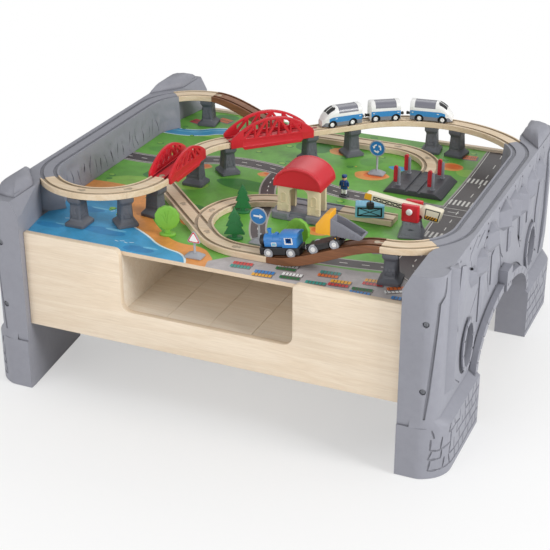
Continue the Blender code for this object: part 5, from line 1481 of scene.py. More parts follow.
COAST = ((-0.03, -0.45), (-0.05, -0.352), (-0.12, -0.338), (-0.165, -0.30), (-0.235, -0.262),
         (-0.275, -0.182), (-0.33, -0.158), (-0.45, -0.165))
BEACH = ((-0.005, -0.345), (-0.04, -0.305), (-0.10, -0.31), (-0.16, -0.262), (-0.215, -0.20),
         (-0.25, -0.118), (-0.31, -0.092), (-0.45, -0.10))
WAVES = ((-0.33, -0.235, 0.036), (-0.25, -0.315, 0.045), (-0.15, -0.362, 0.034), (-0.36, -0.330, 0.030))
SPRAY = ((-0.345, -0.29, 18), (-0.205, -0.345, -12), (-0.28, -0.225, 35))
STREAM = ((-0.45, 0.235), (-0.33, 0.225), (-0.27, 0.28), (-0.20, 0.25), (-0.12, 0.40))
# bare ground: x, y, half width, seed
GROUND = ((-0.235, 0.060, 0.030, 51), (0.125, -0.155, 0.028, 52), (0.020, 0.255, 0.030, 53),
          (0.262, 0.262, 0.030, 54), (-0.105, -0.205, 0.034, 55), (-0.08, 0.07, 0.018, 56),
          (0.125, 0.150, 0.036, 57))
POND = (0.165, 0.210)
HARBOUR = ((0.015, -0.45), (-0.008, -0.36), (0.03, -0.318), (0.12, -0.300), (0.26, -0.292),
           (0.45, -0.252), (0.45, -0.45))
ROADS = (
    (0.021, ((-0.45, 0.055), (-0.30, 0.050), (-0.20, 0.118), (-0.06, 0.108), (0.08, 0.038), (0.17, 0.034),
             (0.45, 0.030))),
    (0.034, ((0.345, 0.45), (0.352, 0.20), (0.345, 0.0), (0.352, -0.14), (0.330, -0.248), (0.450, -0.300))),
    (0.014, ((-0.06, 0.108), (-0.055, 0.02), (-0.02, -0.06), (0.01, -0.185), (0.06, -0.262), (0.16, -0.276),
             (0.33, -0.25))),
)    # half width, middle line
ZEBRAS = ((0.345, 0.082), (0.349, -0.085), (0.347, 0.205))
CRATE_COLOURS = ("teal", "print_red", "yellow", "blue", "green", "white", "orange")
# stacks of crates and houses: x, y, turn
YARD = ((0.055, -0.345, 6), (0.105, -0.362, 6), (0.155, -0.352, 6), (0.205, -0.366, 6), (0.245, -0.345, 6),
        (0.29, -0.358, 6), (0.345, -0.330, 30), (0.375, -0.300, 30), (0.365, -0.365, 4), (0.135, -0.322, 6),
        (0.215, -0.318, 6), (0.30, -0.318, 6))
HOUSES = ((-0.325, 0.125, 10, "red"), (-0.275, 0.165, 10, "orange"), (-0.355, 0.305, -15, "red"),
          (-0.02, 0.030, 20, "red"), (0.285, 0.330, 5, "orange"), (0.225, -0.185, 18, "red"),
          (0.060, 0.330, 8, "orange"), (-0.30, 0.335, -15, "orange"), (0.265, -0.19, 18, "blue"))


def meadow(chance):
    """Grass with lighter and darker patches."""
    shapes = [("grass", rectangle(0.397, 0.381))]
    for i in range(30):
        x = chance.uniform(-0.38, 0.38)
        y = chance.uniform(-0.30, 0.36)
        look = ("grass_light", "grass_dark", "grass_mid")[i % 3]
        shapes.append((look, blob(x, y, chance.uniform(0.02, 0.06), chance.uniform(0.014, 0.045), i)))
    return shapes


def waters():
    """Beach, sea and stream, then bare ground and a pond."""
    beach = [(-0.45, -0.45), (0.03, -0.45), BEACH[0]] + smooth_line(BEACH)[1:]
    coast = smooth_line(COAST)
    shapes = [("sand", beach), ("foam", ribbon(coast[1:-1], 0.004)), ("water", [(-0.45, -0.45)] + coast)]
    for x, y, wide in WAVES:
        shapes.append(("water_dark", blob(x, y, wide, wide * 0.35, int(x * 1000))))
        shapes.append(("water_light", blob(x + 0.02, y + 0.012, wide * 0.5, wide * 0.10, int(y * 1000))))
    for x, y, turn in SPRAY:
        for k in range(4):
            odd = k % 2
            shapes.append(("foam", block(x + 0.010 * k, y + 0.004 * odd, 0.0042, 0.0008, turn + 30 * odd)))
    stream = smooth_line(STREAM)
    shapes += [("foam", ribbon(stream, 0.021)), ("water", ribbon(stream, 0.018)),
               ("water_light", ribbon(stream, 0.003, 0.006))]
    for x, y, half, seed in GROUND:
        shapes.append(("sand", blob(x, y, half, half * 0.72, seed)))
        shapes.append(("orange", blob(x + 0.006, y + 0.004, half * 0.66, half * 0.45, seed + 9)))
    return shapes + [("water", blob(*POND, 0.022, 0.012, 5))]


def streets(roads):
    """Harbour ground, roads with their kerbs and lines, and crossings."""
    shapes = [("kerb", [(x, y + 0.004) for x, y in HARBOUR]), ("concrete", list(HARBOUR))]
    shapes += [("kerb", ribbon(road, half + 0.0035)) for half, road in roads]
    shapes += [("asphalt", ribbon(road, half)) for half, road in roads]
    for half, road in roads:
        if half > 0.02:
            shapes += [("line", ribbon(road[2:-2], 0.0008, side * (half - 0.0035))) for side in (-1, 1)]
        for start, end in list(zip(road, road[1:]))[2:-1:2]:
            shapes.append(("line", ribbon([start, tuple(Vector(start).lerp(Vector(end), 0.75))], 0.0010)))
    for x, y in ZEBRAS:
        shapes.append(("asphalt", block(x, y, 0.030, 0.0155)))
        shapes += [("line", block(x - 0.027 + 0.009 * k, y, 0.0022, 0.013)) for k in range(7)]
    return shapes


def crates_and_houses():
    shapes = []
    for i, (x, y, turn) in enumerate(YARD):
        slope = math.sin(math.radians(turn))
        for k in range(2):
            middle = y - 0.009 + 0.013 * k
            shapes.append(("shade", block(x + 0.003, y - 0.0115 + 0.013 * k, 0.0185, 0.0062, turn)))
            look = CRATE_COLOURS[(i * 2 + k) % len(CRATE_COLOURS)]
            shapes.append((look, block(x, middle, 0.0185, 0.0056, turn)))
            for rib in (-2, -1, 0, 1, 2):
                away = 0.0062 * rib
                shapes.append(("rib", block(x + away, middle + away * slope, 0.0007, 0.0052, turn)))
    for x, y, turn, look in HOUSES:
        slope = math.sin(math.radians(turn))
        shapes.append(("shade", block(x + 0.004, y - 0.004, 0.017, 0.0125, turn)))
        shapes.append((look, block(x, y, 0.016, 0.012, turn)))
        shapes.append(("rib", block(x, y, 0.016, 0.0009, turn)))
        for rib in (-3, -2, -1, 1, 2, 3):
            away = 0.004 * rib
            shapes.append(("rib", block(x + away, y + away * slope, 0.0003, 0.0115, turn)))
    return shapes


def shrubs(chance, roads):
    """Small bushes with flowers, off the roads."""
    shapes = []
    for i in range(70):
        x = chance.uniform(-0.385, 0.30)
        y = chance.uniform(-0.24, 0.37)
        spot = Vector((x, y))
        if any((spot - Vector(point)).length < half + 0.014 for half, road in roads for point in road):
            continue
        size = chance.uniform(0.005, 0.010)
        shapes.append(("grass_dark", blob(x + 0.002, y - 0.002, size, size * 0.8, i + 100, 0.25, 14)))
        leaf = ("leaf_print", "grass_light")[i % 2]
        shapes.append((leaf, blob(x, y, size * 0.75, size * 0.6, i + 200, 0.25, 12)))
        if i % 5 == 0:
            petals = "white" if i % 2 else "yellow"
            shapes.append((petals, blob(x + 0.013, y + 0.004, 0.0022, 0.0018, i, 0.3, 8)))
    return shapes


def printed_shapes():
    """The board's printed picture: (look, outline) from the lowest layer to the highest."""
    chance = random.Random(11)
    roads = [(half, smooth_line(points)) for half, points in ROADS]
    return meadow(chance) + waters() + streets(roads) + crates_and_houses() + shrubs(chance, roads)


def turns_right(outline):
    """Whether a closed outline runs clockwise."""
    area = sum(ax * by - bx * ay for (ax, ay), (bx, by) in zip(outline, outline[1:] + outline[:1]))
    return area < 0


def picture_faces(shapes):
    """Flat mesh split along the outlines of the picture, and the looks that its faces number."""
    points = []
    outlines = []
    for _, outline in shapes:
        if turns_right(outline):
            outline.reverse()
        outlines.append(list(range(len(points), len(points) + len(outline))))
        points += [Vector(point) for point in outline]
    made = geometry.delaunay_2d_cdt(points, [], outlines, 0, 1e-7)
    corners, faces, sources = made[0], made[2], made[5]
    work = bmesh.new()
    verts = [work.verts.new((x, y, BOARD_TOP)) for x, y in corners]
    looks = []
    for face, source in zip(faces, sources):
        if 0 not in source:
            continue
        look = shapes[max(source)][0]
        if look not in looks:
            looks.append(look)
        work.faces.new([verts[i] for i in face]).material_index = looks.index(look)
    bmesh.ops.delete(work, geom=[vert for vert in work.verts if not vert.link_faces], context="VERTS")
    bmesh.ops.recalc_face_normals(work, faces=work.faces)
    if sum(face.normal.z for face in work.faces) < 0:
        bmesh.ops.reverse_faces(work, faces=work.faces)
    return work, looks


def thicken(work, number):
    """Gives the flat mesh walls and a bottom, whose faces get a material number."""
    rim = [edge for edge in work.edges if edge.is_boundary]
    walls = bmesh.ops.extrude_edge_only(work, edges=rim)["geom"]
    for vert in (item for item in walls if isinstance(item, bmesh.types.BMVert)):
        vert.co.z = BOARD_TOP - BOARD_THICK
    bottom = [edge for edge in work.edges if edge.is_boundary]
    made = bmesh.ops.holes_fill(work, edges=bottom, sides=0)["faces"]
    for face in list(made) + [item for item in walls if isinstance(item, bmesh.types.BMFace)]:
        face.material_index = number
    bmesh.ops.recalc_face_normals(work, faces=work.faces)


def build_board():
    """Board whose top is split along the outlines of its printed picture, one colour to each region."""
    work, looks = picture_faces(printed_shapes())
    thicken(work, len(looks))
    looks.append("ply")
    mesh = closed(work, "board_picture")
    for look in looks:
        mesh.materials.append(LOOKS[look])
    item = in_scene("board_picture", mesh)
    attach(item, "table")
    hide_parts("play_board")


# level crossing

SEAM_RADIUS = 0.0006     # thin lines between boards and stones
CROSSING_HALF = 0.062
CROSSING_TOP_HALF = 0.046
CROSSING_LENGTH = 0.111
CROSSING_EDGE = 0.0015   # thickness of the platform at the foot of its slopes
CROSSING_SEAMS = ((-0.043, -0.018), (-0.0085, 0.0085), (0.018, 0.043))    # from x to x, from the middle
PLANK_COUNT = 7
RIB_COUNT = 4            # ribs on each slope
RIB_FIRST = 0.0045
RIB_SPACE = 0.0030
GATE_X = 0.036
GATE_Y = 0.034
GATE_LENGTH = 0.031
GATE_HEEL = 0.004
GATE_HALF_WIDTH = 0.004
GATE_HALF_THICK = 0.003
GATE_HEAD = 0.0035       # height of a gate's rounded head
GATE_RIM = 0.0012        # width of its raised rim, which is half as high
GATE_PIN = 0.010
GATE_PIN_RADIUS = 0.0013
GATE_BORE_RADIUS = 0.0017
POST_HALF = 0.0025
POST_HEIGHT = 0.036
POST_GAP = 0.0005
POST_FOOT = (0.0042, 0.0016)     # half width, height


def gate_arm(x, y, pin):
    """Paddle of a gate with a rounded head and a raised rim, upright on its pin."""
    tall = pin + GATE_LENGTH - GATE_HEAD
    heel = pin - GATE_HEEL
    half = GATE_HALF_WIDTH
    rim = GATE_RIM
    outline = [(x - half, heel + rim), (x - half + rim, heel), (x + half - rim, heel), (x + half, heel + rim)]
    outline += ellipse((x, tall), (half, GATE_HEAD), 0, 180, 14)
    inner = [(x - half + rim, pin + half), (x + half - rim, pin + half)]
    inner += ellipse((x, tall), (half - rim, GATE_HEAD - rim), 0, 180, 12)
    arm = soften(prism_y(outline, y - GATE_HALF_THICK, y + GATE_HALF_THICK), 0.0005, 2)
    dents = [prism_y(inner, *sorted((y + sign * (GATE_HALF_THICK - rim / 2), y + sign * TRACK_WIDTH)))
             for sign in (-1, 1)]
    hole = cylinder((0, y, pin), GATE_BORE_RADIUS, x - half - rim, x + half + rim, 16, "X")
    return cut(arm, [join(dents + [hole])])


def crossing_seams(x, front, back):
    """Lines between the planks of the deck, and ribs on its slopes."""
    top = LOWER_TOP
    seams = []
    for i in range(1, PLANK_COUNT):
        y = front + CROSSING_LENGTH * i / PLANK_COUNT
        seams += [tube([(x + left, y, top), (x + right, y, top)], SEAM_RADIUS, 5, 0.6)
                  for left, right in CROSSING_SEAMS]
    fall = (top - LOWER_LOW - CROSSING_EDGE) / (CROSSING_HALF - CROSSING_TOP_HALF)
    for sign in (-1, 1):
        for i in range(RIB_COUNT):
            run = RIB_FIRST + RIB_SPACE * i
            at = x + sign * (CROSSING_TOP_HALF + run)
            height = top - run * fall
            ends = (front + 2 * GATE_HEEL, back - 2 * GATE_HEEL)
            seams.append(tube([(at, y, height) for y in ends], SEAM_RADIUS, 5, 0.6))
    return seams


def gate_post(x, y):
    top = LOWER_TOP
    foot_half, foot_height = POST_FOOT
    levels = ((top - GAP, 1.0), (top + POST_HEIGHT - POST_HALF, 1.0), (top + POST_HEIGHT, 0.6))
    post = loft([[(x + a * size, y + b * size, height) for a, b in rectangle(POST_HALF, POST_HALF)]
                 for height, size in levels])
    sole = [(x + a, y + b) for a, b in rectangle(foot_half, foot_half, 0.001)]
    return union(soften(post, 0.0004, 2), [prism(sole, top - GAP, top + foot_height)])


def build_crossing(pose):
    x = pose[0]
    back = pose[1] - GAP
    front = back - CROSSING_LENGTH
    middle = (back + front) / 2
    top = LOWER_TOP
    edge = LOWER_LOW + CROSSING_EDGE
    outline = [(x - CROSSING_HALF, LOWER_LOW), (x + CROSSING_HALF, LOWER_LOW), (x + CROSSING_HALF, edge),
               (x + CROSSING_TOP_HALF, top), (x - CROSSING_TOP_HALF, top), (x - CROSSING_HALF, edge)]
    half = GROOVE_WIDTH / 2
    grooves = [box((x + across - half, front - half, top - GROOVE_DEPTH),
                   (x + across + half, back + half, top + half))
               for across in (-GROOVE_OFFSET, GROOVE_OFFSET)]
    deck = cut(soften(prism_y(outline, front, back), 0.0006, 2), [join(grooves)])
    parts = [(cut(deck, [join(crossing_seams(x, front, back))], crossing=True), "dark")]
    pin = top + GATE_PIN
    for name, sx, sy in (("gate_front_left", -1, -1), ("gate_front_right", 1, -1),
                         ("gate_back_left", -1, 1), ("gate_back_right", 1, 1)):
        post_x = x + sx * GATE_X
        y = middle + sy * GATE_Y
        gate_x = post_x - POST_HALF - POST_GAP - GATE_HALF_WIDTH
        stub = cylinder((0, y, pin), GATE_PIN_RADIUS, gate_x - GATE_HALF_WIDTH / 2, post_x, 12, "X", 0.0002)
        parts += [(gate_post(post_x, y), "grey"), (stub, "silver")]
        piece(name + "_paddle", [(gate_arm(gate_x, y, pin), "gate")], name, [name])
    piece("crossing_deck", parts, "table", ["crossing_platform"])


# station

STATION_X = 0.074
STATION_HALF = 0.056
STATION_DEPTH = 0.071
STATION_CORNER = 0.010
STATION_PLATFORM_TOP = 0.342
STATION_CLEAR = 0.003
STEP_DEPTH = 0.0065
STEP_HEIGHT = 0.005
COURSE = 0.0068          # height of the lower course of stones
STONE = 0.0122           # length of a stone
FLAG_DEPTHS = (0.014, 0.030)
FLAG_COUNT = 8
HALL_HALF = 0.044
HALL_FRONT = 0.062
HALL_BACK = 0.024
HALL_WALL = 0.008
DOOR_HALF = 0.019
DOOR_RISE = 0.013
WINDOW_X = 0.0315
WINDOW_HALF = 0.0048
WINDOW_LOW = 0.362
WINDOW_SPRING = 0.376
WINDOW_BAND = 0.0016
QUOIN = 0.0055           # height of a corner stone
EAVE = 0.396
ROOF_HALF = 0.050
ROOF_EDGE = 0.004
ROOF_RISE = 0.038
ROOF_OVERHANG = 0.008
ROOF_REACH = 0.007
ROOF_RIM = 0.004         # width of the raised rim around a gable
ROOF_DENT = 0.0018
ROOF_SEAMS = (0.0045, 0.0070)


def deck_seams(left, right, edge):
    """Joints between the stones of the edge and between the flags on top."""
    low = LOWER_LOW
    top = STATION_PLATFORM_TOP
    course = low + COURSE
    seams = [tube([(left - GAP, edge, course), (right + GAP, edge, course)], 0.0010, 5, 1)]
    for i in range(9):
        at = left + STATION_CORNER + i * STONE + 0.25 * STONE * (i % 2)
        after = at + 0.4 * STONE
        seams.append(tube([(at, edge, low + GAP), (at, edge, course)], SEAM_RADIUS, 5, 1))
        seams.append(tube([(after, edge, course), (after, edge, top)], SEAM_RADIUS, 5, 1))
    lines = [[(left + 0.004, edge + depth), (right - 0.004, edge + depth)] for depth in FLAG_DEPTHS]
    for i in range(1, FLAG_COUNT):
        at = left + i * (right - left) / FLAG_COUNT
        lines.append([(at, edge + 0.003), (at, edge + 0.046)])
    return seams + [tube([(x, y, top) for x, y in line], SEAM_RADIUS, 5, 0.6) for line in lines]


def build_station_deck(pose):
    start, yard_y, _ = pose
    side = TRACK_WIDTH / 2
    top = STATION_PLATFORM_TOP
    left = STATION_X - STATION_HALF
    right = STATION_X + STATION_HALF
    step = start + 0.0005
    edge = yard_y - STATION_DEPTH
    inner = yard_y - side + 0.00025
    free = yard_y - side - STATION_CLEAR
    outline = [(left, edge, STATION_CORNER), (right, edge, STATION_CORNER), (right, inner, 0),
               (step, inner, 0), (step, free, 0), (left, free, 0)]
    slab = soften(prism(rounded(outline, 8), LOWER_LOW + GAP, top), 0.0012, 3)
    slab = cut(slab, [join(deck_seams(left, right, edge))], crossing=True)
    stairs = [box((STATION_X - DOOR_HALF, edge - STEP_DEPTH, top - STEP_HEIGHT * drop),
                  (STATION_X + DOOR_HALF, edge + STEP_DEPTH * (3 - drop), top + STEP_HEIGHT))
              for drop in (1, 2)]
    rails = track(straight_line(pose, STATION_TRACK), LOWER_LOW, LOWER_TOP, socket=False, key=False)
    piece("station_deck", [(rails, "grey"), (cut(slab, stairs), "grey")], "table",
          ["station_base"], 30)


def arch_top(x, low, spring, half):
    """Outline of an opening with a round head, as (x, z)."""
    return [(x - half, low), (x + half, low)] + ellipse((x, spring), (half, half), 0, 180, 12)


def window_ring(x, front, back):
    """Raised arch band around a window of the hall."""
    outer = arch_top(x, WINDOW_LOW - WINDOW_BAND, WINDOW_SPRING, WINDOW_HALF + WINDOW_BAND)
    inner = arch_top(x, WINDOW_LOW, WINDOW_SPRING, WINDOW_HALF)
    return cut(prism_y(outer, front, back), [prism_y(inner, front - 0.001, back + 0.001)])


def hall_wall(face, sign, low, doorway):
    """Wall of the hall with its door, windows and corner stones. The sign tells where its face looks."""
    back = face - sign * HALL_WALL
    wall = soften(box((STATION_X - HALL_HALF, min(face, back), low),
                      (STATION_X + HALL_HALF, max(face, back), EAVE + GAP)), 0.0008, 2)
    relief = []
    cutters = [doorway.copy()]
    band = sorted((face + sign * 0.0008, face - sign * 0.001))
    for side in (-1, 1):
        x = STATION_X + side * WINDOW_X
        relief.append(window_ring(x, *band))
        pane = arch_top(x, WINDOW_LOW, WINDOW_SPRING, WINDOW_HALF)
        cutters.append(prism_y(pane, *sorted((face + sign * 0.003, face - sign * 0.0012))))
        for i in range(3):
            height = low + QUOIN * i
            for edge, wide in ((HALL_HALF, 0.0085 - 0.003 * (i % 2)), (DOOR_HALF, -0.006 + 0.002 * (i % 2))):
                reach = (edge + math.copysign(GAP, wide), edge - wide)
                ends = sorted(STATION_X + side * away for away in reach)
                relief.append(box((ends[0], band[0], height + GAP), (ends[1], band[1], height + QUOIN - GAP)))
    return union(cut(wall, cutters), [soften(item, 0.0003, 1) for item in relief])


def build_hall(yard_y):
    low = STATION_PLATFORM_TOP + GAP
    front = yard_y - HALL_FRONT
    back = yard_y - HALL_BACK
    door = [(STATION_X - DOOR_HALF, low - 0.001), (STATION_X + DOOR_HALF, low - 0.001)]
    door += ellipse((STATION_X, EAVE - DOOR_RISE), (DOOR_HALF, DOOR_RISE - 0.001), 0, 180, 20)
    doorway = prism_y(door, front - HALL_WALL, back + HALL_WALL)
    parts = [(hall_wall(front, -1, low, doorway), "beige"), (hall_wall(back, 1, low, doorway), "beige")]
    centre = (STATION_X, EAVE + ROOF_EDGE)
    roof = [(STATION_X - ROOF_HALF, EAVE), (STATION_X + ROOF_HALF, EAVE)]
    roof += ellipse(centre, (ROOF_HALF, ROOF_RISE), 0, 180, 48)
    front -= ROOF_OVERHANG
    back = yard_y + ROOF_REACH
    inner_half = ROOF_HALF - ROOF_RIM
    inner = [(STATION_X - inner_half, EAVE - 0.001), (STATION_X + inner_half, EAVE - 0.001)]
    inner += ellipse(centre, (inner_half, ROOF_RISE - 1.5 * ROOF_RIM), 0, 180, 48)
    dents = [prism_y(inner, front - 0.01, front + ROOF_DENT), prism_y(inner, back - ROOF_DENT, back + 0.01)]
    shell = soften(cut(prism_y(roof, front, back), [join(dents)]), 0.0009, 3, 34)
    rim = ellipse(centre, (ROOF_HALF, ROOF_RISE), 2, 178, 40)
    seams = [tube([(a, at, b) for a, b in rim], 0.0005, 5, 1)
             for depth in ROOF_SEAMS for at in (front + depth, back - depth)]
    parts.append((cut(shell, [join(seams)], crossing=True), "red"))
    piece("station_house", parts, "table", ["station_hall"], 30)


# crane

CRANE = (0.296, -0.100)
CRANE_TURN = 12
CRANE_TILT = 7
CAB_HALF = 0.017
CAB_LOW = 0.3593
CAB_TOP = 0.393
CAB_SLOT_DEPTH = 0.0145
CRANE_PIVOT = 0.381
JIB_HALF = 0.008
JIB_OUTLINE = ((-0.095, -0.004, 0.0006), (0.022, -0.006, 0.002), (0.026, -0.012, 0.002),
               (0.056, -0.012, 0.004), (0.060, 0.013, 0.004), (0.024, 0.013, 0.002), (0.018, 0.009, 0.002),
               (-0.093, 0.009, 0.005))
PIN_RADIUS = 0.0022
PIN_END = JIB_HALF + 0.004
WINCH_RADIUS = 0.006
WINCH_THICK = 0.006
HOOK_REACH = 0.084
HOOK_RADIUS = 0.0075
HOOK_BLOCK = 0.0125
HOOK_BLOCK_TOP = 0.379
HOOK_STEM = 0.0010
HOOK_STEM_TOP = 0.3975
TOWER_LEVELS = ((LOWER_LOW, 0.0235), (LOWER_LOW + 0.0008, 0.024), (0.3302, 0.024), (0.3310, 0.0232),
                (0.3330, 0.0222), (0.3380, 0.0204), (0.3430, 0.0188), (0.3510, 0.0176), (0.3572, 0.0168),
                (0.3580, 0.0171), (0.3586, 0.0171), (0.3590, 0.0165))      # height, half width
RIVET = ((0, -0.001), (0.0011, -0.001), (0.0011, 0.0003), (0.0006, 0.0008), (0, 0.0009))
RIVET_ROWS = ((0.3350, 0.0214), (0.3556, 0.0171))      # height, half width of the tower
RIVET_COUNT = 5
BLIND_ARCH = [(-0.0045, 0.3375), (0.0045, 0.3375)] + ellipse((0, 0.3425), (0.0045, 0.0035), 0, 180, 8)
CAB_BOLT_X = 0.0125


def quarter_turns():
    return [Matrix.Rotation(math.radians(turn), 4, "Z") for turn in (0, 90, 180, 270)]


def crane_tower():
    """Flared square tower with a rim, rows of rivets and a blind arch on each side."""
    tower = loft([[(a, b, height) for a, b in chamfered(half, half, 0.003)] for height, half in TOWER_LEVELS])
    rivets = []
    for turn in quarter_turns():
        for height, half in RIVET_ROWS:
            for i in range(RIVET_COUNT):
                at = (i - (RIVET_COUNT - 1) / 2) * half * 1.5 / (RIVET_COUNT - 1)
                spin = turn @ Matrix.Translation((half, at, height))
                rivets.append(moved(revolve(RIVET, 8), spin @ Matrix.Rotation(math.radians(90), 4, "Y")))
    arches = [moved(prism_x(BLIND_ARCH, 0.0165, 0.0189), turn) for turn in quarter_turns()]
    return placed(cut(union(tower, [join(rivets)]), [join(arches)]), (*CRANE, CRANE_TURN))


def crane_cab():
    cab = soften(prism(rectangle(CAB_HALF, CAB_HALF, 0.004), CAB_LOW, CAB_TOP), 0.0012, 3)
    slot = JIB_HALF + 2 * GAP
    reach = CAB_HALF + 0.01
    cab = cut(cab, [box((-reach, -slot, CRANE_PIVOT - CAB_SLOT_DEPTH), (reach, slot, CAB_TOP + 0.01)),
                    cylinder((0, 0, CRANE_PIVOT), PIN_RADIUS + GAP, -reach, reach, 20, "Y")])
    rim = WINCH_RADIUS + 0.0036
    dish = revolve([(0, CAB_HALF), (WINCH_RADIUS + 0.0028, CAB_HALF - 0.0006), (rim, CAB_HALF),
                    (rim, CAB_HALF + 0.002), (0, CAB_HALF + 0.002)], 32, "Y")
    details = []
    for sign in (-1, 1):
        face = sign * CAB_HALF
        if sign > 0:
            details.append(shifted(dish, 0, 0, CRANE_PIVOT))
        bolt = sorted((face - sign * 0.0007, face + sign * 0.004))
        for x in (-CAB_BOLT_X, CAB_BOLT_X):
            for height in (CAB_LOW + 0.003, CAB_TOP - 0.004):
                details.append(cylinder((x, 0, height), 0.0009, *bolt, 10, "Y"))
        low, high = sorted((face - sign * 0.0007, face + sign))
        details.append(box((-CAB_BOLT_X, low, CAB_LOW + 0.0062), (CAB_BOLT_X, high, CAB_LOW + 0.0070)))
        low, high = sorted((face - sign * 0.0008, face + sign))
        details.append(box((low, -0.0085, CAB_LOW + 0.004), (high, 0.0085, CAB_LOW + 0.0045)))
    return shifted(cut(cab, details), *CRANE)


LATTICE_LEFT = -0.076        # the painted lattice, on the thin part of the jib
LATTICE_RIGHT = 0.012
LATTICE_BAYS = 8
LATTICE_BAY = 0.011
FRAME_BAR = 0.0009           # half widths of the painted bars
LATTICE_BAR = 0.0007
JIB_FRAME = (((LATTICE_LEFT, 0.0048), (LATTICE_RIGHT, 0.0042)),
             ((LATTICE_LEFT, -0.0020), (LATTICE_RIGHT, -0.0028)),
             ((LATTICE_LEFT, 0.0055), (LATTICE_LEFT, -0.0028)),
             ((LATTICE_RIGHT, 0.0050), (LATTICE_RIGHT, -0.0036)))
WEIGHT_FRAME = (((0.028, 0.0104), (0.056, 0.0104)), ((0.028, -0.0095), (0.053, -0.0095)),
                ((0.028, 0.0112), (0.028, -0.0103)), ((0.0555, 0.0112), (0.0528, -0.0103)))
HAZARD_FIELD = ((0.0290, -0.0088), (0.0520, -0.0088), (0.0528, -0.0026), (0.0290, -0.0026))
JIB_TIP = ((-0.0944, -0.0037), (-0.080, -0.0040), (-0.080, 0.0086), (-0.0915, 0.0086), (-0.0937, 0.0065))
PAINT_ROOT = 0.0004          # how deep the painted shapes reach into the jib


def jib_prints(side):
    """Black lattice, frame and hazard stripes painted on one side of the jib."""
    face = side * JIB_HALF

    def paint(outline, proud):
        return prism_y(outline, *sorted((face - side * PAINT_ROOT, face + side * proud)))

    bars = [(line, FRAME_BAR) for line in JIB_FRAME]
    for i in range(LATTICE_BAYS):
        left = LATTICE_LEFT + LATTICE_BAY * i
        right = left + LATTICE_BAY
        bars.append((((left, 0.0042), (right, -0.0022)), LATTICE_BAR))
        bars.append((((left, -0.0020), (right, 0.0040)), LATTICE_BAR))
    bars += [(line, FRAME_BAR) for line in WEIGHT_FRAME]
    bars += [(((0.030 + 0.0050 * i, -0.0085), (0.0345 + 0.0050 * i, -0.0030)), 0.0012) for i in range(4)]
    prints = [(paint(ribbon(line, half), 0.00015), "black") for line, half in bars]
    return prints + [(paint(HAZARD_FIELD, 0.00008), "yellow"), (paint(JIB_TIP, 0.0001), "yellow")]


def winch_grip():
    """Knob of the winch with ridges around it and a slot in its face, on the pin's axis."""
    stub = CAB_HALF + GAP
    outer = stub + WINCH_THICK
    rim = WINCH_RADIUS
    profile = [(0, -outer), (rim - 0.0018, -outer), (rim - 0.0005, -outer + 0.0006), (rim, -outer + 0.0018),
               (rim, -stub - 0.0012), (rim - 0.0006, -stub - 0.0004), (rim - 0.0012, -stub),
               (PIN_RADIUS, -stub), (PIN_RADIUS, -PIN_END - 2 * GAP), (0, -PIN_END - 2 * GAP)]
    cutters = []
    for i in range(12):
        x, z = polar((0, 0), rim + GAP, i * 30)
        cutters.append(cylinder((x, 0, z), 0.0007, -outer + 0.0018, -stub - 0.0012, 8, "Y"))
    cutters.append(box((-0.0035, -outer - 0.001, -0.0006), (0.0035, -outer + 0.0008, 0.0006)))
    return cut(revolve(profile, 36, "Y"), cutters)


def build_crane():
    piece("crane_base", [(crane_tower(), "grey")], "table", ["crane_tower"], 30)
    piece("crane_housing", [(crane_cab(), "red")], "cab", ["crane_cab"])
    centre = (*CRANE, CRANE_PIVOT)
    grip = shifted(winch_grip(), *centre)
    piece("winch_grip", [(grip, "white")], "winch_knob", ["crane_knob"])
    matrix = Matrix.Translation(centre) @ Matrix.Rotation(math.radians(CRANE_TILT), 4, "Y")
    hook_place = (CRANE[0] - HOOK_REACH, CRANE[1], 0)
    beam = soften(prism_y(rounded(JIB_OUTLINE, 6), -JIB_HALF, JIB_HALF), 0.0009, 2, 40)
    beam = moved(union(beam, [cylinder((0, 0, 0), PIN_RADIUS, -PIN_END, PIN_END, 20, "Y")]), matrix)
    bore = cylinder(hook_place, HOOK_STEM + 2 * GAP, HOOK_BLOCK_TOP, HOOK_STEM_TOP + 0.01, 12)
    parts = [(cut(beam, [bore]), "cream")]
    for side in (-1, 1):
        parts += [(moved(mesh, matrix), look) for mesh, look in jib_prints(side)]
    piece("crane_beam", parts, "jib", ["crane_jib"])
    build_hook(hook_place)


def build_hook(place):
    """Block with a rounded rim and a magnet below, on its stem."""
    low = HOOK_BLOCK_TOP - HOOK_BLOCK
    top = HOOK_BLOCK_TOP
    rim = HOOK_RADIUS
    block_mesh = revolve([
        (0, low + 0.0006), (0.0040, low + 0.0006), (0.0044, low), (rim - 0.0012, low),
        (rim - 0.0003, low + 0.0006), (rim, low + 0.0020), (rim, top - 0.0034), (rim - 0.0005, top - 0.0028),
        (rim - 0.0005, top - 0.0022), (rim, top - 0.0018), (rim - 0.0014, top - 0.0004), (rim - 0.0026, top),
        (HOOK_STEM, top), (HOOK_STEM, HOOK_STEM_TOP - 0.0004), (HOOK_STEM * 0.7, HOOK_STEM_TOP),
        (0, HOOK_STEM_TOP)], 28)
    magnet = revolve([(0, low + 0.0001), (0.0036, low + 0.0001), (0.0036, low + 0.002), (0, low + 0.002)], 24)
    parts = [(shifted(block_mesh, *place), "black"), (shifted(magnet, *place), "silver")]
    piece("hook_block", parts, "hook", ["crane_hook"])


CONTAINER_POSE = (0.2016, -0.0717, 18.4)
CONTAINER_HALF = (0.028, 0.014)
CONTAINER_HEIGHT = 0.025
CONTAINER_FRAME = (0.0225, 0.0045)     # half length of the painted frame, its distance from the edges
END_RIBS = 5
LID_RIBS = 8


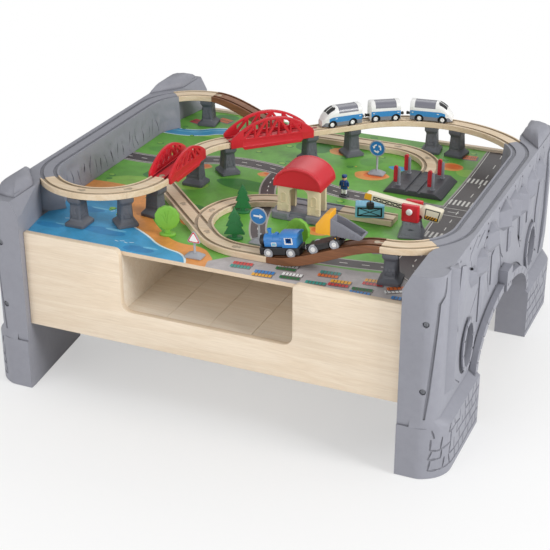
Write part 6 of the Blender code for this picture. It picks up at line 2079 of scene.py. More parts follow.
def build_container():
    """Crate with ribbed ends, a ribbed lid and a black frame with a cross on each long side."""
    low = LOWER_TOP + GAP
    high = low + CONTAINER_HEIGHT
    half_x, half_y = CONTAINER_HALF
    cutters = []
    for sign in (-1, 1):
        near, far = sorted((sign * (half_x - 0.0006), sign * 0.03))
        for i in range(END_RIBS):
            at = -0.0098 + 0.0049 * i
            cutters.append(box((near, at - 0.0010, low + 0.004), (far, at + 0.0010, high - 0.004)))
    for i in range(LID_RIBS):
        at = -0.0235 + 0.0047 * 10 / 7 * i
        cutters.append(box((at - 0.0013, -0.0108, high - 0.0006), (at + 0.0013, 0.0108, high + 0.002)))
    crate = soften(box((-half_x, -half_y, low), (half_x, half_y, high)), 0.0012, 3)
    parts = [(cut(crate, [join(cutters)]), "sky")]
    reach, inset = CONTAINER_FRAME
    corners = [(-reach, low + inset), (reach, low + inset), (reach, high - inset), (-reach, high - inset)]
    bars = [(corners[i], corners[(i + 1) % 4], 0.0015) for i in range(4)]
    bars += [(corners[0], corners[2], 0.0008), (corners[1], corners[3], 0.0008)]
    for sign in (-1, 1):
        face = sign * half_y
        thick = sorted((face - sign * 0.0005, face + sign * 0.0002))
        for start, end, half in bars:
            start, end = Vector(start), Vector(end)
            run = (end - start).normalized() * half
            parts.append((prism_y(ribbon([start - run, end + run], half), *thick), "black"))
    piece("crate", [(placed(mesh, CONTAINER_POSE), look) for mesh, look in parts], "table",
          ["container"])


# signs, trees and figure

STAND_LEVELS = ((0, 0.0166, 0.0116), (0.0004, 0.017, 0.012), (0.0028, 0.017, 0.012), (0.0036, 0.0158, 0.0111),
                (0.0070, 0.0094, 0.0069), (0.0080, 0.0084, 0.0063), (0.0084, 0.0074, 0.0054))
SIGN_RADIUS = 0.0175


def sign_stand(x, y, plate_centre):
    low = LOWER_LOW
    foot = loft([[(a, b, low + height) for a, b in chamfered(half_x, half_y, 0.002)]
                 for height, half_x, half_y in STAND_LEVELS])
    pole = revolve([(0, low + 0.006), (0.0030, low + 0.006), (0.0030, low + 0.0092), (0.0022, low + 0.0104),
                    (0.0020, plate_centre), (0, plate_centre)], 14)
    return shifted(union(foot, [pole]), x, y)


def round_sign(name, x, y, centre, marks):
    """Disc with a raised rim and a painted face; marks are (x, z) outlines on it."""
    rim = SIGN_RADIUS
    back = revolve([(0, -0.0008), (rim - 0.0005, -0.0008), (rim, -0.0013), (rim, -0.0029),
                    (rim - 0.0005, -0.0035), (rim - 0.0018, -0.0035), (rim - 0.0022, -0.0029),
                    (0, -0.0029)], 56, "Y")
    face = revolve([(0, -0.0026), (rim - 0.0023, -0.0026), (rim - 0.0023, -0.00302), (0, -0.00302)], 56, "Y")
    painted = [(back, "pale"), (face, "sign_blue")]
    painted += [(prism_y(mark, -0.0032, -0.0029), "white") for mark in marks]
    parts = [(sign_stand(x, y, centre), "pale")]
    parts += [(shifted(mesh, x, y, centre), look) for mesh, look in painted]
    piece(name + "_plate", parts, "table", [name])


def round_arrows():
    """Three arrows that chase each other round the middle of a disc."""
    arrows = []
    for turn in (90, 210, 330):
        begin = turn + 8
        end = turn + 70
        arrows.append(arc((0, 0), 0.0092, begin, end, 8) + arc((0, 0), 0.0062, end, begin, 8))
        tip = ((0.0112, end - 3), (0.0077, end + 30), (0.0042, end - 3))
        arrows.append([polar((0, 0), radius, angle) for radius, angle in tip])
    return arrows


def triangle(half, low, high, radius):
    """Upright triangle with round corners, as (x, z)."""
    return rounded([(-half, low, radius), (half, low, radius), (0, high, radius)], 6)


def build_signs():
    shaft = [(-0.0095, -0.0016), (0.0030, -0.0016), (0.0030, 0.0016), (-0.0095, 0.0016)]
    head = [(0.0026, -0.0046), (0.0098, 0.0), (0.0026, 0.0046)]
    round_sign("sign_arrow", 0.046, -0.249, 0.383, [shaft, head])
    round_sign("sign_back", 0.133, 0.163, 0.385, round_arrows())
    x, y, centre = -0.038, -0.350, 0.366
    plate = soften(prism_y(triangle(0.015, -0.010, 0.016, 0.003), -0.0035, -0.0008), 0.0004, 2, 40)
    border = prism_y(triangle(0.0128, -0.0087, 0.0136, 0.0024), -0.0037, -0.0030)
    field = prism_y(triangle(0.0098, -0.0070, 0.0100, 0.0018), -0.0039, -0.0030)
    parts = [(sign_stand(x, y, centre), "pale")]
    parts += [(shifted(mesh, x, y, centre), look)
              for mesh, look in ((plate, "pale"), (border, "print_red"), (field, "white"))]
    piece("sign_warning_plate", parts, "table", ["sign_warning"])


TREE_HALF_THICK = 0.004
TREE_FOOT = (0.016, 0.010)
TREE_FOOT_LEVELS = ((0, 0.97), (0.0006, 1.0), (0.0036, 1.0), (0.0046, 0.94), (0.005, 0.86))


def tree(name, x, y, crown, height, turn, look, veins):
    """Tree cut from a board, with rounded edges, carved lines and an oval foot."""
    low = LOWER_LOW
    thick = TREE_HALF_THICK
    stem = [(-0.005, 0), (0.005, 0), (0.004, height * 0.4), (-0.004, height * 0.4)]
    foot = loft([[(a * size, b * size, low + level) for a, b in ellipse((0, 0), TREE_FOOT, 0, 345, 23)]
                 for level, size in TREE_FOOT_LEVELS])
    trunk = soften(prism_y([(a, low + 0.002 + b) for a, b in stem], -thick * 0.75, thick * 0.75), 0.0005, 2)
    plate = soften(prism_y([(a, low + b) for a, b in crown], -thick, thick), 0.0011, 3, 50)
    lines = [tube([(a, side, low + b) for a, b in vein], 0.0006, 5, 0.5) for vein in veins
             for side in (-thick, thick)]
    plate = cut(plate, [join(lines)], crossing=True)
    parts = [(placed(union(foot, [trunk]), (x, y, turn)), look), (placed(plate, (x, y, turn)), look)]
    piece(name + "_shape", parts, "table", [name])


def wavy_crown(radius, height, waves):
    """Round crown whose rim is made of soft lobes."""
    middle = height - radius
    rim = []
    for i in range(120):
        angle = math.radians(i * 3)
        size = radius * (0.955 + 0.045 * abs(math.sin(waves * angle / 2)))
        rim.append((size * math.cos(angle), middle + size * math.sin(angle)))
    return rim


def fir_crown(half, height):
    """Fir outline with three tiers of branches."""
    tiers = ((0.16, 1.0, 0.55), (0.42, 0.82, 0.42), (0.66, 0.60, 0.0))
    right = []
    for share, wide, narrow in tiers:
        top = share + 0.25 if narrow else 1.0
        right += [(half * wide, height * share), (half * narrow, height * top)]
    left = [(-a, b) for a, b in reversed(right[:-1])]
    return right + left


def build_trees():
    for name, x, y, radius, height, turn, waves in (("tree_round", -0.128, -0.284, 0.024, 0.060, 15, 12),
                                                    ("bush", 0.116, -0.225, 0.024, 0.052, -10, 11)):
        middle = height - radius
        veins = []
        for angle in (30, 75, 105, 150):
            veins.append([(0, middle - radius * 0.55), polar((0, middle), radius * 0.35, angle),
                          polar((0, middle), radius * 0.72, angle)])
        tree(name, x, y, wavy_crown(radius, height, waves), height, turn, "leaf", veins)
    for name, x, y, half, height, turn in (("fir_small", -0.042, -0.130, 0.017, 0.060, 20),
                                           ("fir_tall", -0.004, -0.250, 0.020, 0.064, 20)):
        veins = []
        for share in (0.22, 0.48, 0.72):
            wide = half * (1.02 - share)
            base = height * share
            veins += [[(side * wide * 0.78, base + 0.001), (side * wide * 0.35, base + height * 0.07),
                       (side * 0.0008, base + height * 0.10)] for side in (-1, 1)]
        tree(name, x, y, fir_crown(half, height), height, turn, "green", veins)


FIGURE_PLACE = (0.112, 0.025)
FIGURE_SCALE = 1.1
LEG_X = 0.0029
HAND_X = 0.0080
# turned parts of the figure: (radius, height)
FIGURE_FOOT = ((0, 0), (0.0086, 0), (0.009, 0.0005), (0.009, 0.0024), (0.0084, 0.003), (0, 0.003))
FIGURE_HEAD = ((0, 0.0295), (0.0020, 0.0300), (0.0024, 0.0318), (0.0040, 0.0330), (0.0046, 0.0350),
               (0.0044, 0.0372), (0.0038, 0.0384), (0, 0.0390))
FIGURE_CAP = ((0, 0.0372), (0.0046, 0.0372), (0.0047, 0.0386), (0.0052, 0.0398), (0.0047, 0.0412),
              (0.0026, 0.0422), (0, 0.0425))
FIGURE_HAND = ((0, -0.0017), (0.0013, -0.0011), (0.0017, 0), (0.0013, 0.0011), (0, 0.0017))
FIGURE_BUTTON = ((0, -0.0003), (0.0005, -0.0003), (0.0005, 0.0002), (0, 0.0003))
JACKET_LEVELS = ((0.0140, 0.0060, 0.0035), (0.0150, 0.0062, 0.0036), (0.0230, 0.0056, 0.0034),
                 (0.0285, 0.0064, 0.0035), (0.0305, 0.0056, 0.0031), (0.0312, 0.0030, 0.0022))
PEAK_ANGLES = range(190, 351, 16)


def limb(side, half_x, front, back, low, high):
    """Block with round edges on one side of the figure."""
    x = side * LEG_X
    bare = box((x - half_x, front, LOWER_LOW + low), (x + half_x, back, LOWER_LOW + high))
    return soften(bare, 0.0007, 2)


def figure_turned(profile, steps):
    return revolve([(radius, LOWER_LOW + height) for radius, height in profile], steps)


def figure_arm(side):
    low = LOWER_LOW
    return tube([(side * 0.0060, 0, low + 0.0295), (side * 0.0078, 0, low + 0.0255),
                 (side * 0.0080, -0.0008, low + 0.0200)], 0.0018, 10, 0.9)


def figure_button(height):
    turn = Matrix.Rotation(math.radians(90), 4, "X")
    return moved(revolve(FIGURE_BUTTON, 8), Matrix.Translation((0, -0.0035, LOWER_LOW + height)) @ turn)


def build_figure():
    """Stationmaster with a peaked cap, jacket, pale trousers and a round foot."""
    low = LOWER_LOW
    sides = (-1, 1)
    jacket = loft([[(a, b, low + height) for a, b in rounded(
        [(-half, -deep, 0.0014), (half, -deep, 0.0014), (half, deep, 0.0014), (-half, deep, 0.0014)], 3)]
        for height, half, deep in JACKET_LEVELS])
    peak = prism([(0.0044 * math.cos(math.radians(angle)), -0.0012 + 0.0052 * math.sin(math.radians(angle)))
                  for angle in PEAK_ANGLES], low + 0.0374, low + 0.0380)
    belt = loft([[(a, b, low + height) for a, b in rectangle(0.0060, 0.0036, 0.001)]
                 for height in (0.0196, 0.0208)])
    hands = [shifted(revolve(FIGURE_HAND, 12), side * HAND_X, -0.0009, low + 0.0188) for side in sides]
    parts = [
        (figure_turned(FIGURE_FOOT, 28), "dark"),
        (join([limb(side, 0.0021, -0.0025, 0.0025, 0.0045, 0.017) for side in sides]), "white"),
        (join([limb(side, 0.0023, -0.0042, 0.0026, 0.0025, 0.0050) for side in sides]), "black"),
        (soften(jacket, 0.0003, 1), "navy"),
        (join([figure_arm(side) for side in sides]), "navy"),
        (join(hands), "skin"),
        (figure_turned(FIGURE_HEAD, 20), "skin"),
        (figure_turned(FIGURE_CAP, 24), "navy"),
        (peak, "black"),
        (belt, "black"),
        (join([figure_button(height) for height in (0.0225, 0.0250, 0.0275)]), "yellow"),
    ]
    place = Matrix.Translation((*FIGURE_PLACE, low)) @ Matrix.Scale(FIGURE_SCALE, 4)
    place = place @ Matrix.Translation((0, 0, -low))
    parts = [(moved(mesh, place), look) for mesh, look in parts]
    piece("stationmaster", parts, "table", ["figure"], 45)


# vehicles

WHEEL_RADIUS = 0.009
WHEEL_WIDTH = 0.0044
HUB_RADIUS = 0.0046
AXLE_RADIUS = 0.0016
WELL_CLEARANCE = 0.0012
EXPRESS_AXLES = ((-0.0785, -0.0315), (0.0255, 0.0695), (0.127, 0.177))
LOCO_AXLES = (0.097, 0.141)
WAGON_AXLES = (0.186, 0.226)
TUB_HINGE = (-0.030, 0.0215)
TUB_PIN = 0.0013
TUB_HALF_WIDTH = 0.0145
TUB_WALL = 0.003
WAGON_DECK = 0.0172


def vehicle_frame(front, rear):
    """Frame of a vehicle from its two groove contact points. X points forward."""
    forward = (front - rear).normalized()
    sideways = Vector((0, 0, 1)).cross(forward).normalized()
    upward = forward.cross(sideways)
    middle = (front + rear) / 2
    matrix = Matrix((forward, sideways, upward)).transposed().to_4x4()
    matrix.translation = middle
    return matrix


def wheel_parts(tyre):
    """Axle and two wheels with treads, recessed discs and white hubs, along Y."""
    parts = []
    inner = GROOVE_OFFSET - WHEEL_WIDTH / 2
    outer = GROOVE_OFFSET + WHEEL_WIDTH / 2
    rim = WHEEL_RADIUS
    disc = [(0, inner), (rim - 0.0006, inner), (rim, inner + 0.0006), (rim, outer - 0.0008),
            (rim - 0.0007, outer), (rim - 0.0020, outer), (rim - 0.0026, outer - 0.0009),
            (HUB_RADIUS, outer - 0.0012), (0, outer - 0.0012)]
    hub = [(0, outer - 0.0016), (HUB_RADIUS, outer - 0.0016), (HUB_RADIUS, outer - 0.0003),
           (0.0040, outer + 0.0001), (0.0018, outer + 0.0001), (0.0015, outer - 0.0004),
           (0, outer - 0.0004)]
    for sign in (-1, 1):
        for profile, steps, look in ((disc, 36, tyre), (hub, 28, "white")):
            parts.append((revolve([(radius, sign * depth) for radius, depth in profile], steps, "Y"), look))
    parts.append((cylinder((0, 0, 0), AXLE_RADIUS, -GROOVE_OFFSET, GROOVE_OFFSET, 12, "Y"), "silver"))
    return parts


def axle_cutter(x):
    """Room for an axle and its wheels in a vehicle body."""
    inner = GROOVE_OFFSET - WHEEL_WIDTH / 2 - WELL_CLEARANCE
    outer = TRACK_WIDTH
    well = WHEEL_RADIUS + WELL_CLEARANCE
    hole = AXLE_RADIUS + GAP
    profile = [(0, -outer), (well, -outer), (well, -inner), (hole, -inner), (hole, inner), (well, inner),
               (well, outer), (0, outer)]
    return shifted(revolve(profile, 32, "Y"), x, 0, WHEEL_RADIUS + GAP)


def add_wheels(name, frame_matrix, half_base, tyre):
    for end, x in zip(CAR_ENDS, (half_base, -half_base)):
        turned = frame_matrix.to_3x3().to_4x4()
        turned.translation = frame_matrix @ Vector((x, 0, WHEEL_RADIUS + GAP))
        parts = [(moved(mesh, turned), look) for mesh, look in wheel_parts(tyre)]
        node_name = f"{name}_wheels_{end}"
        piece(node_name + "_pair", parts, node_name, [node_name])


def add_vehicle(name, parts, frame_matrix, node_name):
    parts = [(moved(mesh, frame_matrix), look) for mesh, look in parts]
    piece(name, parts, "table", [node_name], 32)


COUPLING_HEIGHT = 0.0145


def coupling_parts(x, reach):
    """Magnet coupling with a rubber boot and a bright face."""
    sign = math.copysign(1, reach)
    end = x + reach
    centre = (0, 0, COUPLING_HEIGHT)
    boot = cylinder(centre, 0.0030, *sorted((x - sign * 0.003, end - sign * 0.0035)), 16, "X")
    collar = cylinder(centre, 0.0036, *sorted((end - sign * 0.0040, end - sign * 0.0008)), 20, "X", 0.0005)
    magnet = cylinder(centre, 0.0029, *sorted((end - sign * 0.0010, end)), 20, "X", 0.0003)
    return [(boot, "black"), (collar, "black"), (magnet, "white")]


CAR_SHAPES = ((0.091, -1), (0.066, 0), (0.091, 1))     # length, end that the nose is at
CAR_COUPLING = 0.0105
CAR_LOW = GROOVE_DEPTH + 0.003
CAR_SKIRT = 0.0150       # border between the skirt and the coloured band
CAR_BELT = 0.0268        # border between the band and the shell
CAR_HALF = 0.018
CAR_WAIST = 0.030
CAR_ROOF = 0.0465
PANEL_INSET = 0.0005     # depth of the panel in the roof
NOSE_LENGTH = 0.036
NOSE_STEPS = 18
# x, half width, waist and roof of the nose
NOSE_POINTS = ((-0.036, 0.018, 0.030, 0.0465), (-0.026, 0.018, 0.029, 0.0440),
               (-0.015, 0.0172, 0.026, 0.0370), (-0.006, 0.0145, 0.0195, 0.0270),
               (0.0, 0.0100, 0.0125, 0.0190))


def between(points, x):
    """Smooth value of each column of the points at x, which is the first column."""
    for i in range(len(points) - 1):
        if x <= points[i + 1][0]:
            break
    before = points[max(i - 1, 0)]
    start, end = points[i], points[i + 1]
    after = points[min(i + 2, len(points) - 1)]
    share = (x - start[0]) / (end[0] - start[0])
    values = []
    for a, b, c, d in zip(before[1:], start[1:], end[1:], after[1:]):
        curve = (2 * b + (c - a) * share + (2 * a - 5 * b + 4 * c - d) * share ** 2
                 + (3 * b - 3 * c + d - a) * share ** 3) / 2
        values.append(curve)
    return values


def car_borders(waist):
    """Heights of the belt and the skirt where the shell's side ends at a height."""
    belt = min(CAR_BELT, waist - 0.002)
    return belt, min(CAR_SKIRT, belt - 0.003)


def car_ring(x, half, waist, roof, inset):
    """Section of an express car: skirt, band, shell and rounded roof."""
    belt, skirt = car_borders(waist)
    right = [(half - 0.0012, CAR_LOW), (half - 0.0002, CAR_LOW + 0.0012)]
    for border in (skirt, belt):
        right += [(half, border - GAP), (half - 0.0004, border), (half, border + GAP)]
    right.append((half, waist))
    steps = 9
    for i in range(1, steps + 1):
        angle = math.radians(90 * i / steps)
        across = (half - inset) * max(math.cos(angle), 0) ** 0.62
        right.append((max(across, 0.0012), waist + (roof - inset - waist) * math.sin(angle) ** 0.86))
    return [(x, a, b) for a, b in right] + [(x, -a, b) for a, b in reversed(right)]


def flat_end(end, sign):
    """Rings of a flat end with broken edges: (x, half, waist, roof, inset), from the end inwards."""
    return [(end - sign * run, CAR_HALF - less, CAR_WAIST, CAR_ROOF - less, 0)
            for run, less in ((0, 0.0014), (0.0006, 0.0004), (0.002, 0))]


def express_car(length, nose):
    """Shell of a car, and a function that gives the look at a point of it."""
    end = length / 2
    plain = (CAR_HALF, CAR_WAIST, CAR_ROOF)
    window = (-end + 0.010, end - (NOSE_LENGTH if nose else 0.010))
    span = window[1] - window[0]
    stations = flat_end(-end, -1) + [(window[0], *plain, 0), (window[0] + 0.0002, *plain, PANEL_INSET)]
    stations += [(window[0] + span * i / 4, *plain, PANEL_INSET) for i in (1, 2, 3)]
    stations += [(window[1] - 0.0002, *plain, PANEL_INSET), (window[1], *plain, 0)]
    if nose:
        for i in range(1, NOSE_STEPS + 1):
            x = -NOSE_LENGTH + NOSE_LENGTH * i / NOSE_STEPS
            stations.append((end + x, *between(NOSE_POINTS, x), 0))
    else:
        stations += reversed(flat_end(end, 1))
    shell = loft([car_ring(*station) for station in stations])

    def look(point):
        x, y, z = point
        waist = between(NOSE_POINTS, min(x - end, 0))[1] if nose and x > end - NOSE_LENGTH else CAR_WAIST
        belt, skirt = car_borders(waist)
        if x < 0.0005 - end or (not nose and x > end - 0.0005):
            return "white"
        if z < skirt:
            return "grey"
        if z < belt:
            return "white" if x > end - 0.014 and nose else "band"
        if window[0] < x < window[1] and z > CAR_WAIST + 0.002:
            return "window"
        if nose and end - 0.029 < x < end - 0.0125 and 0.0013 < abs(y) < 0.0128 and z > belt + 0.0055:
            return "black"
        return "white"
    return shell, look


def build_express(start, radius):
    def contact(distance):
        bend = around(start, radius, -math.degrees(distance / radius))
        x, y, _ = along(start, distance) if distance < 0 else bend
        return Vector((x, y, UPPER_TOP - GROOVE_DEPTH))

    for name, (length, nose), (rear, front) in zip(CAR_NAMES, CAR_SHAPES, EXPRESS_AXLES):
        frame_matrix = vehicle_frame(contact(front), contact(rear))
        half_base = (contact(front) - contact(rear)).length / 2
        shell, zone = express_car(length, nose)
        shell = cut(shell, [axle_cutter(half_base), axle_cutter(-half_base)])
        turned = frame_matrix @ (Matrix.Rotation(math.pi, 4, "Z") if nose < 0 else Matrix.Identity(4))
        back = turned.inverted()
        parts = [(moved(shell, turned),
                  lambda face, back=back, zone=zone: zone(back @ face.calc_center_median()))]
        for sign in (-1,) if nose else (-1, 1):
            parts += [(moved(mesh, turned), look)
                      for mesh, look in coupling_parts(sign * length / 2, sign * CAR_COUPLING)]
        for sign in (-1, 1):
            for x in (-length / 2 + 0.006, length / 2 - (0.030 if nose else 0.006)):
                lamp = box((x - 0.0022, -0.0004, 0.0222), (x + 0.0022, 0.0004, 0.0236))
                parts.append((moved(lamp, turned @ Matrix.Translation((0, sign * 0.0179, 0))), "white"))
        piece(name + "_shell", parts, "table", [name], 34)
        add_wheels(name, frame_matrix, half_base, "black")


def freight_contact(x):
    low_end = ARC_X - RAMP_LENGTH
    height = LOWER_TOP if x < low_end else ramp_height(1 - (x - low_end) / RAMP_LENGTH)
    return Vector((x, -LOOP_Y - CURVE_RADIUS, height - GROOVE_DEPTH))


CHASSIS_HALF = 0.0165
CHASSIS_LOW = GROOVE_DEPTH + 0.0035


def side_frames(high, length):
    """Ledges and bolts along both sides of a chassis."""
    parts = []
    for sign in (-1, 1):
        ends = sorted((sign * 0.0160, sign * 0.0168))
        parts.append(box((-length + 0.004, ends[0], high - 0.0022), (length - 0.004, ends[1], high - 0.0010)))
        for i in range(7):
            x = -length + 0.006 + (2 * length - 0.012) * i / 6
            parts.append(cylinder((x, 0, high - 0.0034), 0.0005, *ends, 8, "Y"))
    return parts


def freight_frame(axles):
    """Frame of a freight vehicle, and half the distance between its axles."""
    front, rear = (freight_contact(x) for x in axles)
    return vehicle_frame(front, rear), (front - rear).length / 2


def chassis_block(back, front, high):
    return soften(box((back, -CHASSIS_HALF, CHASSIS_LOW), (front, CHASSIS_HALF, high)), 0.0008, 2)


LOCO_BACK = -0.040
LOCO_FRONT = 0.038
LOCO_PLATE = 0.020
BOILER_HEIGHT = 0.0315
BOILER_FRONT = 0.0297
SADDLE_HALF = 0.0110
LOCO_CAB_HALF = 0.0155
LOCO_CAB_X = -0.022
# turned parts of the engine: (radius, height)
SMOKEBOX_DOOR = ((0, 0.030), (0.0105, 0.030), (0.0105, 0.0376), (0.0101, 0.0384), (0.0090, 0.0388),
                 (0.0088, 0.0382), (0.0080, 0.0384), (0.0060, 0.0394), (0.0030, 0.0399), (0, 0.0400))
CHIMNEY = ((0, 0.038), (0.0042, 0.0405), (0.0032, 0.0425), (0.0030, 0.0460), (0.0036, 0.0485),
           (0.0045, 0.0500), (0.0045, 0.0516), (0.0041, 0.0520), (0.0031, 0.0520), (0.0029, 0.0490),
           (0, 0.0488))
DOME = ((0, 0.038), (0.0040, 0.0395), (0.0040, 0.0430), (0.0034, 0.0444), (0.0018, 0.0452), (0, 0.0454))


def loco_chassis(half_base):
    """Frames, buffers, smokebox door, lamp and couplings."""
    buffers = [box((0.0372, -0.0150, 0.010), (0.0386, 0.0150, 0.0185)),
               box((-0.0406, -0.0150, 0.010), (-0.0394, 0.0150, 0.0185))]
    chassis = chassis_block(LOCO_BACK, LOCO_FRONT, LOCO_PLATE)
    chassis = union(chassis, buffers + side_frames(LOCO_PLATE, LOCO_FRONT))
    chassis = cut(chassis, [axle_cutter(half_base), axle_cutter(-half_base)])
    hinges = [box((0.036, -0.0086, height - 0.0007), (0.0398, 0.0006, height + 0.0007))
              for height in (-0.0030, 0.0030)]
    smokebox = shifted(union(revolve(SMOKEBOX_DOOR, 36, "X"), hinges), 0, 0, 0.030)
    lamp = cylinder((0, 0, 0.0412), 0.0016, 0.0365, 0.0395, 14, "X", 0.0003)
    return [(chassis, "black"), (smokebox, "black"), (lamp, "silver"),
            *coupling_parts(LOCO_BACK, -0.008), *coupling_parts(LOCO_FRONT, 0.006)]


def side_plate(x, z, half_x, half_z, radius, *ends):
    """Rectangle with round corners on a side, between two depths."""
    return prism_y([(x + a, z + b) for a, b in rectangle(half_x, half_z, radius)], *sorted(ends))


def loco_trim(sign):
    """Window frame and number-plate field without a number, on one side."""
    face = sign * LOCO_CAB_HALF
    outer = side_plate(LOCO_CAB_X, 0.034, 0.0080, 0.0070, 0.001, face + sign * 0.0005, face - sign * 0.002)
    inner = side_plate(LOCO_CAB_X, 0.034, 0.0058, 0.0048, 0.0006, face + sign * 0.004, face - sign * 0.004)
    side = sign * SADDLE_HALF
    panel = side_plate(0.010, 0.0252, 0.0052, 0.0038, 0.0008, side + sign * 0.0004, side - sign * 0.001)
    pane = side_plate(0.010, 0.0252, 0.0038, 0.0024, 0.0005, side + sign * 0.0006, side - sign * 0.001)
    return [(cut(outer, [inner]), "white"), (panel, "white"), (pane, "sky")]


def build_loco():
    matrix, half_base = freight_frame(LOCO_AXLES)
    add_vehicle("loco_underframe", loco_chassis(half_base), matrix, "loco_chassis")
    add_wheels("loco", matrix, half_base, "silver")
    deck = LOCO_PLATE + GAP
    cab = shifted(prism(rectangle(0.015, LOCO_CAB_HALF, 0.002), deck, 0.043), LOCO_CAB_X)
    roof = ellipse((0, 0.042), (0.018, 0.006), 0, 180, 24) + [(-0.018, 0.0405), (0.018, 0.0405)]
    roof = soften(prism_x(roof, LOCO_BACK, -0.005), 0.0006, 2, 40)
    opening = soften(box((-0.0275, -0.030, 0.0295), (-0.0165, 0.030, 0.0385)), 0.001, 2)
    body = cut(union(soften(cab, 0.0006, 2), [roof]), [opening])
    boiler = cylinder((0, 0, BOILER_HEIGHT), 0.0105, -0.010, BOILER_FRONT, 36, "X")
    bands = [cylinder((0, 0, BOILER_HEIGHT), 0.0108, x, x + 0.0016, 36, "X", 0.0003)
             for x in (-0.003, 0.0115, 0.0260)]
    saddle = soften(box((-0.010, -SADDLE_HALF, deck), (BOILER_FRONT, SADDLE_HALF, 0.0300)), 0.0008, 2)
    parts = [(union(body, [union(boiler, bands), saddle]), "loco"),
             (shifted(revolve(CHIMNEY, 28), 0.020), "loco"), (shifted(revolve(DOME, 24), 0.006), "loco")]
    add_vehicle("loco_superstructure", parts + loco_trim(-1) + loco_trim(1), matrix, "loco_body")


# the tub in the frame of its hinge: (x, z, corner radius)
TUB_OUTLINE = ((-0.011, 0.0022, 0), (0.043, 0.0016, 0.003), (0.052, 0.0075, 0.002), (0.013, 0.0260, 0.003),
               (-0.011, 0.0340, 0))
TUB_END = ((-0.039, 0.0025, 0.002), (-0.011, 0.0022, 0), (-0.011, 0.0450, 0.0015), (-0.022, 0.0420, 0.003),
           (-0.039, 0.0190, 0.004))
TUB_HOLLOW = ((-0.008, 0.0055), (0.040, 0.0048), (0.060, 0.0180), (0.060, 0.0600), (-0.008, 0.0600))
TUB_RIBS = ((0.0, 0.026), (0.012, 0.0235), (0.024, 0.0185), (0.036, 0.0130))      # x, top


def wagon_chassis(half_base):
    """Frames, ears for the tub's pin, and couplings."""
    hinge_x, hinge_z = TUB_HINGE
    side = TUB_HALF_WIDTH + TUB_WALL / 2 + GAP
    ears = []
    for sign in (-1, 1):
        low, high = sorted((sign * (TUB_HALF_WIDTH + 2 * GAP), sign * (side + TUB_WALL / 2)))
        ear = box((hinge_x - 0.003, low, WAGON_DECK - 0.0005), (hinge_x + 0.003, high, hinge_z + 0.003))
        ears.append(soften(ear, 0.0008, 2))
    chassis = union(chassis_block(-0.034, 0.033, WAGON_DECK), ears + side_frames(WAGON_DECK, 0.032))
    pin_hole = cylinder((hinge_x, 0, hinge_z), TUB_PIN + GAP, -0.03, 0.03, 16, "Y")
    chassis = cut(chassis, [axle_cutter(half_base), axle_cutter(-half_base), pin_hole])
    return [(chassis, "black")] + coupling_parts(-0.034, -0.006) + coupling_parts(0.033, 0.007)


def tub_parts():
    """Tub with its end block, lug, pin and ribs, around its hinge."""
    half = TUB_HALF_WIDTH
    inside = half - TUB_WALL
    tub = cut(prism_y(rounded(TUB_OUTLINE, 5), -half, half), [prism_y(TUB_HOLLOW, -inside, inside)])
    end_block = soften(prism_y(rounded(TUB_END, 5), -half, half), 0.0006, 2, 34)
    lug = prism_y([(-0.004, 0.004), (-0.002, -TUB_PIN), (0.002, -TUB_PIN), (0.004, 0.004)], -0.010, 0.010)
    pin = cylinder((0, 0, 0), TUB_PIN, -half - TUB_WALL, half + TUB_WALL, 16, "Y")
    ribs = [box((x - 0.0010, side - 0.0005, 0.0045), (x + 0.0010, side + 0.0005, top))
            for x, top in TUB_RIBS for side in (-half, half)]
    return [(soften(tub, 0.0006, 2, 34), "tub"), (union(end_block, [lug, pin]), "yellow"),
            (join([soften(rib, 0.0003, 1) for rib in ribs]), "tub")]


def build_wagon():
    matrix, half_base = freight_frame(WAGON_AXLES)
    add_vehicle("wagon_underframe", wagon_chassis(half_base), matrix, "wagon_chassis")
    add_wheels("wagon", matrix, half_base, "silver")
    hinge = matrix @ Vector((TUB_HINGE[0], 0, TUB_HINGE[1]))
    parts = [(shifted(mesh, *hinge), look) for mesh, look in tub_parts()]
    piece("wagon_tub", parts, "tub", ["tipper_tub"], 32)


# stage

FLOOR_HALF = 9
FLOOR_HEIGHT = -0.001
FLOOR_FADE = (0.45, 1.15)    # distances from the middle between which the floor turns white
FLOOR_GLOW = (0.45, 1.0)     # share of white at those distances
LIGHT_AIM = (0, 0, 0.25)
WORLD_STRENGTH = 0.50
LIGHTS = (("key_light", (3.1, -0.7, 1.8), 1.2, 78), ("fill_light", (-1.1, -2.9, 0.9), 2.4, 36),
          ("back_light", (-0.3, 2.4, 2.4), 2.0, 18))      # name, place, size, watts


def build_camera():
    data = bpy.data.cameras.new("camera")
    data.lens = CAMERA_LENS
    data.sensor_width = CAMERA_SENSOR
    data.clip_end = CAMERA_REACH
    camera = in_scene("camera", data)
    forward = Vector(CAMERA_FORWARD).normalized()
    right = Vector(CAMERA_RIGHT).normalized()
    up = right.cross(forward)
    matrix = Matrix((right, up, -forward)).transposed().to_4x4()
    matrix.translation = CAMERA_PLACE
    camera.matrix_world = matrix
    bpy.context.scene.camera = camera


def white_for_camera(look, surface, background):
    """Shader that the camera, gloss and glass see as the background and everything else as the surface."""
    path = look.add("LightPath")
    seen = look.math("MAXIMUM", path.outputs["Is Camera Ray"], path.outputs["Is Glossy Ray"])
    seen = look.math("MAXIMUM", seen, path.outputs["Is Transmission Ray"])
    return look.add("MixShader", {0: seen, 1: surface, 2: background}).outputs["Shader"]


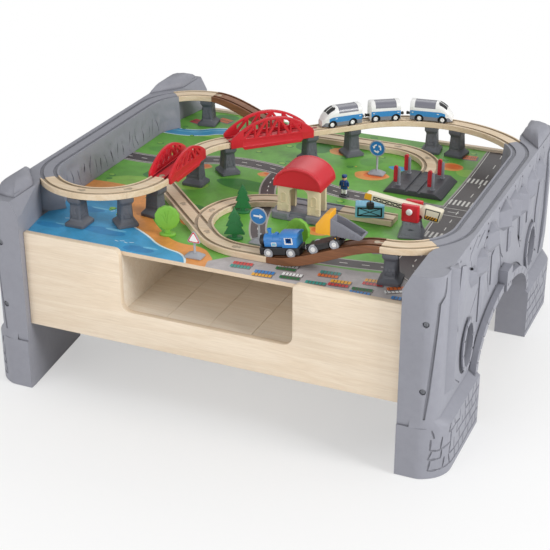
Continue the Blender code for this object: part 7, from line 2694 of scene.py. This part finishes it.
def build_floor():
    """Pale floor that fades to white away from the table."""
    mesh = bpy.data.meshes.new("floor")
    corners = [(x, y, FLOOR_HEIGHT) for x, y in rectangle(FLOOR_HALF, FLOOR_HALF)]
    mesh.from_pydata(corners, [], [(0, 1, 2, 3)])
    look = Look("floor", 0.9)
    place = look.place()
    grain = look.noise(place, 300, 2)
    look.finish(look.tint((0.86, 0.86, 0.86, 1), grain, 0.99, 1.01), [(grain, 0.0001)])
    glow = look.add("Emission", {"Color": (1, 1, 1, 1), "Strength": 1.0}).outputs["Emission"]
    distance = look.add("VectorMath", {0: place}, operation="LENGTH").outputs["Value"]
    plain = look.shader.outputs["BSDF"]
    share = look.ramp(distance, *FLOOR_FADE, *FLOOR_GLOW)
    faded = look.add("MixShader", {0: share, 1: plain, 2: glow}).outputs["Shader"]
    look.put(look.nodes["Material Output"].inputs["Surface"], white_for_camera(look, plain, faded))
    mesh.materials.append(look.material)
    floor = in_scene("floor", mesh)


def build_world(strength):
    world = bpy.data.worlds.new("studio")
    world.use_nodes = True
    bpy.context.scene.world = world
    nodes = world.node_tree.nodes
    links = world.node_tree.links
    nodes["Background"].inputs["Color"].default_value = (1, 1, 1, 1)
    nodes["Background"].inputs["Strength"].default_value = strength
    white = nodes.new("ShaderNodeBackground")
    white.inputs["Strength"].default_value = 1.0
    white.inputs["Color"].default_value = (1, 1, 1, 1)
    path = nodes.new("ShaderNodeLightPath")
    chooser = nodes.new("ShaderNodeMixShader")
    links.new(path.outputs["Is Camera Ray"], chooser.inputs[0])
    links.new(nodes["Background"].outputs[0], chooser.inputs[1])
    links.new(white.outputs[0], chooser.inputs[2])
    links.new(chooser.outputs[0], nodes["World Output"].inputs["Surface"])


def area_light(name, place, size, power):
    """Soft square light that points at the middle of the table."""
    data = bpy.data.lights.new(name, "AREA")
    data.size = size
    data.energy = power
    light = in_scene(name, data)
    light.location = place
    light.rotation_euler = (Vector(LIGHT_AIM) - Vector(place)).to_track_quat("-Z", "Y").to_euler()


def build_stage():
    bpy.context.scene.view_settings.view_transform = "Standard"
    build_camera()
    build_floor()
    build_world(WORLD_STRENGTH)
    for light in LIGHTS:
        area_light(*light)


def write_sizes():
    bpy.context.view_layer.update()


def main():
    dress_nodes()
    build_panels()
    build_walls()
    build_board()
    express_start, radius, front_pose, back_pose = build_upper_railway()
    crossing_pose, station_pose = build_lower_railway(front_pose, back_pose)
    build_crossing(crossing_pose)
    build_station_deck(station_pose)
    build_hall(station_pose[1])
    build_crane()
    build_container()
    build_signs()
    build_trees()
    build_figure()
    build_express(express_start, radius)
    build_loco()
    build_wagon()
    build_stage()
    write_sizes()


main()
